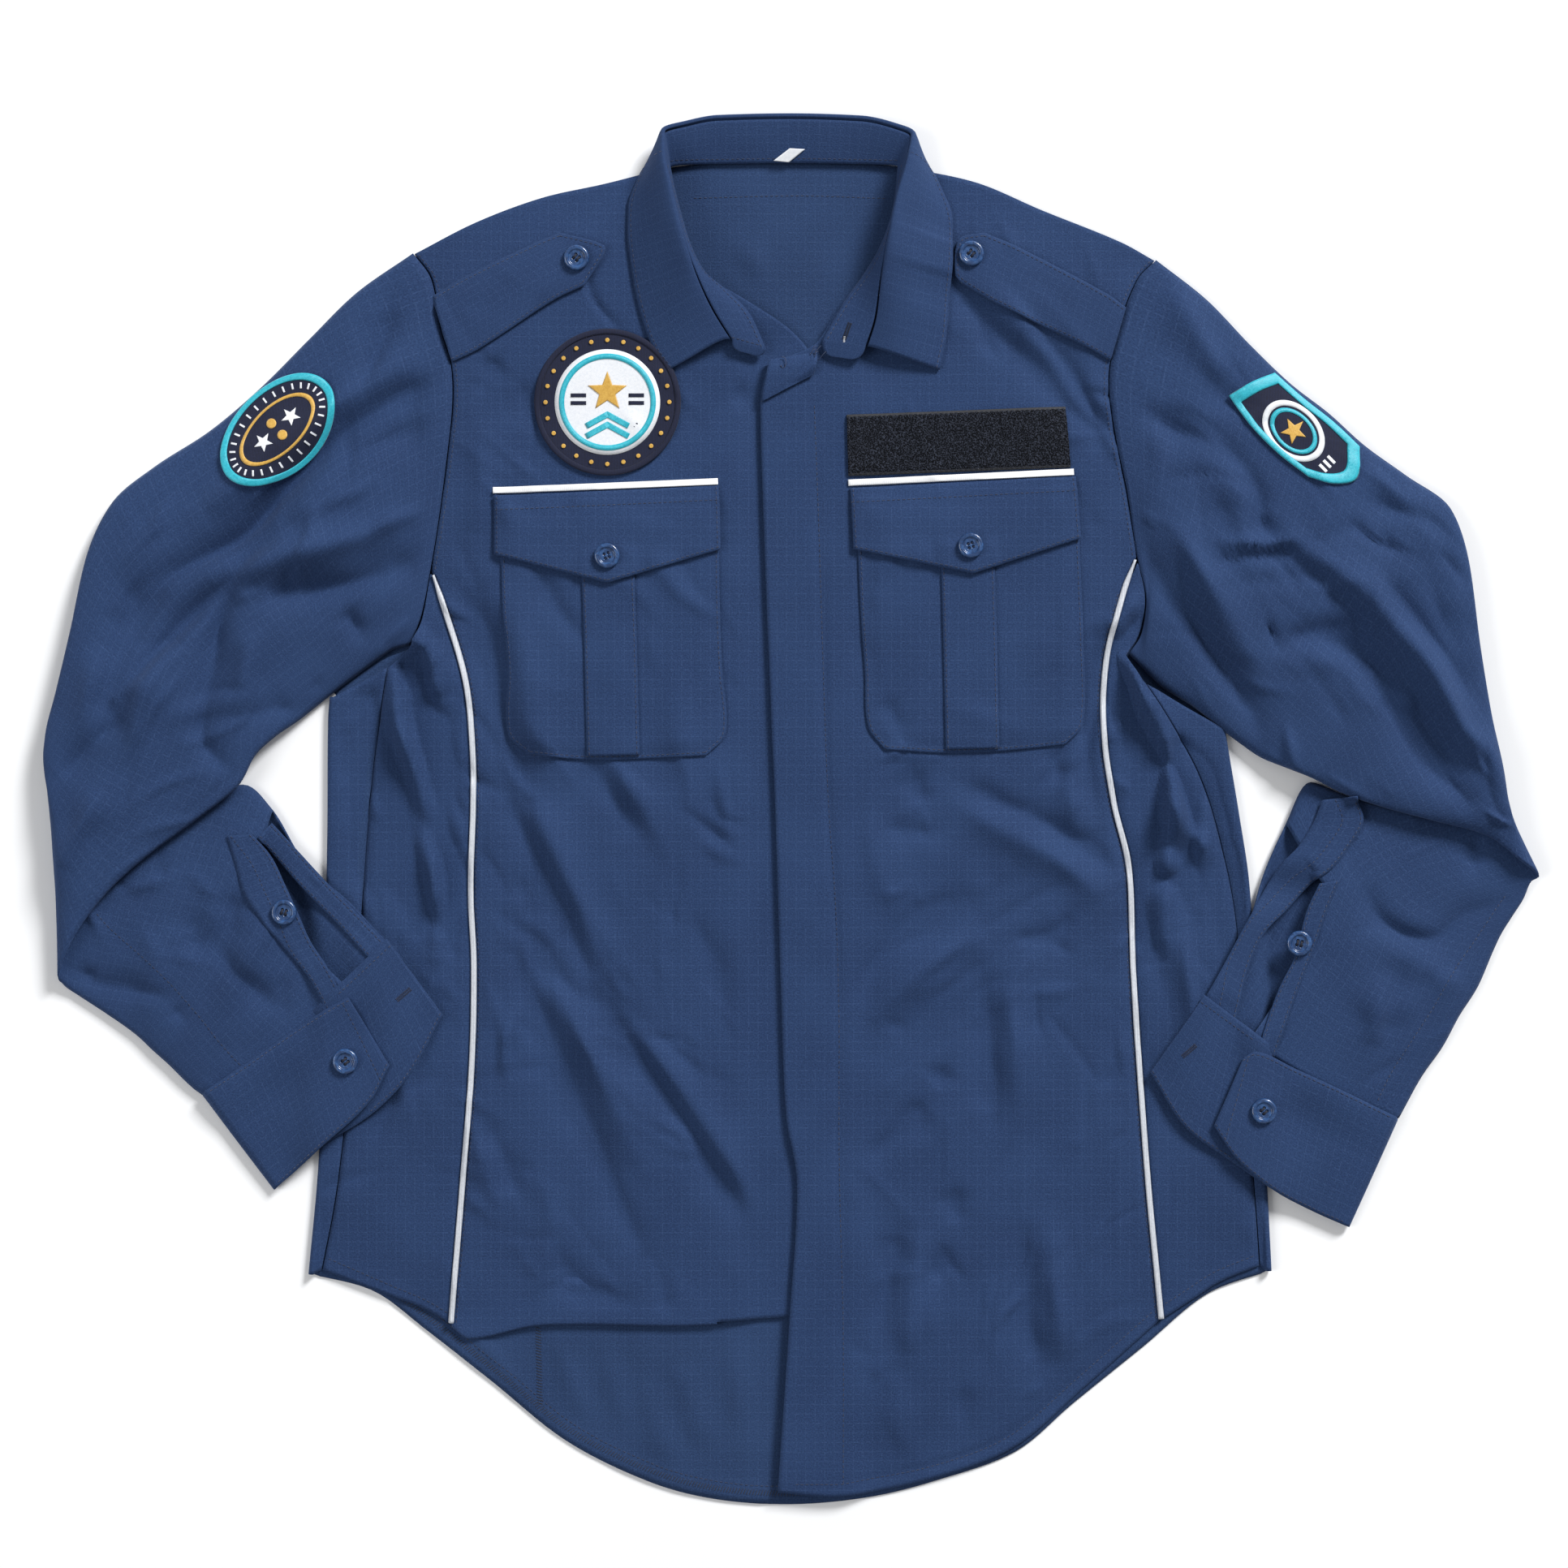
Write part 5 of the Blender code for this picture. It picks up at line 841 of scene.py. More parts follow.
def cloth_drift(x: np.ndarray, y: np.ndarray, seed: int) -> np.ndarray:
    """Faint unevenness of washed cloth, from swells down to puckers."""
    return (0.45 * drift(x, y, 46.0, seed) + 0.28 * drift(x + 0.4 * y, y, 23.0, seed + 1)
            + 0.12 * drift(x, y, 11.0, seed + 2))


def evenly(count: int) -> np.ndarray:
    """Even places from 0 to 1, one more than the cells."""
    return np.linspace(0.0, 1.0, count + 1)


def soft_floor(height: np.ndarray, floor: float, soft: float = 0.45) -> np.ndarray:
    """Keep a height above a floor without a kink."""
    return floor + soft * np.logaddexp(0.0, (height - floor) / soft)


def blurred(values: np.ndarray, times: int) -> np.ndarray:
    """Average each value with its neighbours in the grid, a number of times.

    Args:
        values: the grid.
        times: how many rounds.

    Returns:
        The softened grid.
    """
    for _ in range(times):
        padded = np.pad(values, 1, mode="edge")
        values = (padded[1:-1, 1:-1] * 2 + padded[:-2, 1:-1] + padded[2:, 1:-1] + padded[1:-1, :-2]
                  + padded[1:-1, 2:]) / 6
    return values


def edge_y(x: np.ndarray, edge: Line) -> np.ndarray:
    """Height in the picture of an edge at a place across it."""
    return np.interp(x, [p[0] for p in edge], [p[1] for p in edge])


def front_height(x: np.ndarray, y: np.ndarray) -> np.ndarray:
    """Middle of the fronts' wall over the back: slack, with its creases, low along the edges.

    Args:
        x: places in plan.
        y: places in plan.

    Returns:
        Heights in millimetres.
    """
    shoulder = np.where(x < 0, edge_y(x, SHOULDER_LEFT), edge_y(x, SHOULDER_RIGHT))
    free = ramp(shoulder - y, 0.0, 45.0) * ramp(y - edge_y(x, BACK_HEM), 2.0, 50.0)
    slack = FRONT_LOW + (FRONT_Z - FRONT_LOW) * free
    uneven = cloth_drift(x, y, 3) * (0.25 + 0.75 * free)
    return soft_floor(slack + relief(x, y, deepened(BODY_CREASES) + BODY_SMALL) * free + uneven,
                      PRESSED_Z, 0.3)


def left_front_height(x: np.ndarray, y: np.ndarray) -> np.ndarray:
    """The left front, pressed flat where the fly covers it.

    Args:
        x: places in plan.
        y: places in plan.

    Returns:
        Heights in millimetres.
    """
    pressed = ramp(x, PRESSED_FROM + 8.0, PRESSED_FROM + 26.0) * (1 - ramp(y, 272.0, 290.0))
    kept = ramp(y - edge_y(x, FRONT_FOLD_LEFT), 0.0, 25.0)
    height = FRONT_Z + (front_height(x, y) - FRONT_Z) * kept
    return height + (UNDER_FLY_Z - height) * pressed


def right_front_height(x: np.ndarray, y: np.ndarray) -> np.ndarray:
    """The right front, lifted where it laps over the left one and the fly's strip.

    Args:
        x: places in plan.
        y: places in plan.

    Returns:
        Heights in millimetres.
    """
    lapped = 1 - ramp(x, 31.0, 52.0)
    height = front_height(x, y)
    lift = np.maximum(height, OVER_FLY_Z + 0.25 * cloth_drift(x, y, 9))
    return height + (lift - height) * lapped


def side_height(x: np.ndarray, y: np.ndarray) -> np.ndarray:
    """Middle of the wall beside the side seams, on the side panels and the back's turned edge."""
    return np.maximum(front_height(x, y), FRONT_LOW + 0.4)


def lifted(grid: np.ndarray, height: Callable[[np.ndarray, np.ndarray], np.ndarray]) -> np.ndarray:
    """Give each plan point its height.

    Args:
        grid: plan points.
        height: what gives the height from x and y.

    Returns:
        Points with three coordinates.
    """
    result = grid.copy()
    result[..., 2] = height(grid[..., 0], grid[..., 1])
    return result


@dataclass
class Shell:
    """A grid of cloth as an object: points, weave places and how it closes.

    weave holds where each point lies on the flat cloth, in millimetres, for the weave's pattern.
    """

    name: str
    points: np.ndarray
    thickness: float
    material: bpy.types.Material
    weave: np.ndarray | None = None
    ring: bool = False
    holes: np.ndarray | None = None

    def build(self) -> bpy.types.Object:
        """Make the object.

        Returns:
            The shell, with its wall added by a modifier.
        """
        rows, columns = self.points.shape[:2]
        weave = self.points[..., :2] if self.weave is None else self.weave
        used = ~np.isnan(self.points[..., 0])
        number = np.cumsum(used.ravel()).reshape(used.shape) - 1
        j, i = np.meshgrid(np.arange(rows - 1), np.arange(columns if self.ring else columns - 1),
                           indexing="ij")
        k = (i + 1) % columns
        keep = used[j, i] & used[j + 1, i] & used[j + 1, k] & used[j, k]
        if self.holes is not None:
            keep &= ~self.holes[:keep.shape[0], :keep.shape[1]]
        corners = np.stack([number[j, i], number[j + 1, i], number[j + 1, k], number[j, k]], axis=-1)[keep]
        mesh = bpy.data.meshes.new(self.name)
        mesh.from_pydata((self.points[used] * MM).tolist(), [], corners.tolist())
        layer = mesh.attributes.new("weave", "FLOAT_VECTOR", "POINT")
        place = np.concatenate([weave[used], np.zeros((int(used.sum()), 1))], axis=1)
        layer.data.foreach_set("vector", place.astype(np.float32).ravel())
        drop_loose(mesh)
        mesh.shade_smooth()
        mesh.materials.append(self.material)
        obj = bpy.data.objects.new(self.name, mesh)
        bpy.context.scene.collection.objects.link(obj)
        wall = obj.modifiers.new("wall", "SOLIDIFY")
        wall.thickness = self.thickness * MM
        wall.offset = 0.0
        return obj


def drop_loose(mesh: bpy.types.Mesh) -> None:
    """Delete points that no face uses.

    Args:
        mesh: the mesh to clean.
    """
    faces = np.zeros(len(mesh.loops), dtype=np.int32)
    mesh.loops.foreach_get("vertex_index", faces)
    if len(np.unique(faces)) == len(mesh.vertices):
        return
    bm = bmesh.new()
    bm.from_mesh(mesh)
    bmesh.ops.delete(bm, geom=[v for v in bm.verts if not v.link_faces], context="VERTS")
    bm.to_mesh(mesh)
    bm.free()


def surface_of(obj: bpy.types.Object) -> BVHTree:
    """Tree of an object's evaluated faces, to lay other pieces on."""
    return BVHTree.FromObject(obj, bpy.context.evaluated_depsgraph_get())


def highest(x: np.ndarray, y: np.ndarray, surfaces: list[BVHTree], reach: float) -> np.ndarray:
    """Highest point of what lies under each place, within reach of it.

    Args:
        x: places in plan, in millimetres.
        y: places in plan, in millimetres.
        surfaces: what may lie there.
        reach: how far round a place to look.

    Returns:
        Heights in millimetres, not a number where nothing lies.
    """
    result = np.full(x.size, np.nan)
    steps = ((0.0, 0.0), (reach, 0.0), (-reach, 0.0), (0.0, reach), (0.0, -reach))
    for n, (px, py) in enumerate(zip(x.ravel(), y.ravel())):
        best = -1.0
        for dx, dy in steps if reach > 0 else steps[:1]:
            start = ((px + dx) * MM, (py + dy) * MM, 0.2)
            for surface in surfaces:
                hit = surface.ray_cast(start, (0.0, 0.0, -1.0))[0]
                if hit is not None and hit.z > best:
                    best = hit.z
        if best >= 0.0:
            result[n] = best / MM
    return result.reshape(x.shape)


def settled(grid: np.ndarray, surfaces: list[BVHTree], thickness: float, reach: float = 1.5,
            ease: int = 3, gap: float = GAP) -> np.ndarray:
    """Lift a plan grid on to what lies under it, easing over its steps.

    Args:
        grid: plan points.
        surfaces: what it lies on.
        thickness: wall of the piece.
        reach: how far round a place to look.
        ease: how often the height is averaged with its neighbours'.
        gap: clearance kept.

    Returns:
        The grid with the middle of the wall as its height.
    """
    under = highest(grid[..., 0], grid[..., 1], surfaces, reach)
    under = np.where(np.isnan(under), -gap, under)
    eased = np.maximum(blurred(under, ease), under)
    result = grid.copy()
    result[..., 2] = blurred(eased, 1) + gap + thickness / 2
    return result


def band(line: np.ndarray, width: float, columns: int) -> np.ndarray:
    """Grid of a strip beside a run of points, on the left as it runs, its last column on the run.

    Args:
        line: the run of points.
        width: how wide the strip is.
        columns: how many cells across.

    Returns:
        The grid of plan points.
    """
    along = np.gradient(line, axis=0)
    along /= np.linalg.norm(along[:, :2], axis=1)[:, None]
    side = np.stack([along[:, 1], -along[:, 0], np.zeros(len(line))], axis=1)
    part = (columns - np.arange(columns + 1)) / columns
    return line[:, None] - side[:, None] * (width * part)[None, :, None]


def cells(length: float, size: float = CELL) -> int:
    """How many cells of about the given size fit a length."""
    return max(2, round(length / size))


@dataclass
class Wardrobe:
    """The finished pieces, and the trees that other pieces are laid on."""

    made: dict[str, bpy.types.Object] = field(default_factory=dict)

    def keep(self, obj: bpy.types.Object, slot: str, nodes: tuple[str, ...] = ()) -> bpy.types.Object:
        """Ride a piece on the shirt and hide the nodes that it replaces.

        Args:
            obj: the piece.
            slot: name of its finish slot; not used.
            nodes: nodes that it replaces.

        Returns:
            The piece.
        """
        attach(obj, "root")
        if nodes:
            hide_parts(*nodes)
        self.made[obj.name] = obj
        LOG.info("made %s", obj.name)
        return obj

    def sheet(self, obj: bpy.types.Object, width: float, length: float, area: float | None = None,
              held: str = "laid", on: tuple[str, ...] = ()) -> None:
        """Take a piece of cloth with the size it was cut to, in millimetres; nothing is done with them."""
        list(on)

    def trees(self, *names: str) -> list[BVHTree]:
        """Trees of the named pieces."""
        return [surface_of(self.made[name]) for name in names]


def add(tree: bpy.types.NodeTree, kind: str, links: dict | None = None, values: dict | None = None,
        **settings) -> bpy.types.Node:
    """Add a node with its settings and links.

    Args:
        tree: tree of the material.
        kind: node class, without its ShaderNode prefix.
        links: output socket for an input's name or number.
        values: constant for an input's name or number.
        settings: the node's own properties.

    Returns:
        The node.
    """
    made = tree.nodes.new("ShaderNode" + kind)
    for key, value in settings.items():
        setattr(made, key, value)
    for key, value in (values or {}).items():
        made.inputs[key].default_value = value
    for key, socket in (links or {}).items():
        tree.links.new(socket, made.inputs[key])
    return made


def blank_material(name: str) -> tuple[bpy.types.Material, bpy.types.NodeTree, bpy.types.Node]:
    """Make a material that holds only its main shader and output.

    Args:
        name: name of the finish.

    Returns:
        The material, its node tree and its shader.
    """
    material = bpy.data.materials.new(name)
    material.use_nodes = True
    tree = material.node_tree
    return material, tree, tree.nodes["Principled BSDF"]


@dataclass(frozen=True)
class Ripstop:
    """Cotton-polyester ripstop, dyed navy and washed: a matt plain weave with a faint lighter net.

    The net's double threads stand 5.6 mm apart both ways. Single threads of about 0.3 mm are too fine
    to show, so the speckle that they give is drawn about 1 mm wide.
    """

    name: str
    colour: str
    light: str
    net: str
    spacing: float = 5.6
    thread: float = 0.42
    speckle: float = 1.1
    roughness: float = 0.86

    def build(self) -> bpy.types.Material:
        """Make the material.

        Returns:
            Cloth whose pattern follows the weave attribute.
        """
        material, tree, shader = blank_material(self.name)
        place = add(tree, "Attribute", attribute_name="weave").outputs["Vector"]
        axes = add(tree, "SeparateXYZ", {0: place})
        broken = add(tree, "TexNoise", {"Vector": place}, {"Scale": 0.55, "Detail": 2.0})
        lines = []
        for axis in (0, 1):
            cell = add(tree, "Math", {0: axes.outputs[axis]}, {1: 1 / self.spacing}, operation="MULTIPLY")
            part = add(tree, "Math", {0: cell.outputs[0]}, operation="FRACT")
            off = add(tree, "Math", {0: part.outputs[0]}, {1: 0.5}, operation="SUBTRACT")
            far = add(tree, "Math", {0: off.outputs[0]}, operation="ABSOLUTE")
            half = self.thread / self.spacing
            line = add(tree, "MapRange", {0: far.outputs[0]}, {1: half * 0.25, 2: half, 3: 1.0, 4: 0.0},
                       interpolation_type="SMOOTHSTEP")
            lines.append(line.outputs[0])
        net = add(tree, "Math", {0: lines[0], 1: lines[1]}, operation="MAXIMUM")
        gaps = add(tree, "MapRange", {0: broken.outputs[0]}, {1: 0.38, 2: 0.62, 3: 0.01, 4: 0.24})
        shown = add(tree, "Math", {0: net.outputs[0], 1: gaps.outputs[0]}, operation="MULTIPLY")
        threads = add(tree, "TexNoise", {"Vector": place}, {"Scale": self.speckle, "Detail": 3.0,
                                                            "Roughness": 0.65})
        grain = add(tree, "MapRange", {0: threads.outputs[0]}, {1: 0.33, 2: 0.67})
        washed = add(tree, "TexNoise", {"Vector": place}, {"Scale": 0.018, "Detail": 3.0})
        wash = add(tree, "MapRange", {0: washed.outputs[0]}, {1: 0.35, 2: 0.65, 3: -0.14, 4: 0.14})
        amount = add(tree, "Math", {0: grain.outputs[0], 1: wash.outputs[0]}, operation="ADD",
                     use_clamp=True)
        ground = add(tree, "Mix", {0: amount.outputs[0]},
                     {6: linear_colour(self.colour), 7: linear_colour(self.light)}, data_type="RGBA")
        netted = add(tree, "Mix", {0: shown.outputs[0], 6: ground.outputs[2]},
                     {7: linear_colour(self.net)}, data_type="RGBA")
        raised = add(tree, "Math", {0: shown.outputs[0], 2: grain.outputs[0]}, {1: 0.7},
                     operation="MULTIPLY_ADD")
        bump = add(tree, "Bump", {"Height": raised.outputs[0]}, {"Strength": 0.35, "Distance": 0.0003})
        tree.links.new(netted.outputs[2], shader.inputs["Base Color"])
        tree.links.new(bump.outputs[0], shader.inputs["Normal"])
        shader.inputs["Roughness"].default_value = self.roughness
        shader.inputs["IOR"].default_value = 1.5
        shader.inputs["Specular IOR Level"].default_value = 0.25
        shader.inputs["Sheen Weight"].default_value = 0.14
        shader.inputs["Sheen Roughness"].default_value = 0.5
        shader.inputs["Sheen Tint"].default_value = linear_colour("#8ea4cf")
        return material


@dataclass(frozen=True)
class Yarn:
    """Twisted or woven thread: sewing thread, tape, piping cover, embroidery or label.

    Ribs show how the thread runs; sheen says how much its surface catches the light.
    """

    name: str
    colour: str
    light: str
    rib: float
    roughness: float
    sheen: float
    depth: float = 0.0002
    across: float = 0.0

    def build(self) -> bpy.types.Material:
        """Make the material.

        Returns:
            Thread whose ribs lie in the piece's own place.
        """
        material, tree, shader = blank_material(self.name)
        place = add(tree, "TexCoord").outputs["Object"]
        turned = add(tree, "Mapping", {"Vector": place}, {"Rotation": (0.0, 0.0, self.across),
                                                          "Scale": (1000.0, 1000.0, 1000.0)})
        ribs = add(tree, "TexWave", {"Vector": turned.outputs[0]},
                   {"Scale": 1 / (6.2 * self.rib) * 2, "Distortion": 1.6, "Detail": 2.0, "Detail Scale": 1.4})
        fuzz = add(tree, "TexNoise", {"Vector": turned.outputs[0]}, {"Scale": 0.7, "Detail": 4.0})
        both = add(tree, "Math", {0: ribs.outputs["Fac"], 1: fuzz.outputs[0]}, operation="MULTIPLY")
        tone = add(tree, "MapRange", {0: both.outputs[0]}, {1: 0.1, 2: 0.5})
        colour = add(tree, "Mix", {0: tone.outputs[0]},
                     {6: linear_colour(self.colour), 7: linear_colour(self.light)}, data_type="RGBA")
        bump = add(tree, "Bump", {"Height": both.outputs[0]}, {"Strength": 0.5, "Distance": self.depth})
        tree.links.new(colour.outputs[2], shader.inputs["Base Color"])
        tree.links.new(bump.outputs[0], shader.inputs["Normal"])
        shader.inputs["Roughness"].default_value = self.roughness
        shader.inputs["IOR"].default_value = 1.5
        shader.inputs["Sheen Weight"].default_value = self.sheen
        return material


@dataclass(frozen=True)
class Resin:
    """Cast polyester button resin, turned and tumbled: glossy, navy, with faint streaks inside."""

    name: str = "polyester button resin"
    colour: str = "#1b3761"
    light: str = "#345c92"
    roughness: float = 0.24

    def build(self) -> bpy.types.Material:
        """Make the material.

        Returns:
            Glossy resin with soft streaks.
        """
        material, tree, shader = blank_material(self.name)
        place = add(tree, "TexCoord").outputs["Object"]
        streak = add(tree, "TexNoise", {"Vector": place}, {"Scale": 260.0, "Detail": 3.0, "Distortion": 1.2})
        tone = add(tree, "MapRange", {0: streak.outputs[0]}, {1: 0.42, 2: 0.72})
        colour = add(tree, "Mix", {0: tone.outputs[0]},
                     {6: linear_colour(self.colour), 7: linear_colour(self.light)}, data_type="RGBA")
        scuff = add(tree, "TexNoise", {"Vector": place}, {"Scale": 900.0, "Detail": 2.0})
        gloss = add(tree, "MapRange", {0: scuff.outputs[0]},
                    {1: 0.3, 2: 0.7, 3: self.roughness * 0.8, 4: self.roughness * 1.7})
        tree.links.new(colour.outputs[2], shader.inputs["Base Color"])
        tree.links.new(gloss.outputs[0], shader.inputs["Roughness"])
        shader.inputs["IOR"].default_value = 1.55
        shader.inputs["Coat Weight"].default_value = 0.6
        shader.inputs["Coat Roughness"].default_value = 0.08
        return material


@dataclass(frozen=True)
class Pile:
    """Knitted nylon loop pile, brushed: black-brown, matt, with light loops that catch the light."""

    name: str = "nylon loop pile"
    colour: str = "#040509"
    light: str = "#3a3f4c"

    def build(self) -> bpy.types.Material:
        """Make the material.

        Returns:
            Pile with loops about 1 mm apart.
        """
        material, tree, shader = blank_material(self.name)
        place = add(tree, "TexCoord").outputs["Object"]
        loops = add(tree, "TexVoronoi", {"Vector": place}, {"Scale": 1250.0}, feature="F1")
        fuzz = add(tree, "TexNoise", {"Vector": place}, {"Scale": 2400.0, "Detail": 3.0})
        both = add(tree, "Math", {0: loops.outputs["Distance"], 1: fuzz.outputs[0]}, operation="MULTIPLY")
        tone = add(tree, "MapRange", {0: both.outputs[0]}, {1: 0.2, 2: 0.46})
        colour = add(tree, "Mix", {0: tone.outputs[0]},
                     {6: linear_colour(self.colour), 7: linear_colour(self.light)}, data_type="RGBA")
        bump = add(tree, "Bump", {"Height": both.outputs[0]}, {"Strength": 0.8, "Distance": 0.0006})
        tree.links.new(colour.outputs[2], shader.inputs["Base Color"])
        tree.links.new(bump.outputs[0], shader.inputs["Normal"])
        shader.inputs["Roughness"].default_value = 0.95
        shader.inputs["Specular IOR Level"].default_value = 0.12
        shader.inputs["Sheen Weight"].default_value = 0.03
        return material


@dataclass(frozen=True)
class Paper:
    """Seamless studio background paper, nearly white and quite matt."""

    name: str = "studio background paper"
    colour: str = "#fbfcfd"

    def build(self) -> bpy.types.Material:
        """Make the material.

        Returns:
            Paper with a trace of unevenness.
        """
        material, tree, shader = blank_material(self.name)
        place = add(tree, "TexCoord").outputs["Object"]
        cloud = add(tree, "TexNoise", {"Vector": place}, {"Scale": 3.0, "Detail": 2.0})
        tone = add(tree, "MapRange", {0: cloud.outputs[0]}, {1: 0.3, 2: 0.7})
        colour = add(tree, "Mix", {0: tone.outputs[0]},
                     {6: linear_colour("#f8f9fb"), 7: linear_colour(self.colour)}, data_type="RGBA")
        tree.links.new(colour.outputs[2], shader.inputs["Base Color"])
        shader.inputs["Roughness"].default_value = 0.95
        return material


@dataclass
class Finishes:
    """Every finish of the shirt, made once."""

    cloth: bpy.types.Material = field(init=False)
    inside: bpy.types.Material = field(init=False)
    thread: bpy.types.Material = field(init=False)
    dark_thread: bpy.types.Material = field(init=False)
    tape: bpy.types.Material = field(init=False)
    piping: bpy.types.Material = field(init=False)
    resin: bpy.types.Material = field(init=False)
    pile: bpy.types.Material = field(init=False)
    selvedge: bpy.types.Material = field(init=False)
    tag: bpy.types.Material = field(init=False)
    badge_navy: bpy.types.Material = field(init=False)
    badge_white: bpy.types.Material = field(init=False)
    badge_teal: bpy.types.Material = field(init=False)
    badge_gold: bpy.types.Material = field(init=False)

    def __post_init__(self) -> None:
        """Build the materials."""
        self.cloth = Ripstop("cotton-polyester ripstop", "#1b2f53", "#2b436c", "#465e88").build()
        self.inside = Ripstop("cotton-polyester ripstop inside", "#1c3052", "#2c446c", "#445b82").build()
        # The sewing thread's dark navy is painted shade: it stands in for the shadows in the stitch holes, so
        # the stitch rows show as dark dots; the real thread is lighter.
        self.thread = Yarn("polyester sewing thread", "#0d1834", "#263860", 0.5, 0.6, 0.2).build()
        self.dark_thread = Yarn("dark sewing thread", "#0b1020", "#20283f", 0.5, 0.7, 0.1).build()
        self.tape = Yarn("white woven tape", "#e2e5ea", "#ffffff", 0.8, 0.45, 0.1, 0.0001).build()
        self.piping = Yarn("silver reflective piping", "#b4b9c3", "#e0e4ea", 0.9, 0.38, 0.1, 0.0001).build()
        self.resin = Resin().build()
        self.pile = Pile().build()
        self.selvedge = Yarn("nylon selvedge", "#121419", "#2c2f37", 0.6, 0.7, 0.1).build()
        self.tag = Yarn("white woven tag", "#dfe3ea", "#fafcff", 0.6, 0.6, 0.2, 0.0001).build()
        self.badge_navy = Yarn("navy embroidery twill", "#060c26", "#101a3c", 0.7, 0.85, 0.03).build()
        self.badge_white = Yarn("white rayon embroidery", "#d8dee8", "#ffffff", 0.5, 0.42, 0.2,
                                across=0.5).build()
        self.badge_teal = Yarn("teal rayon embroidery", "#0e96ad", "#38cfe0", 0.5, 0.42, 0.2,
                               across=-0.6).build()
        self.badge_gold = Yarn("gold rayon embroidery", "#b8862f", "#efc766", 0.5, 0.4, 0.2,
                               across=1.1).build()


def spread(values: np.ndarray, times: int) -> np.ndarray:
    """Widen what stands high in a grid by a number of cells.

    Args:
        values: the grid.
        times: by how many cells.

    Returns:
        The widened grid.
    """
    for _ in range(times):
        padded = np.pad(values, 1, mode="edge")
        values = np.max([padded[1:-1, 1:-1], padded[:-2, 1:-1], padded[2:, 1:-1], padded[1:-1, :-2],
                         padded[1:-1, 2:]], axis=0)
    return values


SEAM_DIPS = creases(
    (3.2, -0.9, 0.0, tuple(FLY_STITCH)),
    (5.0, -1.6, 0.0, tuple(PIPING_LEFT)),
    (5.0, -1.6, 0.0, tuple(PIPING_RIGHT)),
    (4.0, -1.2, 0.0, tuple(SEAM_LEFT)),
    (4.0, -1.2, 0.0, tuple(SEAM_RIGHT)),
    (3.0, -0.7, 0.0, tuple(shifted(FRONT_HEM_RIGHT[1:], -3.0, 7.5))),
)
BACK_CREASES = creases(
    (7, 1.8, 0.2, ((-34, -306), (-31, -340), (-27, -372), (-26, -402))),
    (8, 1.6, 0.0, ((-68, -328), (-60, -346), (-52, -375))),
    (9, 1.4, 0.0, ((-110, -310), (-104, -338), (-98, -366))),
    (8, 1.2, 0.0, ((-188, -306), (-176, -322), (-160, -340))),
    (10, 1.5, 0.0, ((-86, -312), (-84, -346), (-72, -386))),
    (8, 1.2, 0.0, ((-136, -312), (-130, -338), (-122, -360))),
    (10, 1.2, 0.0, ((-34, 330), (-10, 318), (20, 326))),
    (9, 1.0, 0.0, ((-10, 352), (8, 340), (26, 346))),
)


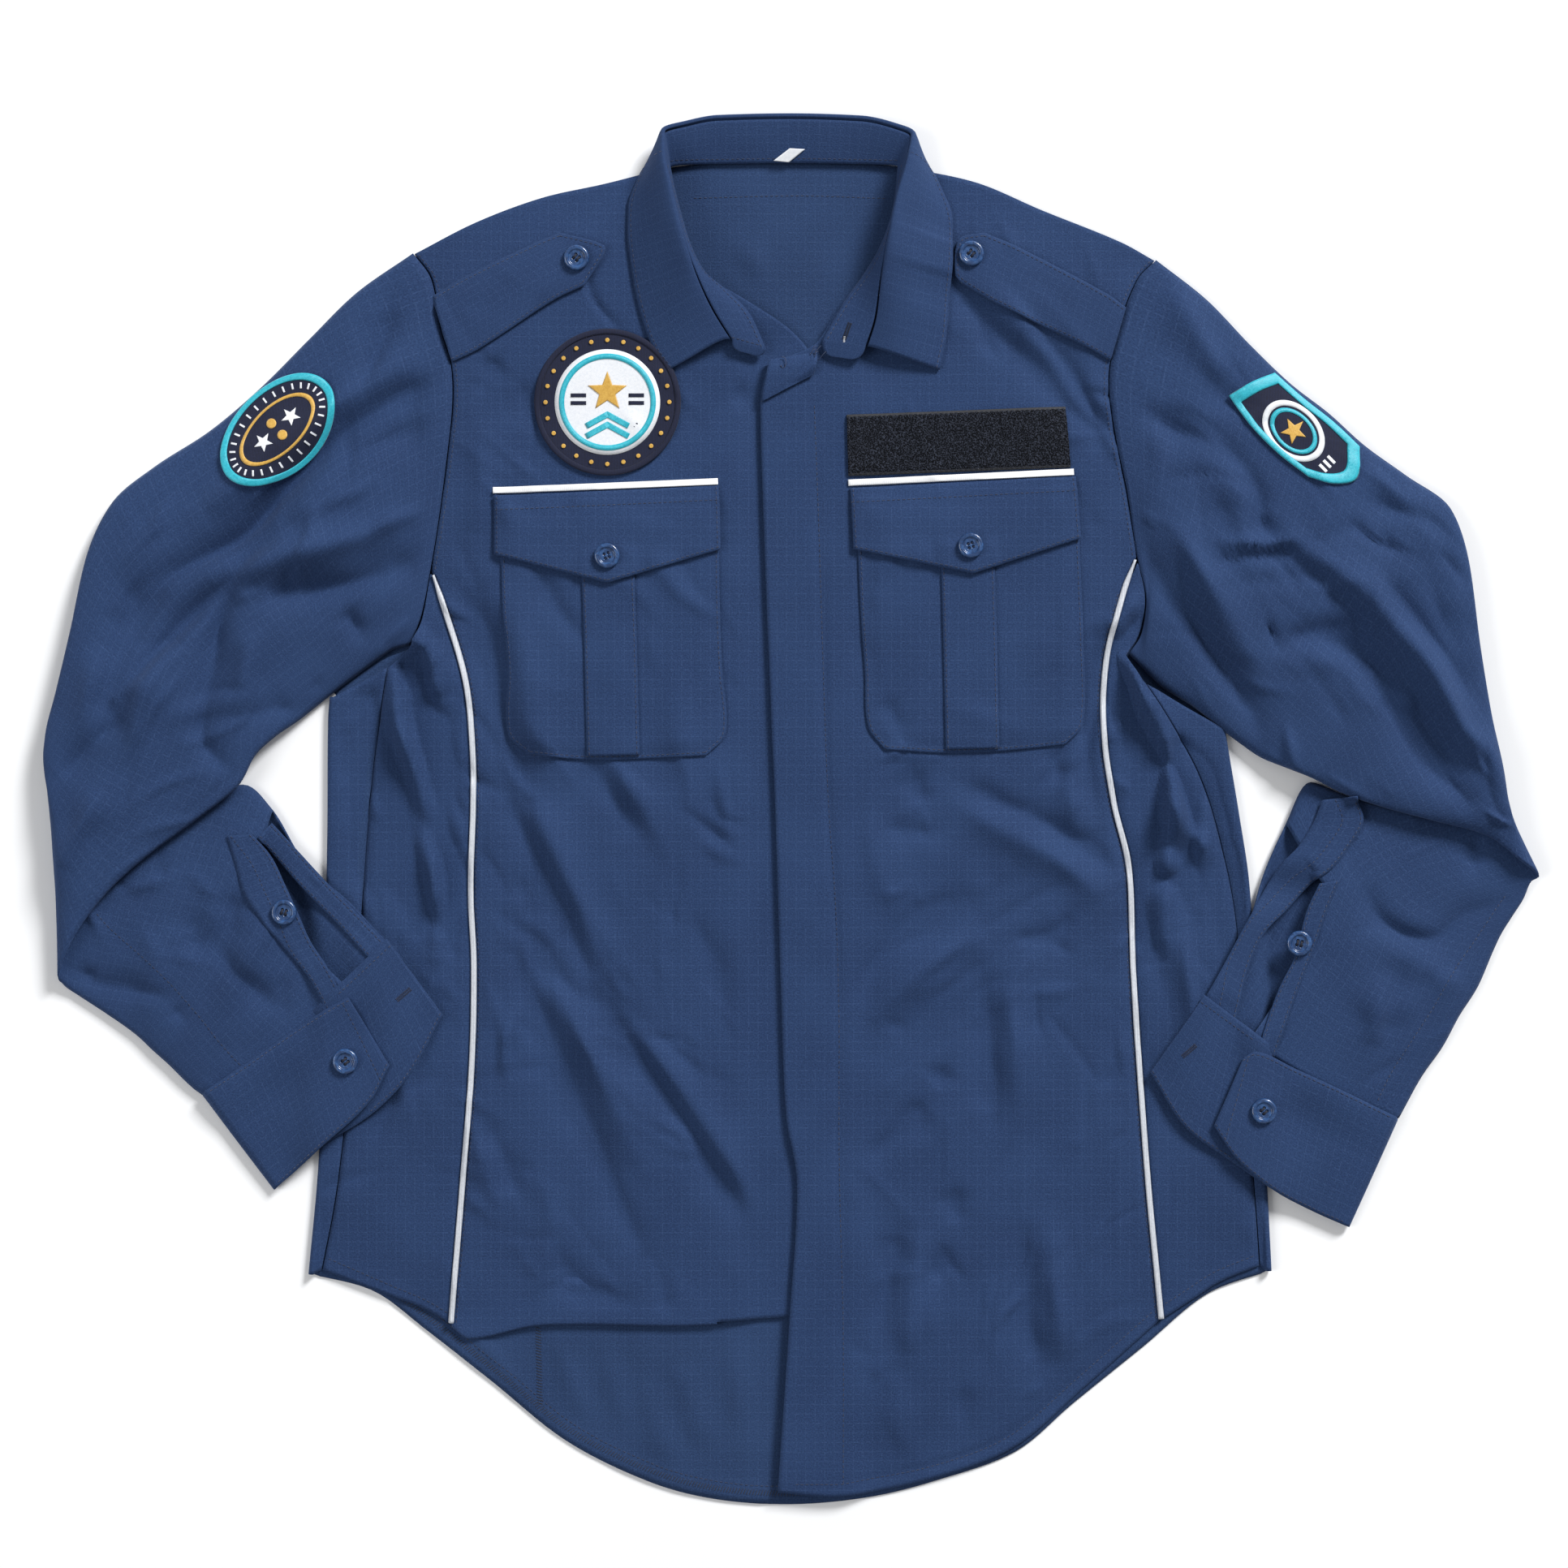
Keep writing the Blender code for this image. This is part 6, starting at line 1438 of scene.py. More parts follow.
@dataclass
class Body:
    """Back, both fronts, side panels, the strip behind the fly and the piping."""

    wardrobe: Wardrobe
    finishes: Finishes
    piping_width: float = 2.9
    strip_width: float = 22.0
    strip_cells: int = 16
    turn_cells: int = 9
    flap_cells: int = 14
    side_cells: int = 30
    tape_reach: float = 7.0
    tape_z: float = 0.05
    turned_above: float = 1.9
    turned_beyond: float = 205.0
    back_columns: int = 104
    back_rows: int = 50
    pit_rows: int = 8
    shoulder_rows: int = 84
    left_rows: int = 168
    right_rows: int = 204
    seam_pull: float = 0.7
    side_pull: float = 0.8

    def build(self) -> None:
        """Make all the body's pieces."""
        self.build_back()
        self.build_left_front()
        self.build_right_front()
        self.build_fly_strip()
        self.build_sides()
        self.build_piping()
        self.build_seam_tape()

    def back_height(self, x: np.ndarray, y: np.ndarray) -> np.ndarray:
        """The back's middle: flat on the ground with faint creases where it shows, thicker at the hem.

        Args:
            x: places in plan.
            y: places in plan.

        Returns:
            Heights in millimetres.
        """
        shows = np.maximum(ramp(-y, 285.0, 320.0), ramp(y, 285.0, 310.0) * (1 - ramp(np.abs(x), 60.0, 74.0)))
        hem = (1 - ramp(y - edge_y(x, BACK_HEM), 9.0, 12.0)) * ramp(y - edge_y(x, BACK_HEM), 0.0, 2.0)
        under_fly = ramp(x, -20.0, -12.0)
        return (BACK_Z + soft_floor(relief(x, y, BACK_CREASES), 0.0, 0.3) * shows * (1 - under_fly)
                + np.abs(cloth_drift(x, y, 31)) * 0.8 * shows * (1 - under_fly) + 0.45 * hem)

    def turned_edge(self, rim: np.ndarray, seam: np.ndarray, inward: int) -> np.ndarray:
        """Points from a side seam out to the side and round it, down to the back's level.

        Args:
            rim: outermost points, one a row.
            seam: points of the side seam, one a row.
            inward: 1 where the middle of the shirt lies at greater x.

        Returns:
            Rows of points from the seam to the ground.
        """
        near = rim.copy()
        near[:, 0] += inward * SIDE_TURN
        t = evenly(self.flap_cells)[None, :, None]
        flat = seam[:, None] * (1 - t) + near[:, None] * t
        z = side_height(flat[..., 0], flat[..., 1])
        z += relief(flat[..., 0], flat[..., 1], SEAM_DIPS) * self.side_pull
        t = t[..., 0]
        flat[..., 2] = z + (BACK_Z + 2 * SIDE_TURN - z) * t ** 4
        turn = np.linspace(0.0, math.pi, self.turn_cells + 1)[1:-1]
        arc = np.repeat(near[:, None], len(turn), axis=1)
        arc[..., 0] -= inward * SIDE_TURN * np.sin(turn)
        arc[..., 2] = BACK_Z + SIDE_TURN * (1 + np.cos(turn))
        return np.concatenate([flat, arc], axis=1)

    def build_back(self) -> None:
        """The back, turned up over both sides as far as the side seams."""
        columns = self.back_columns
        pit = [PIT_LEFT[0], PIT_RIGHT[0]]
        sides = [PIT_LEFT[-1], PIT_RIGHT[-1]]
        top = SHOULDER_LEFT + BACK_NECK[1:-1] + SHOULDER_RIGHT
        upper = patch(top, pit, shifted(ARMHOLE_LEFT, SEAM), shifted(ARMHOLE_RIGHT, -SEAM), columns,
                      self.back_rows)
        middle = patch(pit, sides, PIT_LEFT, PIT_RIGHT, columns, self.pit_rows)
        count = cells(length_of(SIDE_LEFT))
        lower = patch(sides, BACK_HEM, SIDE_LEFT, SIDE_RIGHT, columns, count)
        left = self.turned_edge(lower[:, 0], smooth_line(shifted(SEAM_LEFT, -SEAM), count + 1), 1)
        right = self.turned_edge(lower[:, -1], smooth_line(shifted(SEAM_RIGHT, SEAM), count + 1), -1)
        body = np.concatenate([upper[:-1], middle[:-1], lower])
        body = lifted(body, self.back_height)
        start = len(body) - len(lower)
        body[start:, 0, 0] += SIDE_TURN
        body[start:, -1, 0] -= SIDE_TURN
        blank = np.full((start, left.shape[1], 3), np.nan)
        grid = np.concatenate([np.concatenate([blank, left]), body,
                               np.concatenate([blank, right[:, ::-1]])], axis=1)
        obj = Shell("back", grid, SHELL, self.finishes.inside).build()
        obj.data.materials.append(self.finishes.cloth)
        self.outside_faces(obj)
        self.wardrobe.keep(obj, "navy_cloth", ("back_panel",))
        self.wardrobe.sheet(obj, *CUT["back"])

    def outside_faces(self, obj: bpy.types.Object) -> None:
        """Give the turned-up edges the cloth's right side; the rest shows its wrong side.

        Args:
            obj: the back.
        """
        number = np.zeros(len(obj.data.polygons), dtype=np.int32)
        centre = np.zeros(len(obj.data.polygons) * 3, dtype=np.float32)
        obj.data.polygons.foreach_get("center", centre)
        centre = centre.reshape(-1, 3) / MM
        number[centre[:, 2] > BACK_Z + self.turned_above] = 1
        sides = np.abs(centre[:, 0]) > self.turned_beyond
        number[~sides] = 0
        obj.data.polygons.foreach_set("material_index", number)

    def build_left_front(self) -> None:
        """The left front, turned under along its lower edge."""
        columns = FRONT_COLUMNS
        split = [PIPING_LEFT[0], (14.0, SPLIT_Y)]
        upper = patch(SHOULDER_LEFT, split, shifted(ARMHOLE_LEFT[:8], SEAM),
                      NECK_LEFT + [(13.0, 262.0), (14.0, 200.0), (14.0, SPLIT_Y)], columns,
                      self.shoulder_rows)
        lower = patch(split, shifted(FRONT_FOLD_LEFT, SEAM), shifted(PIPING_LEFT, SEAM),
                      [(14.0, SPLIT_Y), (14.0, -298.0)], columns, self.left_rows)
        rows = lifted(np.concatenate([upper[:-1], lower]), self.left_height)
        last = rows[-1]
        radius = (FRONT_Z - FRONT_LOW + 0.2) / 2
        turned = []
        steps = [(a, 0.0) for a in (22.5, 45.0, 67.5, 90.0, 112.5, 135.0, 157.5)]
        for degrees, back in steps + [(180.0, b) for b in (0.0, 4.0, 8.0, 14.0, 20.0, 26.0)]:
            angle = math.radians(degrees)
            row = last.copy()
            row[:, 1] += back - radius * math.sin(angle)
            row[:, 2] -= radius * (1 - math.cos(angle))
            row[last[:, 0] >= PRESSED_FROM] = np.nan
            turned.append(row)
        obj = Shell("front_left_cloth", np.concatenate([rows, np.array(turned)]), SHELL,
                    self.finishes.cloth).build()
        self.wardrobe.keep(obj, "navy_cloth", ("front_left",))
        self.wardrobe.sheet(obj, *CUT["front_left"], on=("back",))

    def left_height(self, x: np.ndarray, y: np.ndarray) -> np.ndarray:
        """The left front with its seams pulled in."""
        return (left_front_height(x, y)
                + self.seam_pull * relief(x, y, SEAM_DIPS) * (1 - ramp(x, -60.0, -40.0)))

    def right_height(self, x: np.ndarray, y: np.ndarray) -> np.ndarray:
        """The right front with its seams pulled in."""
        return right_front_height(x, y) + self.seam_pull * relief(x, y, SEAM_DIPS)

    def build_right_front(self) -> None:
        """The right front, whose fly laps over the left one."""
        columns = FRONT_COLUMNS
        split = [FLY_EDGE[0], PIPING_RIGHT[0]]
        upper = patch(SHOULDER_RIGHT, split, NECK_RIGHT[:-1] + FLY_TOP, shifted(ARMHOLE_RIGHT[:7], -SEAM),
                      columns, self.shoulder_rows)
        lower = patch(split, FRONT_HEM_RIGHT, FLY_EDGE, shifted(PIPING_RIGHT, -SEAM), columns,
                      self.right_rows)
        rows = lifted(np.concatenate([upper[:-1], lower]), self.right_height)
        obj = Shell("front_right_cloth", rows, SHELL, self.finishes.cloth).build()
        self.wardrobe.keep(obj, "navy_cloth", ("front_right",))
        self.wardrobe.sheet(obj, *CUT["front_right"], on=("front_left_cloth",))

    def build_fly_strip(self) -> None:
        """The strip behind the fly's edge; its top end is creased over on to the front."""
        edge = smooth_line([(-15.5, 250.0), (-15.0, 180.0)] + shifted(FLY_EDGE, 1.5), 200)
        head = np.array([
            (-17.5, 238.5, 13.0, 254.5, 8.2), (-16.5, 246.0, 14.2, 258.5, 9.4),
            (-14.5, 255.0, 15.2, 263.0, 9.8), (-13.4, 263.0, 15.0, 267.6, 7.6),
            (-13.5, 261.0, 13.0, 266.0, FLY_Z), (-15.5, 250.0, 6.5, 250.0, FLY_Z)])
        spots = np.concatenate([[0.0], np.cumsum(np.linalg.norm(np.diff(head[:, :2], axis=0), axis=1) + 2.0)])
        head = steady_curve(head, spots, np.linspace(0.0, spots[-1], 52))[:-1]
        part = evenly(self.strip_cells)[None, :]
        rows = np.stack([head[:, :1] + (head[:, 2:3] - head[:, :1]) * part,
                         head[:, 1:2] + (head[:, 3:4] - head[:, 1:2]) * part,
                         head[:, 4:5] + 0.0 * part], axis=-1)
        crushed = np.abs(drift(rows[..., 0] - rows[..., 1], rows[..., 1] * 0.4, 6.5, 61))
        rows[..., 2] += 1.6 * crushed * ramp(head[:, 4:5], FLY_Z + 0.5, FLY_Z + 3.0)
        long = np.repeat(edge[:, None], self.strip_cells + 1, axis=1)
        long[..., 0] += self.strip_width * part
        long[..., 1] = np.maximum(long[..., 1], -396.0)
        long[..., 2] = FLY_Z
        rows = np.concatenate([rows, long])
        obj = Shell("fly_facing", rows, TRIM, self.finishes.cloth).build()
        self.wardrobe.keep(obj, "navy_lining", ("fly_strip",))
        self.wardrobe.sheet(obj, *CUT["fly"], on=("front_left_cloth",))

    def build_sides(self) -> None:
        """The two side panels between princess seam and side seam."""
        n = self.side_cells
        wedge = patch([(-212.3, 137.5), (-211.6, 137.8)], [(-222.5, 96.0), (-197.0, 95.0)],
                      [(-212.3, 137.5), (-216.5, 113.0), (-222.5, 96.0)],
                      [(-211.6, 137.8), (-203.6, 115.0), (-197.6, 95.0)], n, 14)
        shelf = patch([(-222.5, 96.0), (-197.6, 95.0)], [(-236.5, 82.5), (-194.2, 83.5)],
                      [(-222.5, 96.0), (-236.5, 82.5)], [(-197.6, 95.0), (-194.2, 83.5)], n, 5)
        main = patch([(-236.5, 82.5), (-194.2, 83.5)], SIDE_HEM_LEFT, shifted(SEAM_LEFT, SEAM),
                     [(-194.2, 83.5)] + shifted(PIPING_LEFT[3:], -SEAM), n, 160)
        self.finish_side(Side.LEFT, np.concatenate([wedge[:-1], shelf[:-1], main]))
        wedge = patch([(203.4, 144.0), (204.0, 143.8)], [(186.2, 90.5), (196.5, 90.0)],
                      [(203.4, 144.0), (195.8, 126.5), (186.2, 90.5)],
                      [(204.0, 143.8), (207.6, 124.0), (205.0, 104.0), (196.5, 90.0)], n, 16)
        shelf = patch([(186.2, 90.5), (196.5, 90.0)], [(184.6, 72.0), (207.0, 72.0)],
                      [(186.2, 90.5), (184.6, 72.0)], [(196.5, 90.0), (207.0, 72.0)], n, 6)
        main = patch([(184.6, 72.0), (207.0, 72.0)], SIDE_HEM_RIGHT,
                     [(184.6, 72.0)] + shifted(PIPING_RIGHT[3:], SEAM), shifted(SEAM_RIGHT, -SEAM), n, 156)
        self.finish_side(Side.RIGHT, np.concatenate([wedge[:-1], shelf[:-1], main]))

    def finish_side(self, side: Side, grid: np.ndarray) -> None:
        """Args:
            side: which side.
            grid: plan points of the panel.
        """
        def height(x: np.ndarray, y: np.ndarray) -> np.ndarray:
            """The panel's height with its seams pulled in."""
            return side_height(x, y) + self.side_pull * relief(x, y, SEAM_DIPS)
        name = f"side_{side.word}_cloth"
        obj = Shell(name, lifted(grid, height), SHELL, self.finishes.cloth).build()
        self.wardrobe.keep(obj, "navy_cloth", (f"side_{side.word}",))
        self.wardrobe.sheet(obj, *CUT[f"side_{side.word}"], on=("back",))

    def build_piping(self) -> None:
        """The bright cord sewn into each princess seam."""
        for side, line, low, shift in ((Side.LEFT, PIPING_LEFT, -302.5, 1.5),
                                       (Side.RIGHT, PIPING_RIGHT, -300.0, -1.2)):
            half = self.piping_width / 2
            run = [(p[0] + half, max(p[1], low)) for p in line[1:]]
            first = (line[0][0] + half + shift, line[0][1] - 2.5)
            grid = band(smooth_line([first] + run, 240), -self.piping_width, 10)
            middle = grid.mean(axis=1, keepdims=True)
            grid = middle + (grid - middle) * (0.35 + 0.65 * ramp(np.arange(len(grid)), 0, 9))[:, None, None]
            under = self.wardrobe.trees(f"front_{side.word}_cloth", f"side_{side.word}_cloth")
            grid = settled(grid, under, 0.6, 1.0, 6)
            across = np.linspace(-1.0, 1.0, 11)[None, :]
            grid[..., 2] += 1.3 * np.sqrt(np.clip(1 - across * across, 0.0, 1.0)) - 0.1
            obj = Shell(f"piping_{side.word}_cord", grid, 0.6, self.finishes.piping).build()
            self.wardrobe.keep(obj, "bright_piping", (f"piping_{side.word}",))

    def build_seam_tape(self) -> None:
        """Bias tape under the armholes and pits, which closes the seams seen from above."""
        for side, armhole, pit in ((Side.LEFT, ARMHOLE_LEFT, PIT_LEFT),
                                   (Side.RIGHT, ARMHOLE_RIGHT, PIT_RIGHT)):
            run = smooth_line(list(armhole) + list(pit[1:]), 200)[1:-2]
            outside = beside(run, side.value * self.tape_reach * 1.2)
            inside = beside(run, side.value * -self.tape_reach * 0.8)
            part = np.linspace(0.0, 1.0, 7)[None, :, None]
            plan = outside[:, None] * (1 - part) + inside[:, None] * part
            grid = np.concatenate([plan, np.full(plan.shape[:2] + (1,), self.tape_z)], axis=-1)
            obj = Shell(f"seam_tape_{side.word}", grid, self.tape_z, self.finishes.inside).build()
            self.wardrobe.keep(obj, "navy_cloth")
            self.wardrobe.sheet(obj, 2 * self.tape_reach, length_of(run.tolist()), None, on=("back",))


@dataclass
class Sleeve:
    """One sleeve: a flattened tube from armhole to cuff, folded back under itself at the elbow."""

    wardrobe: Wardrobe
    finishes: Finishes
    side: Side
    rows: list[Point]
    armhole: Line
    outer_cells: int = 78
    inner_cells: int = 60
    cell: float = 2.9
    seed: int = 50
    under_cuff: float = 4.0
    ground_spread: int = 4
    ground_blur: int = 8
    no_cloth: float = -2.0
    side_lift: float = 1.5
    loft: float = 2.4
    loft_share: float = 0.35

    def shares(self, count: int) -> np.ndarray:
        """Places across a wall, closer together at its sides."""
        s = evenly(count)
        return 0.7 * s + 0.3 * (0.5 - 0.5 * np.cos(math.pi * s))

    def across(self) -> tuple[np.ndarray, np.ndarray]:
        """Places of a ring's points across the sleeve, and whether each is on the outer wall.

        Returns:
            The places and the mask.
        """
        outer = self.shares(self.outer_cells)
        inner = self.shares(self.inner_cells)[1:-1][::-1].copy()
        inner[np.abs(inner - SLIT_ACROSS).argmin()] = SLIT_ACROSS
        return np.concatenate([outer, inner]), np.arange(len(outer) + len(inner)) < len(outer)

    def wall_shape(self, v: np.ndarray, upper: np.ndarray, folded: bool) -> np.ndarray:
        """How far each point of a ring stands from the sleeve's side level, 0 to 1.

        Args:
            v: place across the sleeve.
            upper: whether on the outer wall.
            folded: whether this is the part folded under.

        Returns:
            Shares of the full height.
        """
        near = np.minimum(v, 1 - v)
        if folded:
            return 0.5 + 0.5 * ramp(near, 0.0, 0.04)
        crown = np.clip(1 - np.abs(2 * v - 1) ** 2.2, 0.0, 1.0) ** 0.5
        flat = 1 - np.clip(1 - near / 0.07, 0.0, 1.0) ** 2.4
        return np.where(upper, crown, flat)

    def table_rings(self, v: np.ndarray, outer: np.ndarray) -> tuple[np.ndarray, np.ndarray, np.ndarray]:
        """Rings at the table's rows.

        Args:
            v: places across.
            outer: which points are on the outer wall.

        Returns:
            Points, how much each is on the upper wall, and the sleeve's width at each row.
        """
        cap = smooth_line(self.armhole, 241)
        rings, tops, widths = [], [], []
        for j, row in enumerate(self.rows):
            a, m, b = (np.array([row[k], row[k + 1]]) for k in (0, 2, 4))
            control = m * 2 - (a + b) / 2
            t = v[:, None]
            if j == 0:
                plan = cap[np.round(v * 240).astype(int), :2] + [self.side.value * ARMHOLE_GAP, 0.0]
            else:
                plan = a * (1 - t) ** 2 + control * 2 * t * (1 - t) + b * t * t
            outer_z, inner_z, lift = row[6], row[7], row[8]
            low = min(outer_z, inner_z)
            edge = low + min(FORM_EDGE, abs(outer_z - inner_z) / 2)
            upper = outer if outer_z > inner_z else ~outer
            wall = np.where(outer, outer_z, inner_z)
            z = edge + (wall - edge) * self.wall_shape(v, upper, lift > 0.0)
            rings.append(np.concatenate([plan, z[:, None]], axis=1))
            tops.append(upper.astype(float))
            widths.append(np.linalg.norm(b - a))
        return np.array(rings), np.array(tops), np.array(widths)

    def build(self) -> None:
        """Make the sleeve."""
        v, outer = self.across()
        rings, tops, widths = self.table_rings(v, outer)
        steps = np.linalg.norm(np.diff(rings, axis=0), axis=2).mean(axis=1)
        at = np.concatenate([[0.0], np.cumsum(steps)])
        want = [0.0]
        for j, step in enumerate(steps):
            fine = self.cell / 2 if FOLD_ROWS[0] - 1 <= j <= FOLD_ROWS[1] else self.cell
            want += list(np.linspace(at[j], at[j + 1], max(3, round(step / fine)) + 1)[1:])
        want = np.array(want)
        points = steady_curve(rings, at, want)
        top = np.clip(steady_curve(tops, at, want), 0.0, 1.0)
        width = np.interp(want, at, widths)
        x, y = points[..., 0], points[..., 1]
        crown = np.clip(4 * v * (1 - v), 0.0, 1.0)[None, :] ** 0.4
        free = ramp(want, 4.0, 22.0)[:, None] * (1 - ramp(want, at[-1] - 20.0, at[-1] - 2.0) * 0.6)[:, None]
        upper_arm = np.where(outer, 1.0, 0.0)[None, :] * top
        forearm = np.where(outer, 0.0, 1.0)[None, :] * top
        uneven = 1.5 * cloth_drift(x, y, self.seed + self.side.value)
        creased = (upper_arm * (SLEEVE_DEPTH * relief(x, y, SLEEVE_CREASES + SLEEVE_SMALL) + uneven)
                   + forearm * (relief(x, y, FOREARM_CREASES + FOREARM_SMALL) + 0.8 * uneven)) * crown * free
        low = np.interp(want, at, [min(row[6], row[7]) for row in self.rows])[:, None]
        level = points[..., 2] + creased
        level = np.where(top > 0.5, soft_floor(level, low + 1.5 * crown, 0.5), level)
        points[..., 2] = np.where(top > 0.5, level, points[..., 2])
        self.seat(points, v, outer, want, at, low)
        end = points[-1, :, :2] - points[-4, :, :2]
        end /= np.maximum(np.linalg.norm(end, axis=1), 1e-9)[:, None]
        run_in = ramp(want, at[-1] - 14.0, at[-1])[:, None, None]
        points[..., :2] += end[None] * self.under_cuff * run_in * top[..., None]
        weave = np.stack([(v[None, :] - 0.5) * width[:, None] + np.where(outer, 0.0, 400.0)[None, :],
                          np.repeat(want[:, None], len(v), axis=1)], axis=-1)
        holes = np.zeros((len(points) - 1, len(v)), dtype=bool)
        slit = int(np.searchsorted(want, at[SLIT_ROW] - 1e-6))
        first = int(np.flatnonzero(~outer & (v == SLIT_ACROSS))[0])
        holes[slit:, first:] = True
        obj = Shell(f"sleeve_{self.side.word}_cloth", points, SHELL, self.finishes.cloth, weave, True,
                    holes).build()
        self.wardrobe.keep(obj, "navy_cloth", (f"sleeve_{self.side.word}",))
        self.wardrobe.sheet(obj, *CUT["sleeve"], held="folded", on=("back",))

    def seat(self, points: np.ndarray, v: np.ndarray, outer: np.ndarray, want: np.ndarray,
             at: np.ndarray, low: np.ndarray) -> None:
        """Lift the part of the forearm that lies on the body.

        Args:
            points: all points of the sleeve, changed in place.
            v: place across the sleeve.
            outer: whether on the outer wall.
            want: distances of the rings.
            at: distances of the stations.
            low: lowest height of each ring.
        """
        first = int(np.searchsorted(want, at[SEATED_FROM]))
        names = ("back", "front_left_cloth", "side_left_cloth") if self.side is Side.LEFT else (
            "back", "front_right_cloth", "side_right_cloth")
        part = points[first:]
        under = highest(part[..., 0], part[..., 1], self.wardrobe.trees(*names), 0.0)
        ground = np.where(np.isnan(under), self.no_cloth, under)
        ground = blurred(spread(ground, self.ground_spread), self.ground_blur)
        touching = ramp(ground, -1.6, 0.6)
        seat = ground + GAP + SHELL / 2
        z = part[..., 2]
        near = np.minimum(v, 1 - v)[None, :]
        side = self.side_lift * (1 - ramp(near, 0.0, 0.06))
        pillow = (self.loft + (z - low[first:]) * self.loft_share) * ramp(near, 0.0, 0.08)
        raised = np.maximum(z, seat + side + np.where(outer[None, :], 0.0, pillow))
        part[..., 2] = z + (raised - z) * touching


@dataclass
class Cuff:
    """An unbuttoned cuff: a stiff double strip round the sleeve's end, with its two plackets above."""

    wardrobe: Wardrobe
    finishes: Finishes
    side: Side
    stations: list[Point]
    columns: int = 34
    placket_cells: int = 10
    placket_sag: float = 0.5
    placket_ease: int = 90
    sewn_depth: float = 0.7
    tuck: float = 16.0
    lap_reach: float = 30.0

    def build(self) -> None:
        """Make the cuff and the plackets."""
        table = np.array(self.stations, dtype=float)
        size = (np.linalg.norm(np.diff(table[:, :2], axis=0), axis=1)
                + np.linalg.norm(np.diff(table[:, 2:4], axis=0), axis=1)) / 2 + 4.0 * np.abs(
                    np.diff(table[:, 4]))
        at = np.concatenate([[0.0], np.cumsum(size)])
        want = np.linspace(0.0, at[-1], cells(at[-1], 2.0) + 1)
        fine = steady_curve(table, at, want)
        t = evenly(self.columns)
        seam = fine[:, :2]
        hem = fine[:, 2:4]
        down = hem - seam
        down /= np.linalg.norm(down, axis=1)[:, None]
        layer = np.clip(fine[:, 4], 0.0, 1.0)[:, None]
        lapped = np.maximum(ramp(layer, 0.4, 0.9), ramp(want, at[-4], at[-3])[:, None])
        seam = seam + down * (CUFF_SEAM_GAP - CUFF_OVERLAP * lapped)
        plan = seam[:, None] * (1 - t[None, :, None]) + hem[:, None] * t[None, :, None]
        body = ("back", f"front_{self.side.word}_cloth", f"side_{self.side.word}_cloth")
        under = highest(plan[..., 0], plan[..., 1], self.wardrobe.trees(*body), 0.0)
        ground = np.where(np.isnan(under), -0.6, under)
        ground = np.maximum(blurred(spread(ground, 7), 60), blurred(spread(ground, 1), 2))
        low = np.maximum(ground + 0.5, 0.0) + DOUBLE / 2
        bend = np.sin(math.pi * t)[None, :] * 0.9 * layer
        wave = 0.5 * cloth_drift(plan[..., 0], plan[..., 1], 80) * (0.3 + 0.7 * layer)
        z = low + CUFF_LIFT * layer + bend + np.abs(wave)
        sleeve = highest(plan[..., 0], plan[..., 1],
                         self.wardrobe.trees(f"sleeve_{self.side.word}_cloth"), 0.8)
        bare = ramp(want, at[-4], at[-3])[:, None]
        held = np.maximum(ramp(layer, 0.6, 0.9), bare)
        lap = np.where(np.isnan(sleeve) | (held < 0.5), 0.0, sleeve + GAP + DOUBLE / 2)
        edge = np.repeat(lap[:, :4].max(axis=1)[:, None], 3, axis=1)
        edge = np.maximum(blurred(spread(edge, 3), 12)[:, :1], z[:, :1])
        near = 1 - ramp(t * np.linalg.norm(hem - seam, axis=1)[:, None], CUFF_OVERLAP, self.lap_reach)
        z = z + (edge - z[:, :1]) * near * held
        weave = np.stack([np.repeat(want[:, None], len(t), axis=1),
                          np.repeat(t[None, :] * 70.0, len(want), axis=0)], axis=-1)
        grid = np.concatenate([plan, z[..., None]], axis=-1)
        obj = Shell(f"cuff_{self.side.word}_cloth", grid, DOUBLE, self.finishes.cloth, weave).build()
        self.wardrobe.keep(obj, "navy_cloth", (f"cuff_{self.side.word}",))
        self.wardrobe.sheet(obj, *CUT["cuff"], held="folded", on=("back",))
        self.build_plackets()

    def build_plackets(self) -> None:
        """The strips on both sides of the slit."""
        plan = PLACKETS[self.side]
        sleeve = self.wardrobe.trees(f"sleeve_{self.side.word}_cloth")
        for part, free, sewn in (("placket", plan.over, plan.over_sewn),
                                 ("placket_under", plan.under, plan.under_sewn)):
            length = length_of(free)
            count = cells(length, FINE_CELL) + 1
            t = evenly(self.placket_cells)[None, :, None]
            rows = smooth_line(sewn, count)[:, None] * (1 - t) + smooth_line(free, count)[:, None] * t
            width = float(np.linalg.norm(rows[:, -1, :2] - rows[:, 0, :2], axis=1).mean())
            grid = settled(rows, sleeve, TRIM, 1.5, 8, 0.4)
            along = np.linspace(0.0, length, count)[:, None]
            top = blurred(np.repeat(grid[..., 2].max(axis=1)[:, None], 2, axis=1), self.placket_ease)[:, :1]
            eased = np.maximum(grid[..., 2], top - self.placket_sag * t[..., 0])
            tucked = ramp(along, length - self.tuck, length - 3.0)
            grid[..., 2] = eased * (1 - tucked) + grid[..., 2] * tucked
            grid[..., 2] -= self.sewn_depth * (1 - ramp(t[..., 0], 0.0, 0.3))
            across = width * t[..., 0]
            weave = np.stack([across + 0 * along, along + 0 * across], axis=-1)
            obj = Shell(f"{part}_{self.side.word}_cloth", grid, TRIM, self.finishes.cloth, weave).build()
            self.wardrobe.keep(obj, "navy_cloth", (f"{part}_{self.side.word}",))
            self.wardrobe.sheet(obj, width, length, None, on=(f"sleeve_{self.side.word}_cloth",))


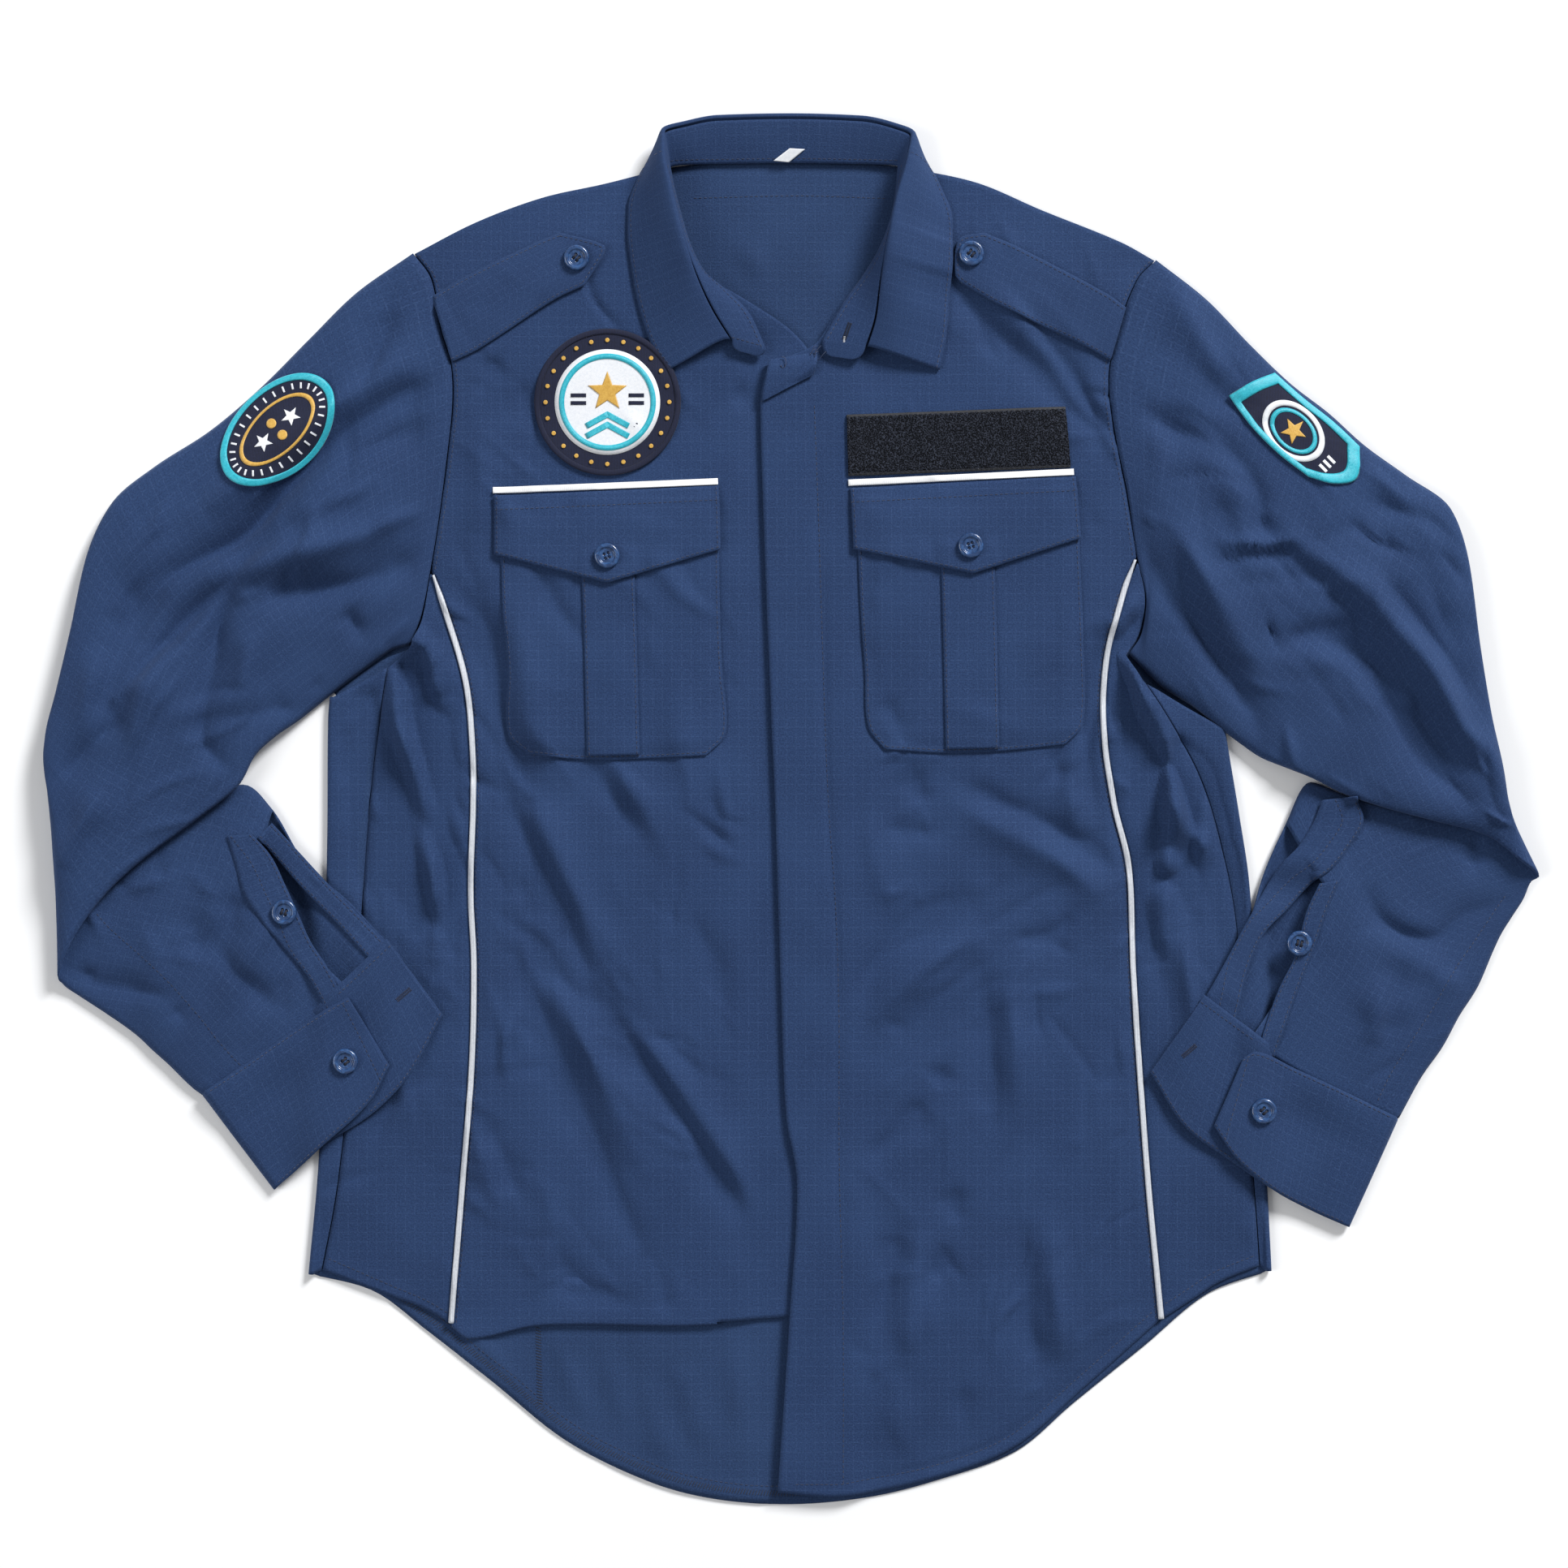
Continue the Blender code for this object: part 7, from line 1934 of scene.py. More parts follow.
@dataclass
class Collar:
    """The standing band round the neck, the leaf that falls from it, and the neck tag."""

    wardrobe: Wardrobe
    finishes: Finishes
    rows: int = 200
    stand_cells: int = 14
    end_rows: int = 9
    end_left: float = 5.0
    end_right: float = 9.0
    leaf_cells: int = 36

    def build(self) -> None:
        """Make stand, leaf and tag."""
        table = np.array(COLLAR, dtype=float)
        fold = table[:, 3:6]
        at = np.concatenate([[0.0], np.cumsum(np.linalg.norm(np.diff(fold, axis=0), axis=1))])
        want = np.linspace(0.0, at[-1], self.rows + 1)
        fine = steady_curve(table, at, want)
        seam, fold, edge, drop = fine[:, 0:3], fine[:, 3:6], fine[:, 6:8], fine[:, 8]
        t = evenly(self.stand_cells)[None, :, None]
        stand = seam[:, None] * (1 - t) + fold[:, None] * t
        stand[..., 2] += 0.5 * np.sin(math.pi * t[..., 0])
        stand = np.concatenate([self.rounded_end(stand[0], stand[1], self.end_left)[::-1], stand,
                                self.rounded_end(stand[-1], stand[-2], self.end_right)])
        obj = Shell("collar_stand_cloth", stand, DOUBLE, self.finishes.cloth,
                    self.flat_places(at[-1], 30.0, self.stand_cells, len(stand))).build()
        self.wardrobe.keep(obj, "navy_cloth", ("collar_stand",))
        self.wardrobe.sheet(obj, *CUT["stand"], on=("back",))

        up = fold - seam
        up /= np.linalg.norm(up, axis=1)[:, None]
        start = fold + up * LEAF_GAP
        under = highest(edge[:, 0:1], edge[:, 1:2], self.trees(), 3.0)[:, 0]
        behind = np.abs(want - at[10]) < (at[12] - at[8]) / 2 + 4.0
        seat = np.where(behind | np.isnan(under), 0.0, under + GAP) + DOUBLE / 2
        seat = np.maximum(seat, np.convolve(np.pad(seat, 4, mode="edge"), np.ones(9) / 9, "valid"))
        end = np.concatenate([edge, seat[:, None]], axis=1)
        lead = start + up * 6.0
        middle = np.concatenate([(start[:, :2] + end[:, :2]) / 2, (seat + drop)[:, None]], axis=1)
        t = evenly(self.leaf_cells)[None, :, None]
        leaf = (start[:, None] * (1 - t) ** 3 + lead[:, None] * 3 * t * (1 - t) ** 2
                + middle[:, None] * 3 * t * t * (1 - t) + end[:, None] * t ** 3)
        x, y = leaf[..., 0], leaf[..., 1]
        below = highest(x, y, self.trees(), 1.0)
        below = np.where(np.isnan(below), 0.0, below + GAP) + DOUBLE / 2
        below = np.maximum(blurred(below, 4), below)
        wave = 0.35 * cloth_drift(x, y, 90) * np.sin(math.pi * np.clip(t[..., 0], 0, 1))
        leaf[..., 2] = np.maximum(leaf[..., 2] + wave, np.where(t[..., 0] > 0.35, below, 0.0))
        obj = Shell("collar_leaf_cloth", leaf, DOUBLE, self.finishes.cloth,
                    self.flat_places(at[-1], 66.0, self.leaf_cells, len(leaf))).build()
        self.wardrobe.keep(obj, "navy_cloth", ("collar_leaf",))
        self.wardrobe.sheet(obj, *CUT["leaf"], on=("front_left_cloth", "front_right_cloth"))
        self.build_tag()

    def rounded_end(self, last: np.ndarray, before: np.ndarray, reach: float) -> np.ndarray:
        """Rows that carry the stand on past the leaf and round its end.

        Args:
            last: the stand's last row.
            before: the row next to it.
            reach: how far the end stands out.

        Returns:
            Rows of points from the last one outward.
        """
        middle = last.mean(axis=0)
        across = last[-1] - last[0]
        way = np.cross(across, [0.0, 0.0, 1.0])
        way[2] = 0.0
        way /= np.linalg.norm(way)
        way *= np.sign(((last - before).mean(axis=0) * way).sum())
        angle = np.linspace(0.0, math.pi / 2, self.end_rows + 1)[1:, None, None] * 0.94
        place = last[None] + way * reach * np.sin(angle)
        narrow = np.cos(angle) ** 0.45
        rows = (middle + way * reach * np.sin(angle)) * (1 - narrow) + place * narrow
        under = highest(rows[..., 0], rows[..., 1], self.trees() + self.wardrobe.trees("fly_facing"), 1.0)
        low = np.where(np.isnan(under), 0.0, under + GAP) + DOUBLE / 2
        rows[..., 2] = np.maximum(rows[..., 2] - 1.2 * np.sin(angle)[..., 0], blurred(low, 3))
        return rows

    def flat_places(self, length: float, depth: float, columns: int, rows: int) -> np.ndarray:
        """Where each point lies on the flat piece.

        Args:
            length: length of the piece.
            depth: its depth.
            columns: cells across.
            rows: rows along.

        Returns:
            Places in millimetres.
        """
        along = np.linspace(0.0, length, rows)[:, None]
        across = np.linspace(0.0, depth, columns + 1)[None, :]
        return np.stack([along + 0 * across, across + 0 * along], axis=-1)

    def trees(self) -> list[BVHTree]:
        """What the leaf lies on."""
        return self.wardrobe.trees("front_left_cloth", "front_right_cloth", "strap_left_cloth",
                                   "strap_right_cloth")

    def build_tag(self) -> None:
        """The blank white tag at the back of the neck."""
        tl, tr, br, bl = NECK_TAG
        grid = patch([tl, tr], [bl, br], [tl, bl], [tr, br], 14, 8)
        grid = settled(grid, self.wardrobe.trees("collar_stand_cloth", "back"), 0.5, 0.8, 3, 0.3)
        obj = Shell("neck_tag_cloth", grid, 0.5, self.finishes.tag).build()
        self.wardrobe.keep(obj, "white_tag", ("neck_tag",))
        self.wardrobe.sheet(obj, *CUT["tag"], on=("collar_stand_cloth",))


@dataclass
class Pocket:
    """A chest pocket: bag, box pleat, pointed flap and the bright tape along the flap's top."""

    wardrobe: Wardrobe
    finishes: Finishes
    side: Side
    plan: PocketPlan
    wide: float = 130.0
    tall: float = 150.0
    puff: float = 1.3
    pleat_cells: int = 20
    flap_half: float = 66.0
    flap_deep: float = 44.0
    flap_lift: float = 0.9
    tape_wall: float = 0.6
    tape_cells: int = 6
    tape_points: int = 90

    def front(self) -> list[BVHTree]:
        """What the pocket is sewn on."""
        return self.wardrobe.trees(f"front_{self.side.word}_cloth")

    def edge_share(self, rows: int, columns: int, soft: float) -> np.ndarray:
        """Rise from 0 at a grid's edge to 1 inside it.

        Args:
            rows: rows of the grid.
            columns: columns of the grid.
            soft: how many cells the rise takes.

        Returns:
            Shares, one for each point.
        """
        v = evenly(rows)[:, None]
        u = evenly(columns)[None, :]
        return (ramp(np.minimum(u, 1 - u), 0.0, soft) * ramp(np.minimum(v, 1 - v), 0.0, soft))

    def build(self) -> None:
        """Make the four pieces."""
        plan = self.plan
        side = self.side.word
        columns = cells(self.wide, FINE_CELL)
        rows = cells(self.tall, FINE_CELL)
        grid = patch(plan.top, plan.bottom, plan.left, plan.right, columns, rows)
        grid = settled(grid, self.front(), TRIM, 1.5, 3, 0.35)
        inside = self.edge_share(rows, columns, 0.10)
        grid[..., 2] += inside * (self.puff + 0.7 * cloth_drift(grid[..., 0], grid[..., 1], 60))
        bag = Shell(f"pocket_{side}_cloth", grid, TRIM, self.finishes.cloth).build()
        self.wardrobe.keep(bag, "navy_cloth", (f"pocket_{side}",))
        self.wardrobe.sheet(bag, *CUT["pocket"], on=(f"front_{side}_cloth",))

        on_bag = self.front() + self.wardrobe.trees(f"pocket_{side}_cloth")
        length = length_of(plan.pleat)
        grid = band(smooth_line(plan.pleat, cells(length, FINE_CELL) + 1), plan.pleat_width,
                    self.pleat_cells)
        grid = settled(grid, on_bag, TRIM, 1.0, 3)
        u = evenly(self.pleat_cells)[None, :]
        grid[..., 2] += 0.5 * np.sin(math.pi * u) ** 0.5 + 0.4 * np.abs(
            cloth_drift(grid[..., 0], grid[..., 1], 64))
        pleat = Shell(f"pleat_{side}_cloth", grid, TRIM, self.finishes.cloth).build()
        self.wardrobe.keep(pleat, "navy_cloth", (f"pleat_{side}",))
        self.wardrobe.sheet(pleat, plan.pleat_width, length, None, on=(f"pocket_{side}_cloth",))

        on_pleat = on_bag + self.wardrobe.trees(f"pleat_{side}_cloth")
        top_middle = plan.flap_top[1]
        half = cells(self.flap_half, FINE_CELL)
        deep = cells(self.flap_deep, FINE_CELL)
        left = patch([plan.flap_top[0], top_middle], [plan.flap_left[-1], plan.flap_point], plan.flap_left,
                     [top_middle, plan.flap_point], half, deep)
        right = patch([top_middle, plan.flap_top[2]], [plan.flap_point, plan.flap_right[-1]],
                      [top_middle, plan.flap_point], plan.flap_right, half, deep)
        grid = settled(np.concatenate([left, right[:, 1:]], axis=1), on_pleat, SHELL, 1.5, 5, 0.4)
        v = evenly(deep)[:, None]
        grid[..., 2] += self.flap_lift * v * v + 0.3 * self.edge_share(deep, 2 * half, 0.08) + 0.3 * np.abs(
            cloth_drift(grid[..., 0], grid[..., 1], 68))
        flap = Shell(f"flap_{side}_cloth", grid, SHELL, self.finishes.cloth).build()
        self.wardrobe.keep(flap, "navy_cloth", (f"flap_{side}",))
        self.wardrobe.sheet(flap, *CUT["flap"], on=(f"pocket_{side}_cloth",))

        grid = band(smooth_line(plan.strip, self.tape_points), STRIP_WIDTH, self.tape_cells)
        grid = settled(grid, self.front() + self.wardrobe.trees(f"flap_{side}_cloth"),
                       self.tape_wall, 1.0, 4)
        grid[..., 2] += 0.25 * np.sin(math.pi * evenly(self.tape_cells))[None, :] ** 0.5
        tape = Shell(f"tape_{side}", grid, self.tape_wall, self.finishes.tape).build()
        self.wardrobe.keep(tape, "bright_tape", (f"strip_{side}",))


@dataclass
class Strap:
    """A shoulder strap, sewn in at the armhole and buttoned near the collar."""

    wardrobe: Wardrobe
    finishes: Finishes
    side: Side
    plan: StrapPlan
    length: float = 100.0
    width: float = 44.0
    wall: float = 1.2
    weave_length: float = 115.0
    weave_width: float = 48.0

    def build(self) -> None:
        """Make the strap."""
        plan = self.plan
        columns = cells(self.length, FINE_CELL)
        rows = cells(self.width, FINE_CELL)
        grid = patch(plan.top, plan.bottom, [plan.top[0], plan.bottom[0]], plan.tip, columns, rows)
        front = self.wardrobe.trees(f"front_{self.side.word}_cloth")
        grid = settled(grid, front, self.wall, 1.5, 6, 0.4)
        v = evenly(rows)[:, None]
        u = evenly(columns)[None, :]
        grid[..., 2] += 0.9 * np.sin(math.pi * v) ** 0.6 + 0.7 * u + 0.3 * np.abs(
            cloth_drift(grid[..., 0], grid[..., 1], 72))
        weave = np.stack([u * self.weave_length + 0 * v, v * self.weave_width + 0 * u], axis=-1)
        obj = Shell(f"strap_{self.side.word}_cloth", grid, self.wall, self.finishes.cloth, weave).build()
        self.wardrobe.keep(obj, "navy_cloth", (f"epaulette_{self.side.word}",))
        self.wardrobe.sheet(obj, *CUT["strap"], on=(f"front_{self.side.word}_cloth",))


class Tie(Enum):
    """How a button's holes are threaded."""

    OPEN = "four open holes"
    BARS = "two bars of thread"


@dataclass
class Button:
    """A four-hole shirt button: a dish with a raised rim, and its thread."""

    wardrobe: Wardrobe
    finishes: Finishes
    name: str
    place: Point
    under: tuple[str, ...]
    tie: Tie
    turn: float = 0.3
    radius: float = 7.5
    height: float = 2.8
    hole: float = 0.95
    hole_off: float = 1.75
    rings: int = 34
    sides: int = 72

    def profile(self, r: np.ndarray) -> np.ndarray:
        """Height of the turned face over its underside at a distance from the middle.

        Args:
            r: distances in millimetres.

        Returns:
            Heights in millimetres.
        """
        share = r / self.radius
        dish = 0.60 + 0.04 * share
        rim = dish + (1.0 - dish) * ramp(share, 0.56, 0.72)
        rounded = np.sqrt(np.clip(1 - ((share - 0.82) / 0.18) ** 2, 0.0, 1.0))
        return self.height * np.where(share > 0.82, 0.42 + 0.58 * rounded, rim)

    def build(self) -> None:
        """Make the button and its thread."""
        x0, y0 = self.place
        spots = np.array([[x0, y0], [x0 + 5, y0], [x0 - 5, y0], [x0, y0 + 5], [x0, y0 - 5]])
        under = self.wardrobe.trees(*self.under)
        base = float(np.nanmax(highest(spots[:, 0], spots[:, 1], under, 0.0))) + GAP
        share = evenly(self.rings)[1:] ** 0.9
        angle = np.linspace(0.0, math.tau, self.sides, endpoint=False) + self.turn
        r = self.radius * share[:, None] + 0 * angle[None, :]
        u = r * np.cos(angle)
        v = r * np.sin(angle)
        z = self.profile(r)
        for a in range(4):
            spin = self.turn + math.tau * (a + 0.5) / 4
            cu = self.hole_off * math.cos(spin)
            cv = self.hole_off * math.sin(spin)
            away = np.hypot(u - cu, v - cv)
            z = 0.35 + (z - 0.35) * ramp(away, self.hole * 0.72, self.hole * 1.12)
        verts = [(x0, y0, base + self.height * 0.6)]
        verts += [(x0 + a, y0 + b, base + c) for a, b, c in zip(u.ravel(), v.ravel(), z.ravel())]
        last = len(verts)
        verts += [(x0 + 0.72 * a, y0 + 0.72 * b, base) for a, b in zip(u[-1], v[-1])]
        verts.append((x0, y0, base))
        n = self.sides
        faces: list[tuple[int, ...]] = [(0, 1 + s, 1 + (s + 1) % n) for s in range(n)]
        for k in range(self.rings):
            start = 1 + k * n
            faces += [(start + s, start + n + s, start + n + (s + 1) % n, start + (s + 1) % n)
                      for s in range(n)]
        faces += [(last + (s + 1) % n, last + s, len(verts) - 1) for s in range(n)]
        obj = solid(self.name + "_resin", verts, faces, self.finishes.resin)
        self.wardrobe.keep(obj, "button_resin", (self.name,))
        if self.tie is Tie.BARS:
            self.build_thread(x0, y0, base)

    def build_thread(self, x0: float, y0: float, base: float) -> None:
        """Two bars of thread that join the holes in pairs, each of four strands.

        Args:
            x0: middle of the button.
            y0: middle of the button.
            base: height of its underside.
        """
        verts: list[Point] = []
        faces: list[tuple[int, ...]] = []
        off = self.hole_off * math.sin(math.pi / 4)
        for bar in (-1, 1):
            for strand in range(4):
                across = bar * off + (strand - 1.5) * 0.3
                line = []
                for t in np.linspace(-1.0, 1.0, 9):
                    along = t * (off + 0.15)
                    rise = 0.55 * math.sqrt(max(1 - t * t, 0.0)) - 0.5 * abs(t) ** 6
                    line.append((along, across * (1 - 0.1 * (1 - t * t)), self.height * 0.62 + rise))
                tube(verts, faces, [(x0 + a * math.cos(self.turn) - b * math.sin(self.turn),
                                     y0 + a * math.sin(self.turn) + b * math.cos(self.turn), base + c)
                                    for a, b, c in line], 0.2)
        obj = solid(self.name + "_thread", verts, faces, self.finishes.dark_thread)
        self.wardrobe.keep(obj, "navy_cloth")


def tube(verts: list[Point], faces: list[tuple[int, ...]], line: list[Point], radius: float,
         sides: int = 6) -> None:
    """Add a closed round tube along a run of points to a mesh's lists.

    Args:
        verts: points, added to.
        faces: faces, added to.
        line: the run.
        radius: how thick the tube is.
        sides: corners of its section.
    """
    path = np.array(line)
    along = np.gradient(path, axis=0)
    along /= np.maximum(np.linalg.norm(along, axis=1), 1e-9)[:, None]
    side = np.cross(along, [0.0, 0.0, 1.0])
    side /= np.maximum(np.linalg.norm(side, axis=1), 1e-9)[:, None]
    top = np.cross(side, along)
    start = len(verts)
    for p, s, t in zip(path, side, top):
        for k in range(sides):
            a = math.tau * k / sides
            verts.append(tuple(p + radius * (math.cos(a) * s + math.sin(a) * t)))
    for j in range(len(path) - 1):
        for k in range(sides):
            n = (k + 1) % sides
            faces.append((start + j * sides + k, start + j * sides + n, start + (j + 1) * sides + n,
                          start + (j + 1) * sides + k))
    faces.append(tuple(start + k for k in range(sides))[::-1])
    faces.append(tuple(start + (len(path) - 1) * sides + k for k in range(sides)))


def solid(name: str, verts: list[Point], faces: list[tuple[int, ...]],
          material: bpy.types.Material) -> bpy.types.Object:
    """Make an object from points in millimetres and faces.

    Args:
        name: name of the piece.
        verts: its points.
        faces: its faces.
        material: its finish.

    Returns:
        The object.
    """
    mesh = bpy.data.meshes.new(name)
    mesh.from_pydata([(a * MM, b * MM, c * MM) for a, b, c in verts], [], faces)
    mesh.shade_smooth()
    mesh.materials.append(material)
    obj = bpy.data.objects.new(name, mesh)
    bpy.context.scene.collection.objects.link(obj)
    return obj


@dataclass
class HookStrip:
    """The loop strip over the right pocket: brushed pile between two smooth selvedges."""

    wardrobe: Wardrobe
    finishes: Finishes
    cell: float = 0.85
    selvedge: float = 1.5
    seed: int = 5

    def build(self) -> None:
        """Make the strip."""
        tl, tr, br, bl = HOOK_STRIP
        columns = cells(129.0, self.cell)
        rows = cells(36.0, self.cell)
        grid = patch([tl, tr], [bl, br], [tl, bl], [tr, br], columns, rows)
        coarse = patch([tl, tr], [bl, br], [tl, bl], [tr, br], 50, 16)
        coarse = settled(coarse, self.wardrobe.trees("front_right_cloth", "strap_right_cloth"), 1.0, 1.5, 4)
        v = np.linspace(0.0, 16.0, rows + 1)
        u = np.linspace(0.0, 50.0, columns + 1)
        part = np.stack([np.interp(u, np.arange(51.0), line) for line in coarse[..., 2]])
        grid[..., 2] = np.stack([np.interp(v, np.arange(17.0), line) for line in part.T]).T
        noise = np.random.RandomState(self.seed).rand(rows + 1, columns + 1)
        edge = np.minimum(np.arange(rows + 1), rows - np.arange(rows + 1))[:, None] * self.cell
        pile = ramp(edge, self.selvedge * 0.7, self.selvedge * 1.5)
        grid[..., 2] += pile * (0.45 + 0.65 * noise ** 1.4)
        grid[..., 0] += pile * 0.2 * (noise - 0.5)
        obj = Shell("loop_strip", grid, 1.0, self.finishes.pile).build()
        obj.data.materials.append(self.finishes.selvedge)
        centres = np.repeat((np.minimum(np.arange(rows), rows - 1 - np.arange(rows)) + 0.5) * self.cell
                            < self.selvedge, columns)
        obj.data.polygons.foreach_set("material_index", centres.astype(np.int32))
        self.wardrobe.keep(obj, "hook_and_loop", ("hook_strip",))
        self.wardrobe.sheet(obj, *CUT["loop"], on=("front_right_cloth",))


def beside(line: np.ndarray, distance: float) -> np.ndarray:
    """A run of plan points moved to its left by a distance.

    Args:
        line: the run.
        distance: how far, below zero for its right.

    Returns:
        The moved run.
    """
    along = np.gradient(line[:, :2], axis=0)
    along /= np.maximum(np.linalg.norm(along, axis=1), 1e-9)[:, None]
    return line[:, :2] + distance * np.stack([-along[:, 1], along[:, 0]], axis=1)


@dataclass(frozen=True)
class Stitch:
    """Size of one stitch as it shows, how far apart they are, and how they slant."""

    length: float = 2.2
    width: float = 0.55
    height: float = 0.42
    pitch: float = 3.0
    slant: float = 0.0


@dataclass
class Stitching:
    """Rows of stitches laid on the cloth, one mesh for each place."""

    wardrobe: Wardrobe
    finishes: Finishes
    plain: Stitch = Stitch()
    overlock: Stitch = Stitch(4.6, 0.5, 0.4, 1.7, 1.25)
    buttonhole: Stitch = Stitch(1.5, 0.45, 0.4, 0.6, 1.57)
    placket_row: float = 12.5
    frayed_at: tuple[Point, ...] = ((10.5, 265.0), (12.4, 266.0), (14.0, 265.4), (15.0, 262.5), (11.4, 266.8),
                                    (13.3, 263.8))

    def sew(self, name: str, lines: list[np.ndarray], on: tuple[str, ...], kind: Stitch | None = None,
            material: bpy.types.Material | None = None) -> None:
        """Lay rows of stitches.

        Args:
            name: the piece's name.
            lines: plan points of each row.
            on: what the rows lie on.
            kind: which stitch.
            material: which thread.
        """
        kind = kind or self.plain
        spots, ways = [], []
        for line in lines:
            line = np.asarray(line)[:, :2]
            total = float(np.linalg.norm(np.diff(line, axis=0), axis=1).sum())
            count = max(1, round(total / kind.pitch))
            fine = resample(line, 2 * count + 1)
            way = fine[2::2] - fine[:-2:2]
            way /= np.maximum(np.linalg.norm(way, axis=1), 1e-9)[:, None]
            c, s = math.cos(kind.slant), math.sin(kind.slant)
            spots.append(fine[1::2])
            ways.append(np.stack([way[:, 0] * c - way[:, 1] * s, way[:, 0] * s + way[:, 1] * c], axis=1))
        spot = np.concatenate(spots)
        way = np.concatenate(ways)
        side = np.stack([-way[:, 1], way[:, 0]], axis=1)
        trees = self.wardrobe.trees(*on)
        ends = [highest(p[:, 0], p[:, 1], trees, 0.0)
                for p in (spot - way * kind.length / 2, spot, spot + way * kind.length / 2)]
        ok = ~(np.isnan(ends[0]) | np.isnan(ends[1]) | np.isnan(ends[2]))
        ok &= (np.abs(ends[0] - ends[1]) < 1.5) & (np.abs(ends[2] - ends[1]) < 1.5)
        half = kind.width / 2
        rows = []
        for share, z, swell in ((-0.5, ends[0], 0.0), (-0.3, ends[0] * 0.6 + ends[1] * 0.4, 0.85),
                                (0.3, ends[2] * 0.6 + ends[1] * 0.4, 0.85), (0.5, ends[2], 0.0)):
            middle = np.concatenate([spot + way * share * kind.length, z[:, None]], axis=1)
            out = np.concatenate([side * half * swell, np.zeros((len(spot), 1))], axis=1)
            rise = np.array([0.0, 0.0, kind.height * swell])
            if swell == 0.0:
                rows.append(middle[:, None] - [0.0, 0.0, 0.08])
            else:
                rows.append(np.stack([middle - out, middle + rise, middle + out, middle - [0.0, 0.0, 0.15]],
                                     axis=1))
        block = np.concatenate(rows, axis=1)[ok]
        tips = ([(0, 1 + k, 1 + (k + 1) % 4) for k in range(4)]
                + [(9, 5 + (k + 1) % 4, 5 + k) for k in range(4)])
        belts = [(1 + k, 5 + k, 5 + (k + 1) % 4, 1 + (k + 1) % 4) for k in range(4)]
        verts = block.reshape(-1, 3).tolist()
        faces = [tuple(10 * n + i for i in face) for n in range(len(block)) for face in tips + belts]
        obj = solid(name, verts, faces, material or self.finishes.thread)
        self.wardrobe.keep(obj, "navy_cloth")

    def build(self) -> None:
        """Sew everything."""
        self.sew_body()
        self.sew_sleeves()
        self.sew_pockets()
        self.sew_collar()
        self.build_loose_threads()

    def sew_body(self) -> None:
        """Fly, piping, armholes and hems."""
        right = ("front_right_cloth",)
        left = ("front_left_cloth",)
        self.sew("stitches_right", [
            smooth_line(FLY_STITCH, 300),
            smooth_line(shifted(PIPING_RIGHT[1:], -3.0), 200),
            smooth_line(shifted(ARMHOLE_RIGHT[:7], -2.6), 120),
            beside(smooth_line(FRONT_HEM_RIGHT[1:], 120), 7.5),
            smooth_line([(2.0, -397.0), (28.0, -397.0)], 12)], right)
        self.sew("stitches_left", [
            smooth_line(shifted(PIPING_LEFT[1:], 3.0), 200),
            smooth_line(shifted(ARMHOLE_LEFT[:8], 2.6), 120)], left)
        self.sew("stitches_sides", [
            beside(smooth_line(SIDE_HEM_LEFT, 60), 7.0), beside(smooth_line(SIDE_HEM_RIGHT, 60), 7.0)],
            ("side_left_cloth", "side_right_cloth"))
        hem = smooth_line(BACK_HEM[1:9], 200)
        self.sew("stitches_back_hem", [beside(hem, 10.5)], ("back",))
        fold = smooth_line([(-149.0, -305.0), (-148.0, -351.0)], 20)
        self.sew("overlock_back_hem", [beside(hem, 6.5), fold], ("back",), self.overlock,
                 self.finishes.dark_thread)
        self.sew("stitches_yoke", [smooth_line([(-58.0, 359.0), (4.0, 360.5), (56.0, 359.0)], 40)], ("back",))

    def sew_sleeves(self) -> None:
        """Sleeve seams, plackets and cuffs."""
        for side, seam in ((Side.LEFT, FOREARM_SEAM_LEFT), (Side.RIGHT, FOREARM_SEAM_RIGHT)):
            word = side.word
            plan = PLACKETS[side]
            self.sew(f"stitches_forearm_{word}", [smooth_line(seam, 80)], (f"sleeve_{word}_cloth",))
            rows = []
            for free, sewn in ((plan.over, plan.over_sewn), (plan.under, plan.under_sewn)):
                free, sewn = smooth_line(free, 80)[:, :2], smooth_line(sewn, 80)[:, :2]
                far = np.linalg.norm(sewn - free, axis=1)[:, None]
                for inside in (1.6, np.minimum(far - 1.6, self.placket_row)):
                    rows.append(free + (sewn - free) * inside / far)
            self.sew(f"stitches_placket_{word}", rows,
                     (f"placket_{word}_cloth", f"placket_under_{word}_cloth"))
            stations = np.array(CUFF_LEFT if side is Side.LEFT else CUFF_RIGHT)
            top = stations[:5]
            below = stations[9:]
            rows = []
            for part in (top, below):
                down = part[:, 2:4] - part[:, :2]
                down /= np.linalg.norm(down, axis=1)[:, None]
                rows.append(smooth_line((part[:, :2] + down * (0.2 if part is top else 3.0)).tolist(), 60))
                rows.append(smooth_line((part[:, 2:4] - down * 1.8).tolist(), 60))
            first = top[0] * 0.55 + top[1] * 0.45
            rows.append(smooth_line([tuple(first[:2]), tuple(first[2:4])], 30))
            self.sew(f"stitches_cuff_{word}", rows, (f"cuff_{word}_cloth",))
            for name, (start, end) in BUTTONHOLES[side].items():
                hole = resample(np.array([start, end]), 20)
                self.sew(f"buttonhole_{name}_{word}", [beside(hole, 0.7), beside(hole, -0.7)],
                         (f"cuff_{word}_cloth", f"placket_under_{word}_cloth"), self.buttonhole)

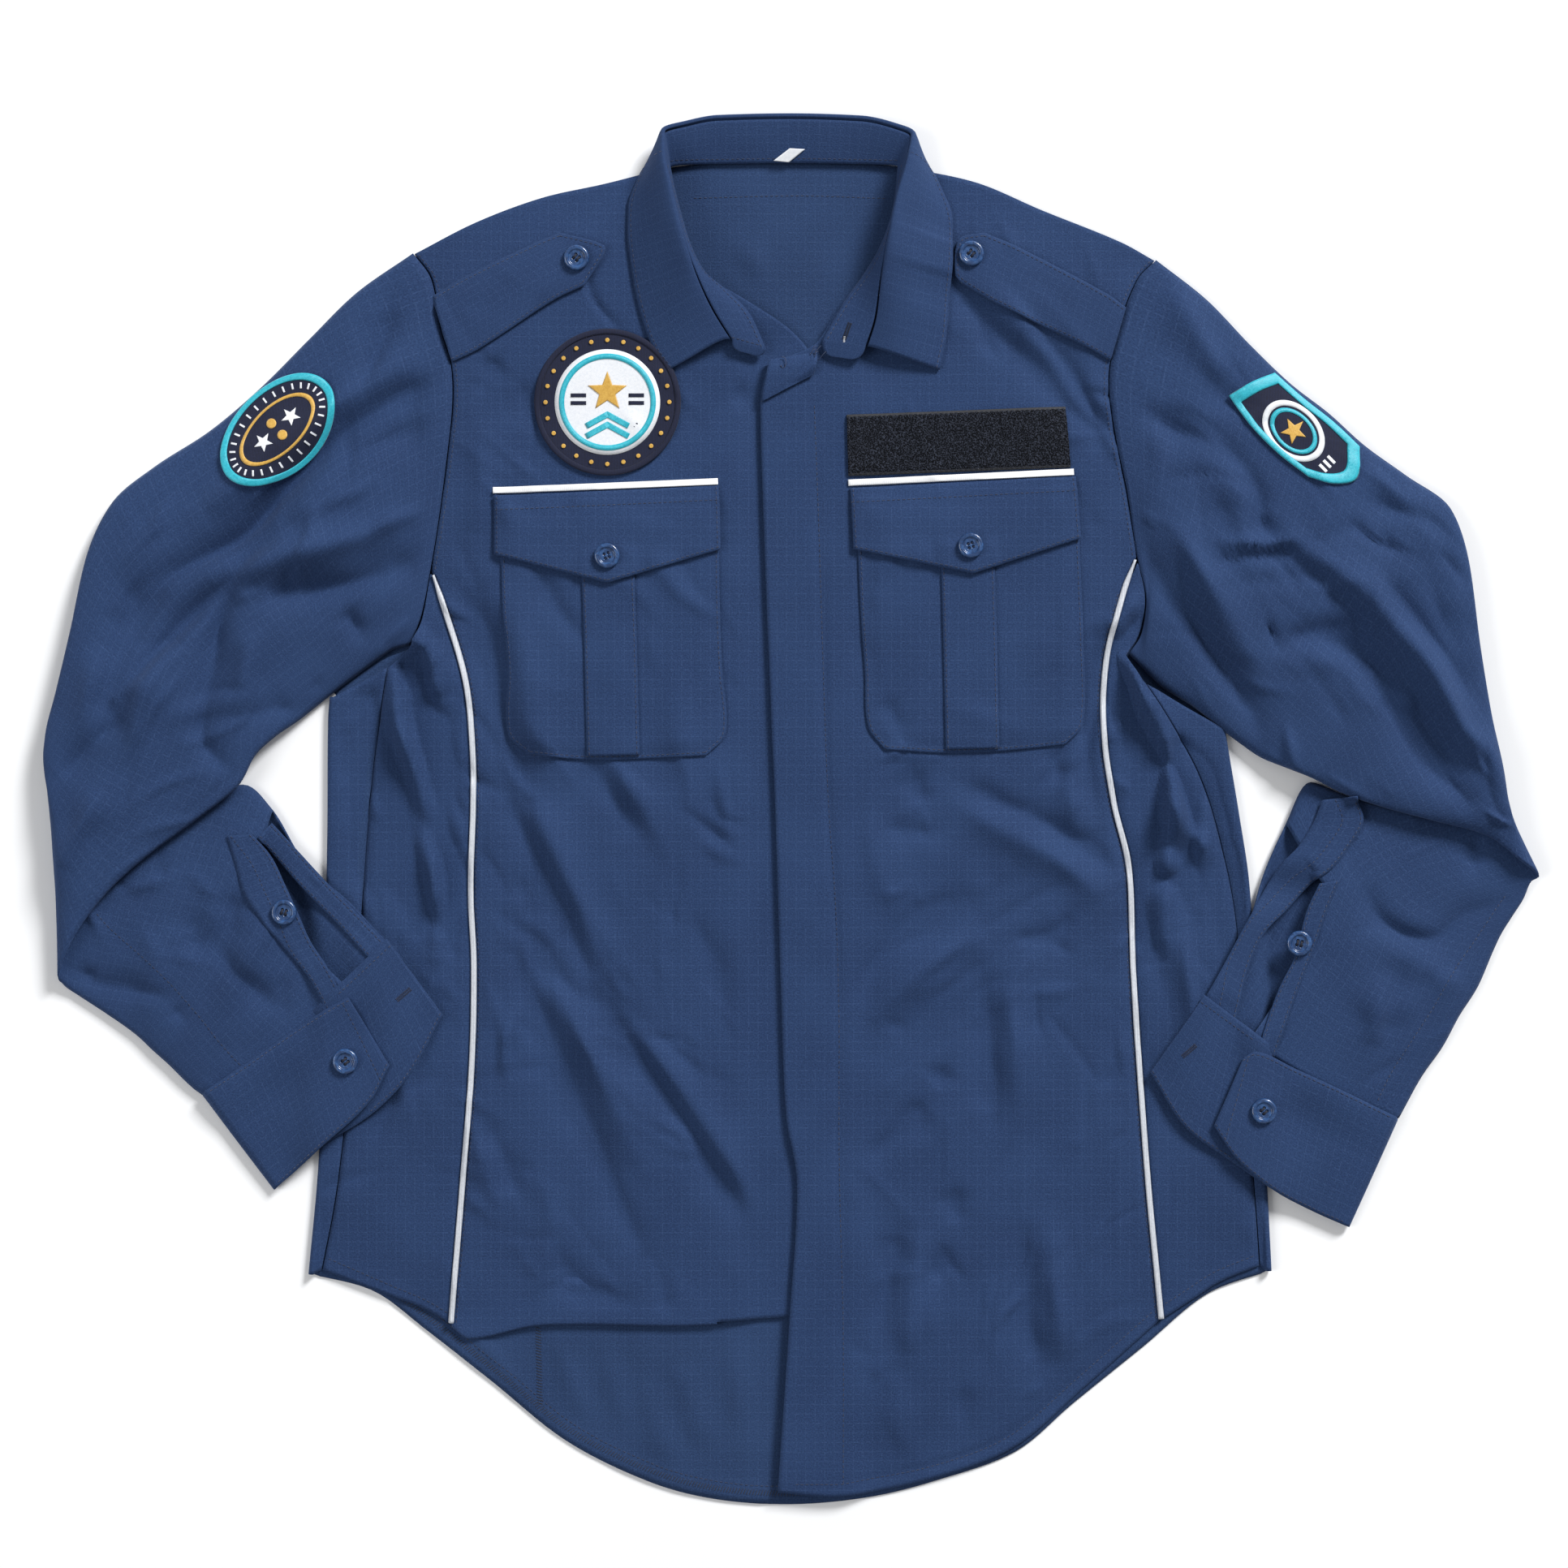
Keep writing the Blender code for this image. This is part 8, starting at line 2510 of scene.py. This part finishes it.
    def sew_pockets(self) -> None:
        """Pockets, flaps, shoulder straps and the loop strip."""
        for side in Side:
            plan = POCKETS[side]
            word = side.word
            bag = f"pocket_{word}_cloth"
            pleat = smooth_line(plan.pleat, 60)
            self.sew(f"stitches_pocket_{word}", [
                beside(smooth_line(plan.left, 90), 1.7), beside(smooth_line(plan.right, 90), -1.7),
                beside(smooth_line(plan.bottom, 60), 1.9), beside(pleat, 1.5),
                beside(pleat, plan.pleat_width - 1.5)], (bag, f"pleat_{word}_cloth"))
            low = smooth_line([plan.flap_left[-1], plan.flap_point], 40)
            low2 = smooth_line([plan.flap_point, plan.flap_right[-1]], 40)
            self.sew(f"stitches_flap_{word}", [
                smooth_line(shifted(plan.flap_top, 0.0, -8.5), 60), beside(low, 1.7), beside(low2, 1.7),
                beside(smooth_line(plan.flap_left, 20), 1.7), beside(smooth_line(plan.flap_right, 20), -1.7)],
                (f"flap_{word}_cloth",))
            strap = STRAPS[side]
            away = 1.8 * side.value
            self.sew(f"stitches_strap_{word}", [
                beside(smooth_line(strap.top, 60), away), beside(smooth_line(strap.bottom, 60), -away),
                beside(smooth_line(strap.tip, 30), away)], (f"strap_{word}_cloth",))
        tl, tr, br, bl = HOOK_STRIP
        self.sew("stitches_loop_strip", [
            beside(smooth_line([tl, tr], 60), -1.2), beside(smooth_line([bl, br], 60), 1.2),
            beside(smooth_line([tl, bl], 20), 1.2), beside(smooth_line([tr, br], 20), -1.2)],
            ("loop_strip",), None, self.finishes.dark_thread)

    def sew_collar(self) -> None:
        """Leaf and stand."""
        table = np.array(COLLAR)
        edge, fold, seam = table[:, 6:8], table[:, 3:5], table[:, 0:2]
        inward = fold - edge
        inward /= np.linalg.norm(inward, axis=1)[:, None]
        near = edge + inward * 2.0
        first = edge[0] * 0.97 + edge[1] * 0.03
        self.sew("stitches_leaf", [
            smooth_line(near.tolist(), 300),
            beside(smooth_line([tuple(first), tuple(fold[0])], 20), -2.0),
            beside(smooth_line([tuple(edge[-1]), tuple(fold[-1])], 20), 2.0)], ("collar_leaf_cloth",))
        up = fold - seam
        up /= np.linalg.norm(up, axis=1)[:, None]
        self.sew("stitches_stand", [
            smooth_line((seam + up * 2.4).tolist(), 300),
            smooth_line([tuple(seam[0] + up[0] * 2.0 + [-1.6, 1.6]), tuple(fold[0] + [-1.0, 1.6])], 14)],
            ("collar_stand_cloth",))
        hole = np.array([(34.4, 284.5), (30.8, 274.5)])
        self.sew("buttonhole_collar", [beside(resample(hole, 20), 0.7), beside(resample(hole, 20), -0.7)],
                 ("collar_stand_cloth",), self.buttonhole, self.finishes.dark_thread)
        self.sew("buttonhole_catch", [resample(np.array([(31.2, 276.6), (30.8, 273.0)]), 8)],
                 ("collar_stand_cloth",), self.buttonhole, self.finishes.tape)

    def build_loose_threads(self) -> None:
        """The frayed end of the fly's strip, and a loop of blue thread below the collar."""
        verts, faces = [], []
        for index, (x, y) in enumerate(self.frayed_at):
            bend = math.sin(index * 2.4)
            line = [(x, y, 9.6), (x + 1.2 + bend, y + 1.5, 10.6), (x + 1.8 + 2 * bend, y + 3.4, 10.9),
                    (x + 3.6 + 2 * bend, y + 4.6 + bend, 10.2)]
            tube(verts, faces, line, 0.16, 5)
        loop = [(-4.8 + 1.6 * math.cos(a), 261.4 + 3.2 * math.sin(a), 11.0 + 0.4 * math.cos(2 * a))
                for a in np.linspace(-2.6, 2.0, 16)]
        tube(verts, faces, loop, 0.24, 5)
        obj = solid("loose_threads", verts, faces, self.finishes.thread)
        self.wardrobe.keep(obj, "navy_cloth")


def oval_outline(half_length: float, half_width: float, count: int = 96) -> np.ndarray:
    """Closed outline of an oval round the badge's middle."""
    a = np.linspace(0.0, math.tau, count, endpoint=False)
    return np.stack([half_length * np.cos(a), half_width * np.sin(a)], axis=1)


def star_outline(radius: float, points: int = 5, inner: float = 0.42) -> np.ndarray:
    """Closed outline of a star that points up.

    Args:
        radius: distance to the tips.
        points: how many tips.
        inner: inner radius as a share.

    Returns:
        Corners in the badge's plane.
    """
    a = math.pi / 2 + math.pi * np.arange(2 * points) / points
    r = np.where(np.arange(2 * points) % 2 == 0, radius, radius * inner)
    corners = np.stack([r * np.cos(a), r * np.sin(a)], axis=1)
    return along_corners(corners, 6)


def bar_outline(length: float, width: float, turn: float = 0.0) -> np.ndarray:
    """Closed outline of a bar.

    Args:
        length: length of the bar.
        width: its width.
        turn: angle in radians.

    Returns:
        Corners in the badge's plane.
    """
    c, s = math.cos(turn), math.sin(turn)
    corners = np.array([(-length / 2, -width / 2), (length / 2, -width / 2), (length / 2, width / 2),
                        (-length / 2, width / 2)])
    return along_corners(corners @ np.array([[c, s], [-s, c]]), 6)


def along_corners(corners: np.ndarray, parts: int) -> np.ndarray:
    """Cut each side of a closed outline into parts.

    Args:
        corners: the outline.
        parts: cuts in a side.

    Returns:
        The finer outline.
    """
    after = np.roll(corners, -1, axis=0)
    t = np.arange(parts)[None, :, None] / parts
    return (corners[:, None] * (1 - t) + after[:, None] * t).reshape(-1, 2)


@dataclass(frozen=True)
class Motif:
    """One embroidered shape: its outline, where it lies on the badge, and its open middle."""

    outline: np.ndarray
    at: Point = (0.0, 0.0)
    inner: float = 0.0
    ridge: float = 0.0
    rings: int = 5


@dataclass
class Badge:
    """An embroidered badge with a merrowed border and plain motifs, draped on what it is sewn to."""

    wardrobe: Wardrobe
    finishes: Finishes
    name: str
    centre: Point
    turn: float
    outline: np.ndarray
    ground: bpy.types.Material
    border: bpy.types.Material
    slot: str
    under: tuple[str, ...]
    flat: tuple[float, float, float]
    border_width: float = 3.0
    thickness: float = 1.2

    def plan(self, local: np.ndarray) -> np.ndarray:
        """Badge places as plan places.

        Args:
            local: places from the badge's middle.

        Returns:
            Places in plan.
        """
        c, s = math.cos(self.turn), math.sin(self.turn)
        return np.stack([self.centre[0] + local[..., 0] * c - local[..., 1] * s,
                         self.centre[1] + local[..., 0] * s + local[..., 1] * c], axis=-1)

    def drape(self, motifs: list[Motif], surfaces: list[BVHTree], lift: float,
              reach: float) -> tuple[list[Point], list[tuple[int, ...]]]:
        """Lay motifs on what is under them.

        Args:
            motifs: the shapes.
            surfaces: what they lie on.
            lift: height of their middle over it.
            reach: how far round a place to look.

        Returns:
            Points and faces of one mesh.
        """
        verts: list[Point] = []
        faces: list[tuple[int, ...]] = []
        for motif in motifs:
            n = len(motif.outline)
            first = motif.inner if motif.inner > 0 else 1 / motif.rings
            share = np.linspace(first, 1.0, motif.rings)
            local = motif.outline[None] * share[:, None, None] + np.array(motif.at)
            place = self.plan(local)
            z = highest(place[..., 0], place[..., 1], surfaces, reach)
            level = np.nanmean(z) if np.isfinite(z).any() else 0.0
            z = np.where(np.isnan(z), level, z) + lift
            if reach > 0:
                ring = np.concatenate([z[:, -8:], z, z[:, :8]], axis=1)
                z = np.maximum(z, blurred(ring, 8)[:, 8:-8])
            if motif.ridge > 0:
                across = np.linspace(-1.0, 1.0, motif.rings)[:, None]
                wound = 1 + 0.10 * np.sin(np.arange(n) * math.pi)[None, :]
                z = z + motif.ridge * np.sqrt(np.clip(1 - across ** 2, 0.0, 1.0)) * wound
            start = len(verts)
            verts += [(p[0], p[1], h) for p, h in zip(place.reshape(-1, 2), z.ravel())]
            for k in range(motif.rings - 1):
                a = start + k * n
                faces += [(a + s, a + n + s, a + n + (s + 1) % n, a + (s + 1) % n) for s in range(n)]
            if motif.inner <= 0:
                middle = self.plan(np.array(motif.at))
                verts.append((middle[0], middle[1], float(z[0].mean())))
                faces += [(len(verts) - 1, start + s, start + (s + 1) % n) for s in range(n)]
        return verts, faces

    def add_piece(self, name: str, motifs: list[Motif], material: bpy.types.Material, lift: float,
                  wall: float, on: list[BVHTree], reach: float = 0.0, nodes: tuple[str, ...] = ()) -> None:
        """Make one colour of the badge as an object with a thin wall.

        Args:
            name: end of the piece's name.
            motifs: the shapes.
            material: its thread.
            lift: how high over the cloth.
            wall: how thick.
            on: surfaces to lie on.
            reach: how far round a place to look.
            nodes: nodes that it replaces.
        """
        verts, faces = self.drape(motifs, on, lift + wall / 2, reach)
        obj = solid(name, verts, faces, material)
        shell = obj.modifiers.new("wall", "SOLIDIFY")
        shell.thickness = wall * MM
        shell.offset = 0.0
        self.wardrobe.keep(obj, self.slot, nodes)

    def build(self, colours: dict[str, tuple[bpy.types.Material, float, list[Motif]]]) -> None:
        """Make ground, border and motifs.

        Args:
            colours: for each piece's name its material, height over the ground and shapes.
        """
        base = self.wardrobe.trees(*self.under)
        smallest = float(np.linalg.norm(self.outline, axis=1).min())
        inner = 1 - self.border_width / smallest
        self.add_piece(self.name + "_ground", [Motif(self.outline, rings=22)], self.ground, GAP,
                       self.thickness, base, 1.2, (self.name,))
        width, length, area = self.flat
        self.wardrobe.sheet(self.wardrobe.made[self.name + "_ground"], width, length, area, on=self.under)
        top = self.wardrobe.trees(self.name + "_ground")
        ring = Motif(self.outline, inner=inner, ridge=0.55, rings=9)
        self.add_piece(self.name + "_border", [ring], self.border, -0.05, 0.4, top)
        for key, (material, lift, motifs) in colours.items():
            self.add_piece(f"{self.name}_{key}", motifs, material, lift, 0.3, top)


def dots_round(half_length: float, half_width: float, count: int, outline: np.ndarray,
               skip: tuple[int, ...] = ()) -> list[Motif]:
    """The same small shape set round an oval.

    Args:
        half_length: of the oval.
        half_width: of the oval.
        count: places round the oval.
        outline: the shape.
        skip: places left free.

    Returns:
        One motif a place.
    """
    shapes = []
    for k in range(count):
        if k in skip:
            continue
        a = math.tau * k / count
        shapes.append(Motif(outline, (half_length * math.cos(a), half_width * math.sin(a)), rings=3))
    return shapes


def bars_round(half_length: float, half_width: float, count: int, length: float, width: float) -> list[Motif]:
    """Short bars set round an oval, each pointing out of it.

    Args:
        half_length: of the oval.
        half_width: of the oval.
        count: how many bars.
        length: of a bar.
        width: of a bar.

    Returns:
        One motif a bar.
    """
    shapes = []
    for k in range(count):
        a = math.tau * (k + 0.5) / count
        turn = math.atan2(math.sin(a) * half_length, math.cos(a) * half_width)
        shapes.append(Motif(bar_outline(length, width, turn),
                            (half_length * math.cos(a), half_width * math.sin(a)), rings=3))
    return shapes


def chevron(at: Point, arm: float, width: float, slope: float) -> list[Motif]:
    """Two bars that meet in a point at the top.

    Args:
        at: its point.
        arm: length of an arm.
        width: of an arm.
        slope: angle of an arm in radians.

    Returns:
        Two motifs.
    """
    half = arm / 2 * math.cos(slope) - width * 0.2
    return [Motif(bar_outline(arm, width, slope), (at[0] - half, at[1]), rings=3),
            Motif(bar_outline(arm, width, -slope), (at[0] + half, at[1]), rings=3)]


def build_badges(wardrobe: Wardrobe, finishes: Finishes) -> None:
    """The three badges, each with a plain design of its own.

    Args:
        wardrobe: the built pieces.
        finishes: the finishes.
    """
    white, teal, gold, navy = (finishes.badge_white, finishes.badge_teal, finishes.badge_gold,
                               finishes.badge_navy)
    x, y, r, _, turn = CHEST_BADGE
    chest = Badge(wardrobe, finishes, "badge_chest", (x, y), turn, oval_outline(r, r, 128), navy, navy,
                  "chest_badge", ("front_left_cloth", "strap_left_cloth"), (86, 86, 5800))
    chest.build({
        "white": (white, 0.02, [Motif(oval_outline(31, 31), rings=8)]),
        "teal": (teal, 0.34, [Motif(oval_outline(28.5, 28.5), inner=0.89, rings=3)]
                 + chevron((0.0, -10.5), 15.0, 3.4, 0.5) + chevron((0.0, -16.5), 15.0, 3.4, 0.5)),
        "gold": (gold, 0.36, [Motif(star_outline(12.0), (0.0, 6.0))]
                 + dots_round(36.4, 36.4, 24, oval_outline(1.3, 1.3, 12))),
        "navy": (navy, 0.34, [Motif(bar_outline(9.0, 2.2), (-17.0, 4.0), rings=3),
                              Motif(bar_outline(9.0, 2.2), (-17.0, -0.5), rings=3),
                              Motif(bar_outline(9.0, 2.2), (17.0, 4.0), rings=3),
                              Motif(bar_outline(9.0, 2.2), (17.0, -0.5), rings=3)]),
    })
    x, y, a, b, turn = OVAL_BADGE
    oval = Badge(wardrobe, finishes, "badge_oval", (x, y), turn, oval_outline(a, b, 112), navy, teal,
                 "sleeve_badge", ("sleeve_left_cloth",), (80, 51, 3200))
    oval.build({
        "white": (white, 0.02, bars_round(32.2, 18.4, 30, 3.6, 1.1)
                  + [Motif(star_outline(6.0), (11.0, 0.0)), Motif(star_outline(6.0), (-11.0, 0.0))]),
        "gold": (gold, 0.02, [Motif(oval_outline(27.5, 14.5), inner=0.9, rings=3),
                              Motif(oval_outline(3.0, 3.0, 20), (0.0, 5.0), rings=3),
                              Motif(oval_outline(3.0, 3.0, 20), (0.0, -5.0), rings=3)]),
    })
    corners = np.concatenate([smooth_line(SHIELD["top"], 24)[:-1], smooth_line(SHIELD["right"], 34)[:-1],
                              smooth_line(SHIELD["bottom"], 20)[::-1][:-1],
                              smooth_line(SHIELD["left"], 34)[::-1][:-1]])[:, :2]
    middle = np.array([294.0, 221.0])
    turn = math.radians(-45.0)
    c, s = math.cos(-turn), math.sin(-turn)
    local = (corners - middle) @ np.array([[c, s], [-s, c]])
    shield = Badge(wardrobe, finishes, "badge_shield", tuple(middle), turn, local, navy, teal,
                   "sleeve_badge", ("sleeve_right_cloth",), (73, 62, 3300))
    shield.build({
        "white": (white, 0.02, [Motif(oval_outline(21.0, 15.0), inner=0.82, rings=3),
                                Motif(bar_outline(6.0, 1.8), (27.5, 3.6), rings=3),
                                Motif(bar_outline(6.0, 1.8), (27.5, 0.0), rings=3),
                                Motif(bar_outline(6.0, 1.8), (27.5, -3.6), rings=3)]),
        "teal": (teal, 0.02, [Motif(oval_outline(16.0, 10.8), inner=0.82, rings=3)]),
        "gold": (gold, 0.02, [Motif(star_outline(8.0))]),
    })


@dataclass
class Studio:
    """Pale paper floor, soft overhead light, and the camera straight above."""

    finishes: Finishes
    scale: float = 0.478
    frame_pixels: float = 1932.0
    centre: Point = (-4.3, 14.3)
    distance: float = 2200.0
    sensor: float = 36.0
    sky: float = 0.31

    def build(self) -> None:
        """Make floor, lights and camera."""
        half = 3.0
        mesh = bpy.data.meshes.new("floor")
        mesh.from_pydata([(-half, -half, 0.0), (half, -half, 0.0), (half, half, 0.0), (-half, half, 0.0)],
                         [], [(0, 1, 2, 3)])
        mesh.materials.append(Paper().build())
        floor = bpy.data.objects.new("floor", mesh)
        bpy.context.scene.collection.objects.link(floor)
        self.add_lights()
        self.add_camera()

    def add_lights(self) -> None:
        """A wide soft light above the collar's side and an even sky."""
        for name, place, size, power in (("key", (3.6, 4.8, 3.75), 2.0, 600.0),
                                         ("fill", (-3.4, -0.4, 3.0), 2.6, 68.0)):
            data = bpy.data.lights.new(name, "AREA")
            data.shape = "SQUARE"
            data.size = size
            data.energy = power
            lamp = bpy.data.objects.new(name, data)
            lamp.location = place
            direction = np.array([0.0, 0.0, 0.0]) - np.array(place)
            flat = math.hypot(direction[0], direction[1])
            lamp.rotation_euler = (math.atan2(flat, -direction[2]), 0.0,
                                   math.atan2(direction[1], direction[0]) - math.pi / 2)
            bpy.context.scene.collection.objects.link(lamp)
        world = bpy.data.worlds.new("studio sky")
        world.use_nodes = True
        sky = world.node_tree.nodes["Background"]
        sky.inputs["Color"].default_value = (1.0, 1.0, 1.0, 1.0)
        sky.inputs["Strength"].default_value = self.sky
        bpy.context.scene.world = world
        bpy.context.scene.view_settings.view_transform = "Standard"

    def add_camera(self) -> None:
        """Look straight down with the photograph's frame."""
        data = bpy.data.cameras.new("camera")
        data.sensor_width = self.sensor
        data.sensor_fit = "HORIZONTAL"
        data.lens = self.sensor * self.distance / (self.frame_pixels * self.scale)
        data.clip_end = 20.0
        camera = bpy.data.objects.new("camera", data)
        camera.location = (self.centre[0] * MM, self.centre[1] * MM, self.distance * MM)
        bpy.context.scene.collection.objects.link(camera)
        bpy.context.scene.camera = camera


def main() -> None:
    """Build the shirt piece by piece, then the studio."""
    logging.basicConfig(level=logging.INFO, format="%(name)s: %(message)s")
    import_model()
    wardrobe = Wardrobe()
    finishes = Finishes()
    Studio(finishes).build()
    Body(wardrobe, finishes).build()
    Sleeve(wardrobe, finishes, Side.LEFT, SLEEVE_LEFT, ARMHOLE_LEFT).build()
    Sleeve(wardrobe, finishes, Side.RIGHT, SLEEVE_RIGHT, ARMHOLE_RIGHT).build()
    Cuff(wardrobe, finishes, Side.LEFT, CUFF_LEFT).build()
    Cuff(wardrobe, finishes, Side.RIGHT, CUFF_RIGHT).build()
    for side in Side:
        Pocket(wardrobe, finishes, side, POCKETS[side]).build()
        Strap(wardrobe, finishes, side, STRAPS[side]).build()
    HookStrip(wardrobe, finishes).build()
    build_badges(wardrobe, finishes)
    Collar(wardrobe, finishes).build()
    for side in Side:
        word = side.word
        Button(wardrobe, finishes, f"button_pocket_{word}", POCKETS[side].button,
               (f"flap_{word}_cloth",), Tie.OPEN).build()
        Button(wardrobe, finishes, f"button_epaulette_{word}", STRAPS[side].button,
               (f"strap_{word}_cloth", f"front_{word}_cloth"), Tie.BARS, 0.9).build()
        Button(wardrobe, finishes, f"button_placket_{word}", PLACKETS[side].button,
               (f"placket_{word}_cloth", f"sleeve_{word}_cloth"), Tie.BARS, 1.3).build()
        Button(wardrobe, finishes, f"button_cuff_{word}", CUFF_BUTTONS[side],
               (f"cuff_{word}_cloth",), Tie.BARS, 0.7).build()
    Stitching(wardrobe, finishes).build()
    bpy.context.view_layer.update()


if __name__ == "__main__":
    main()
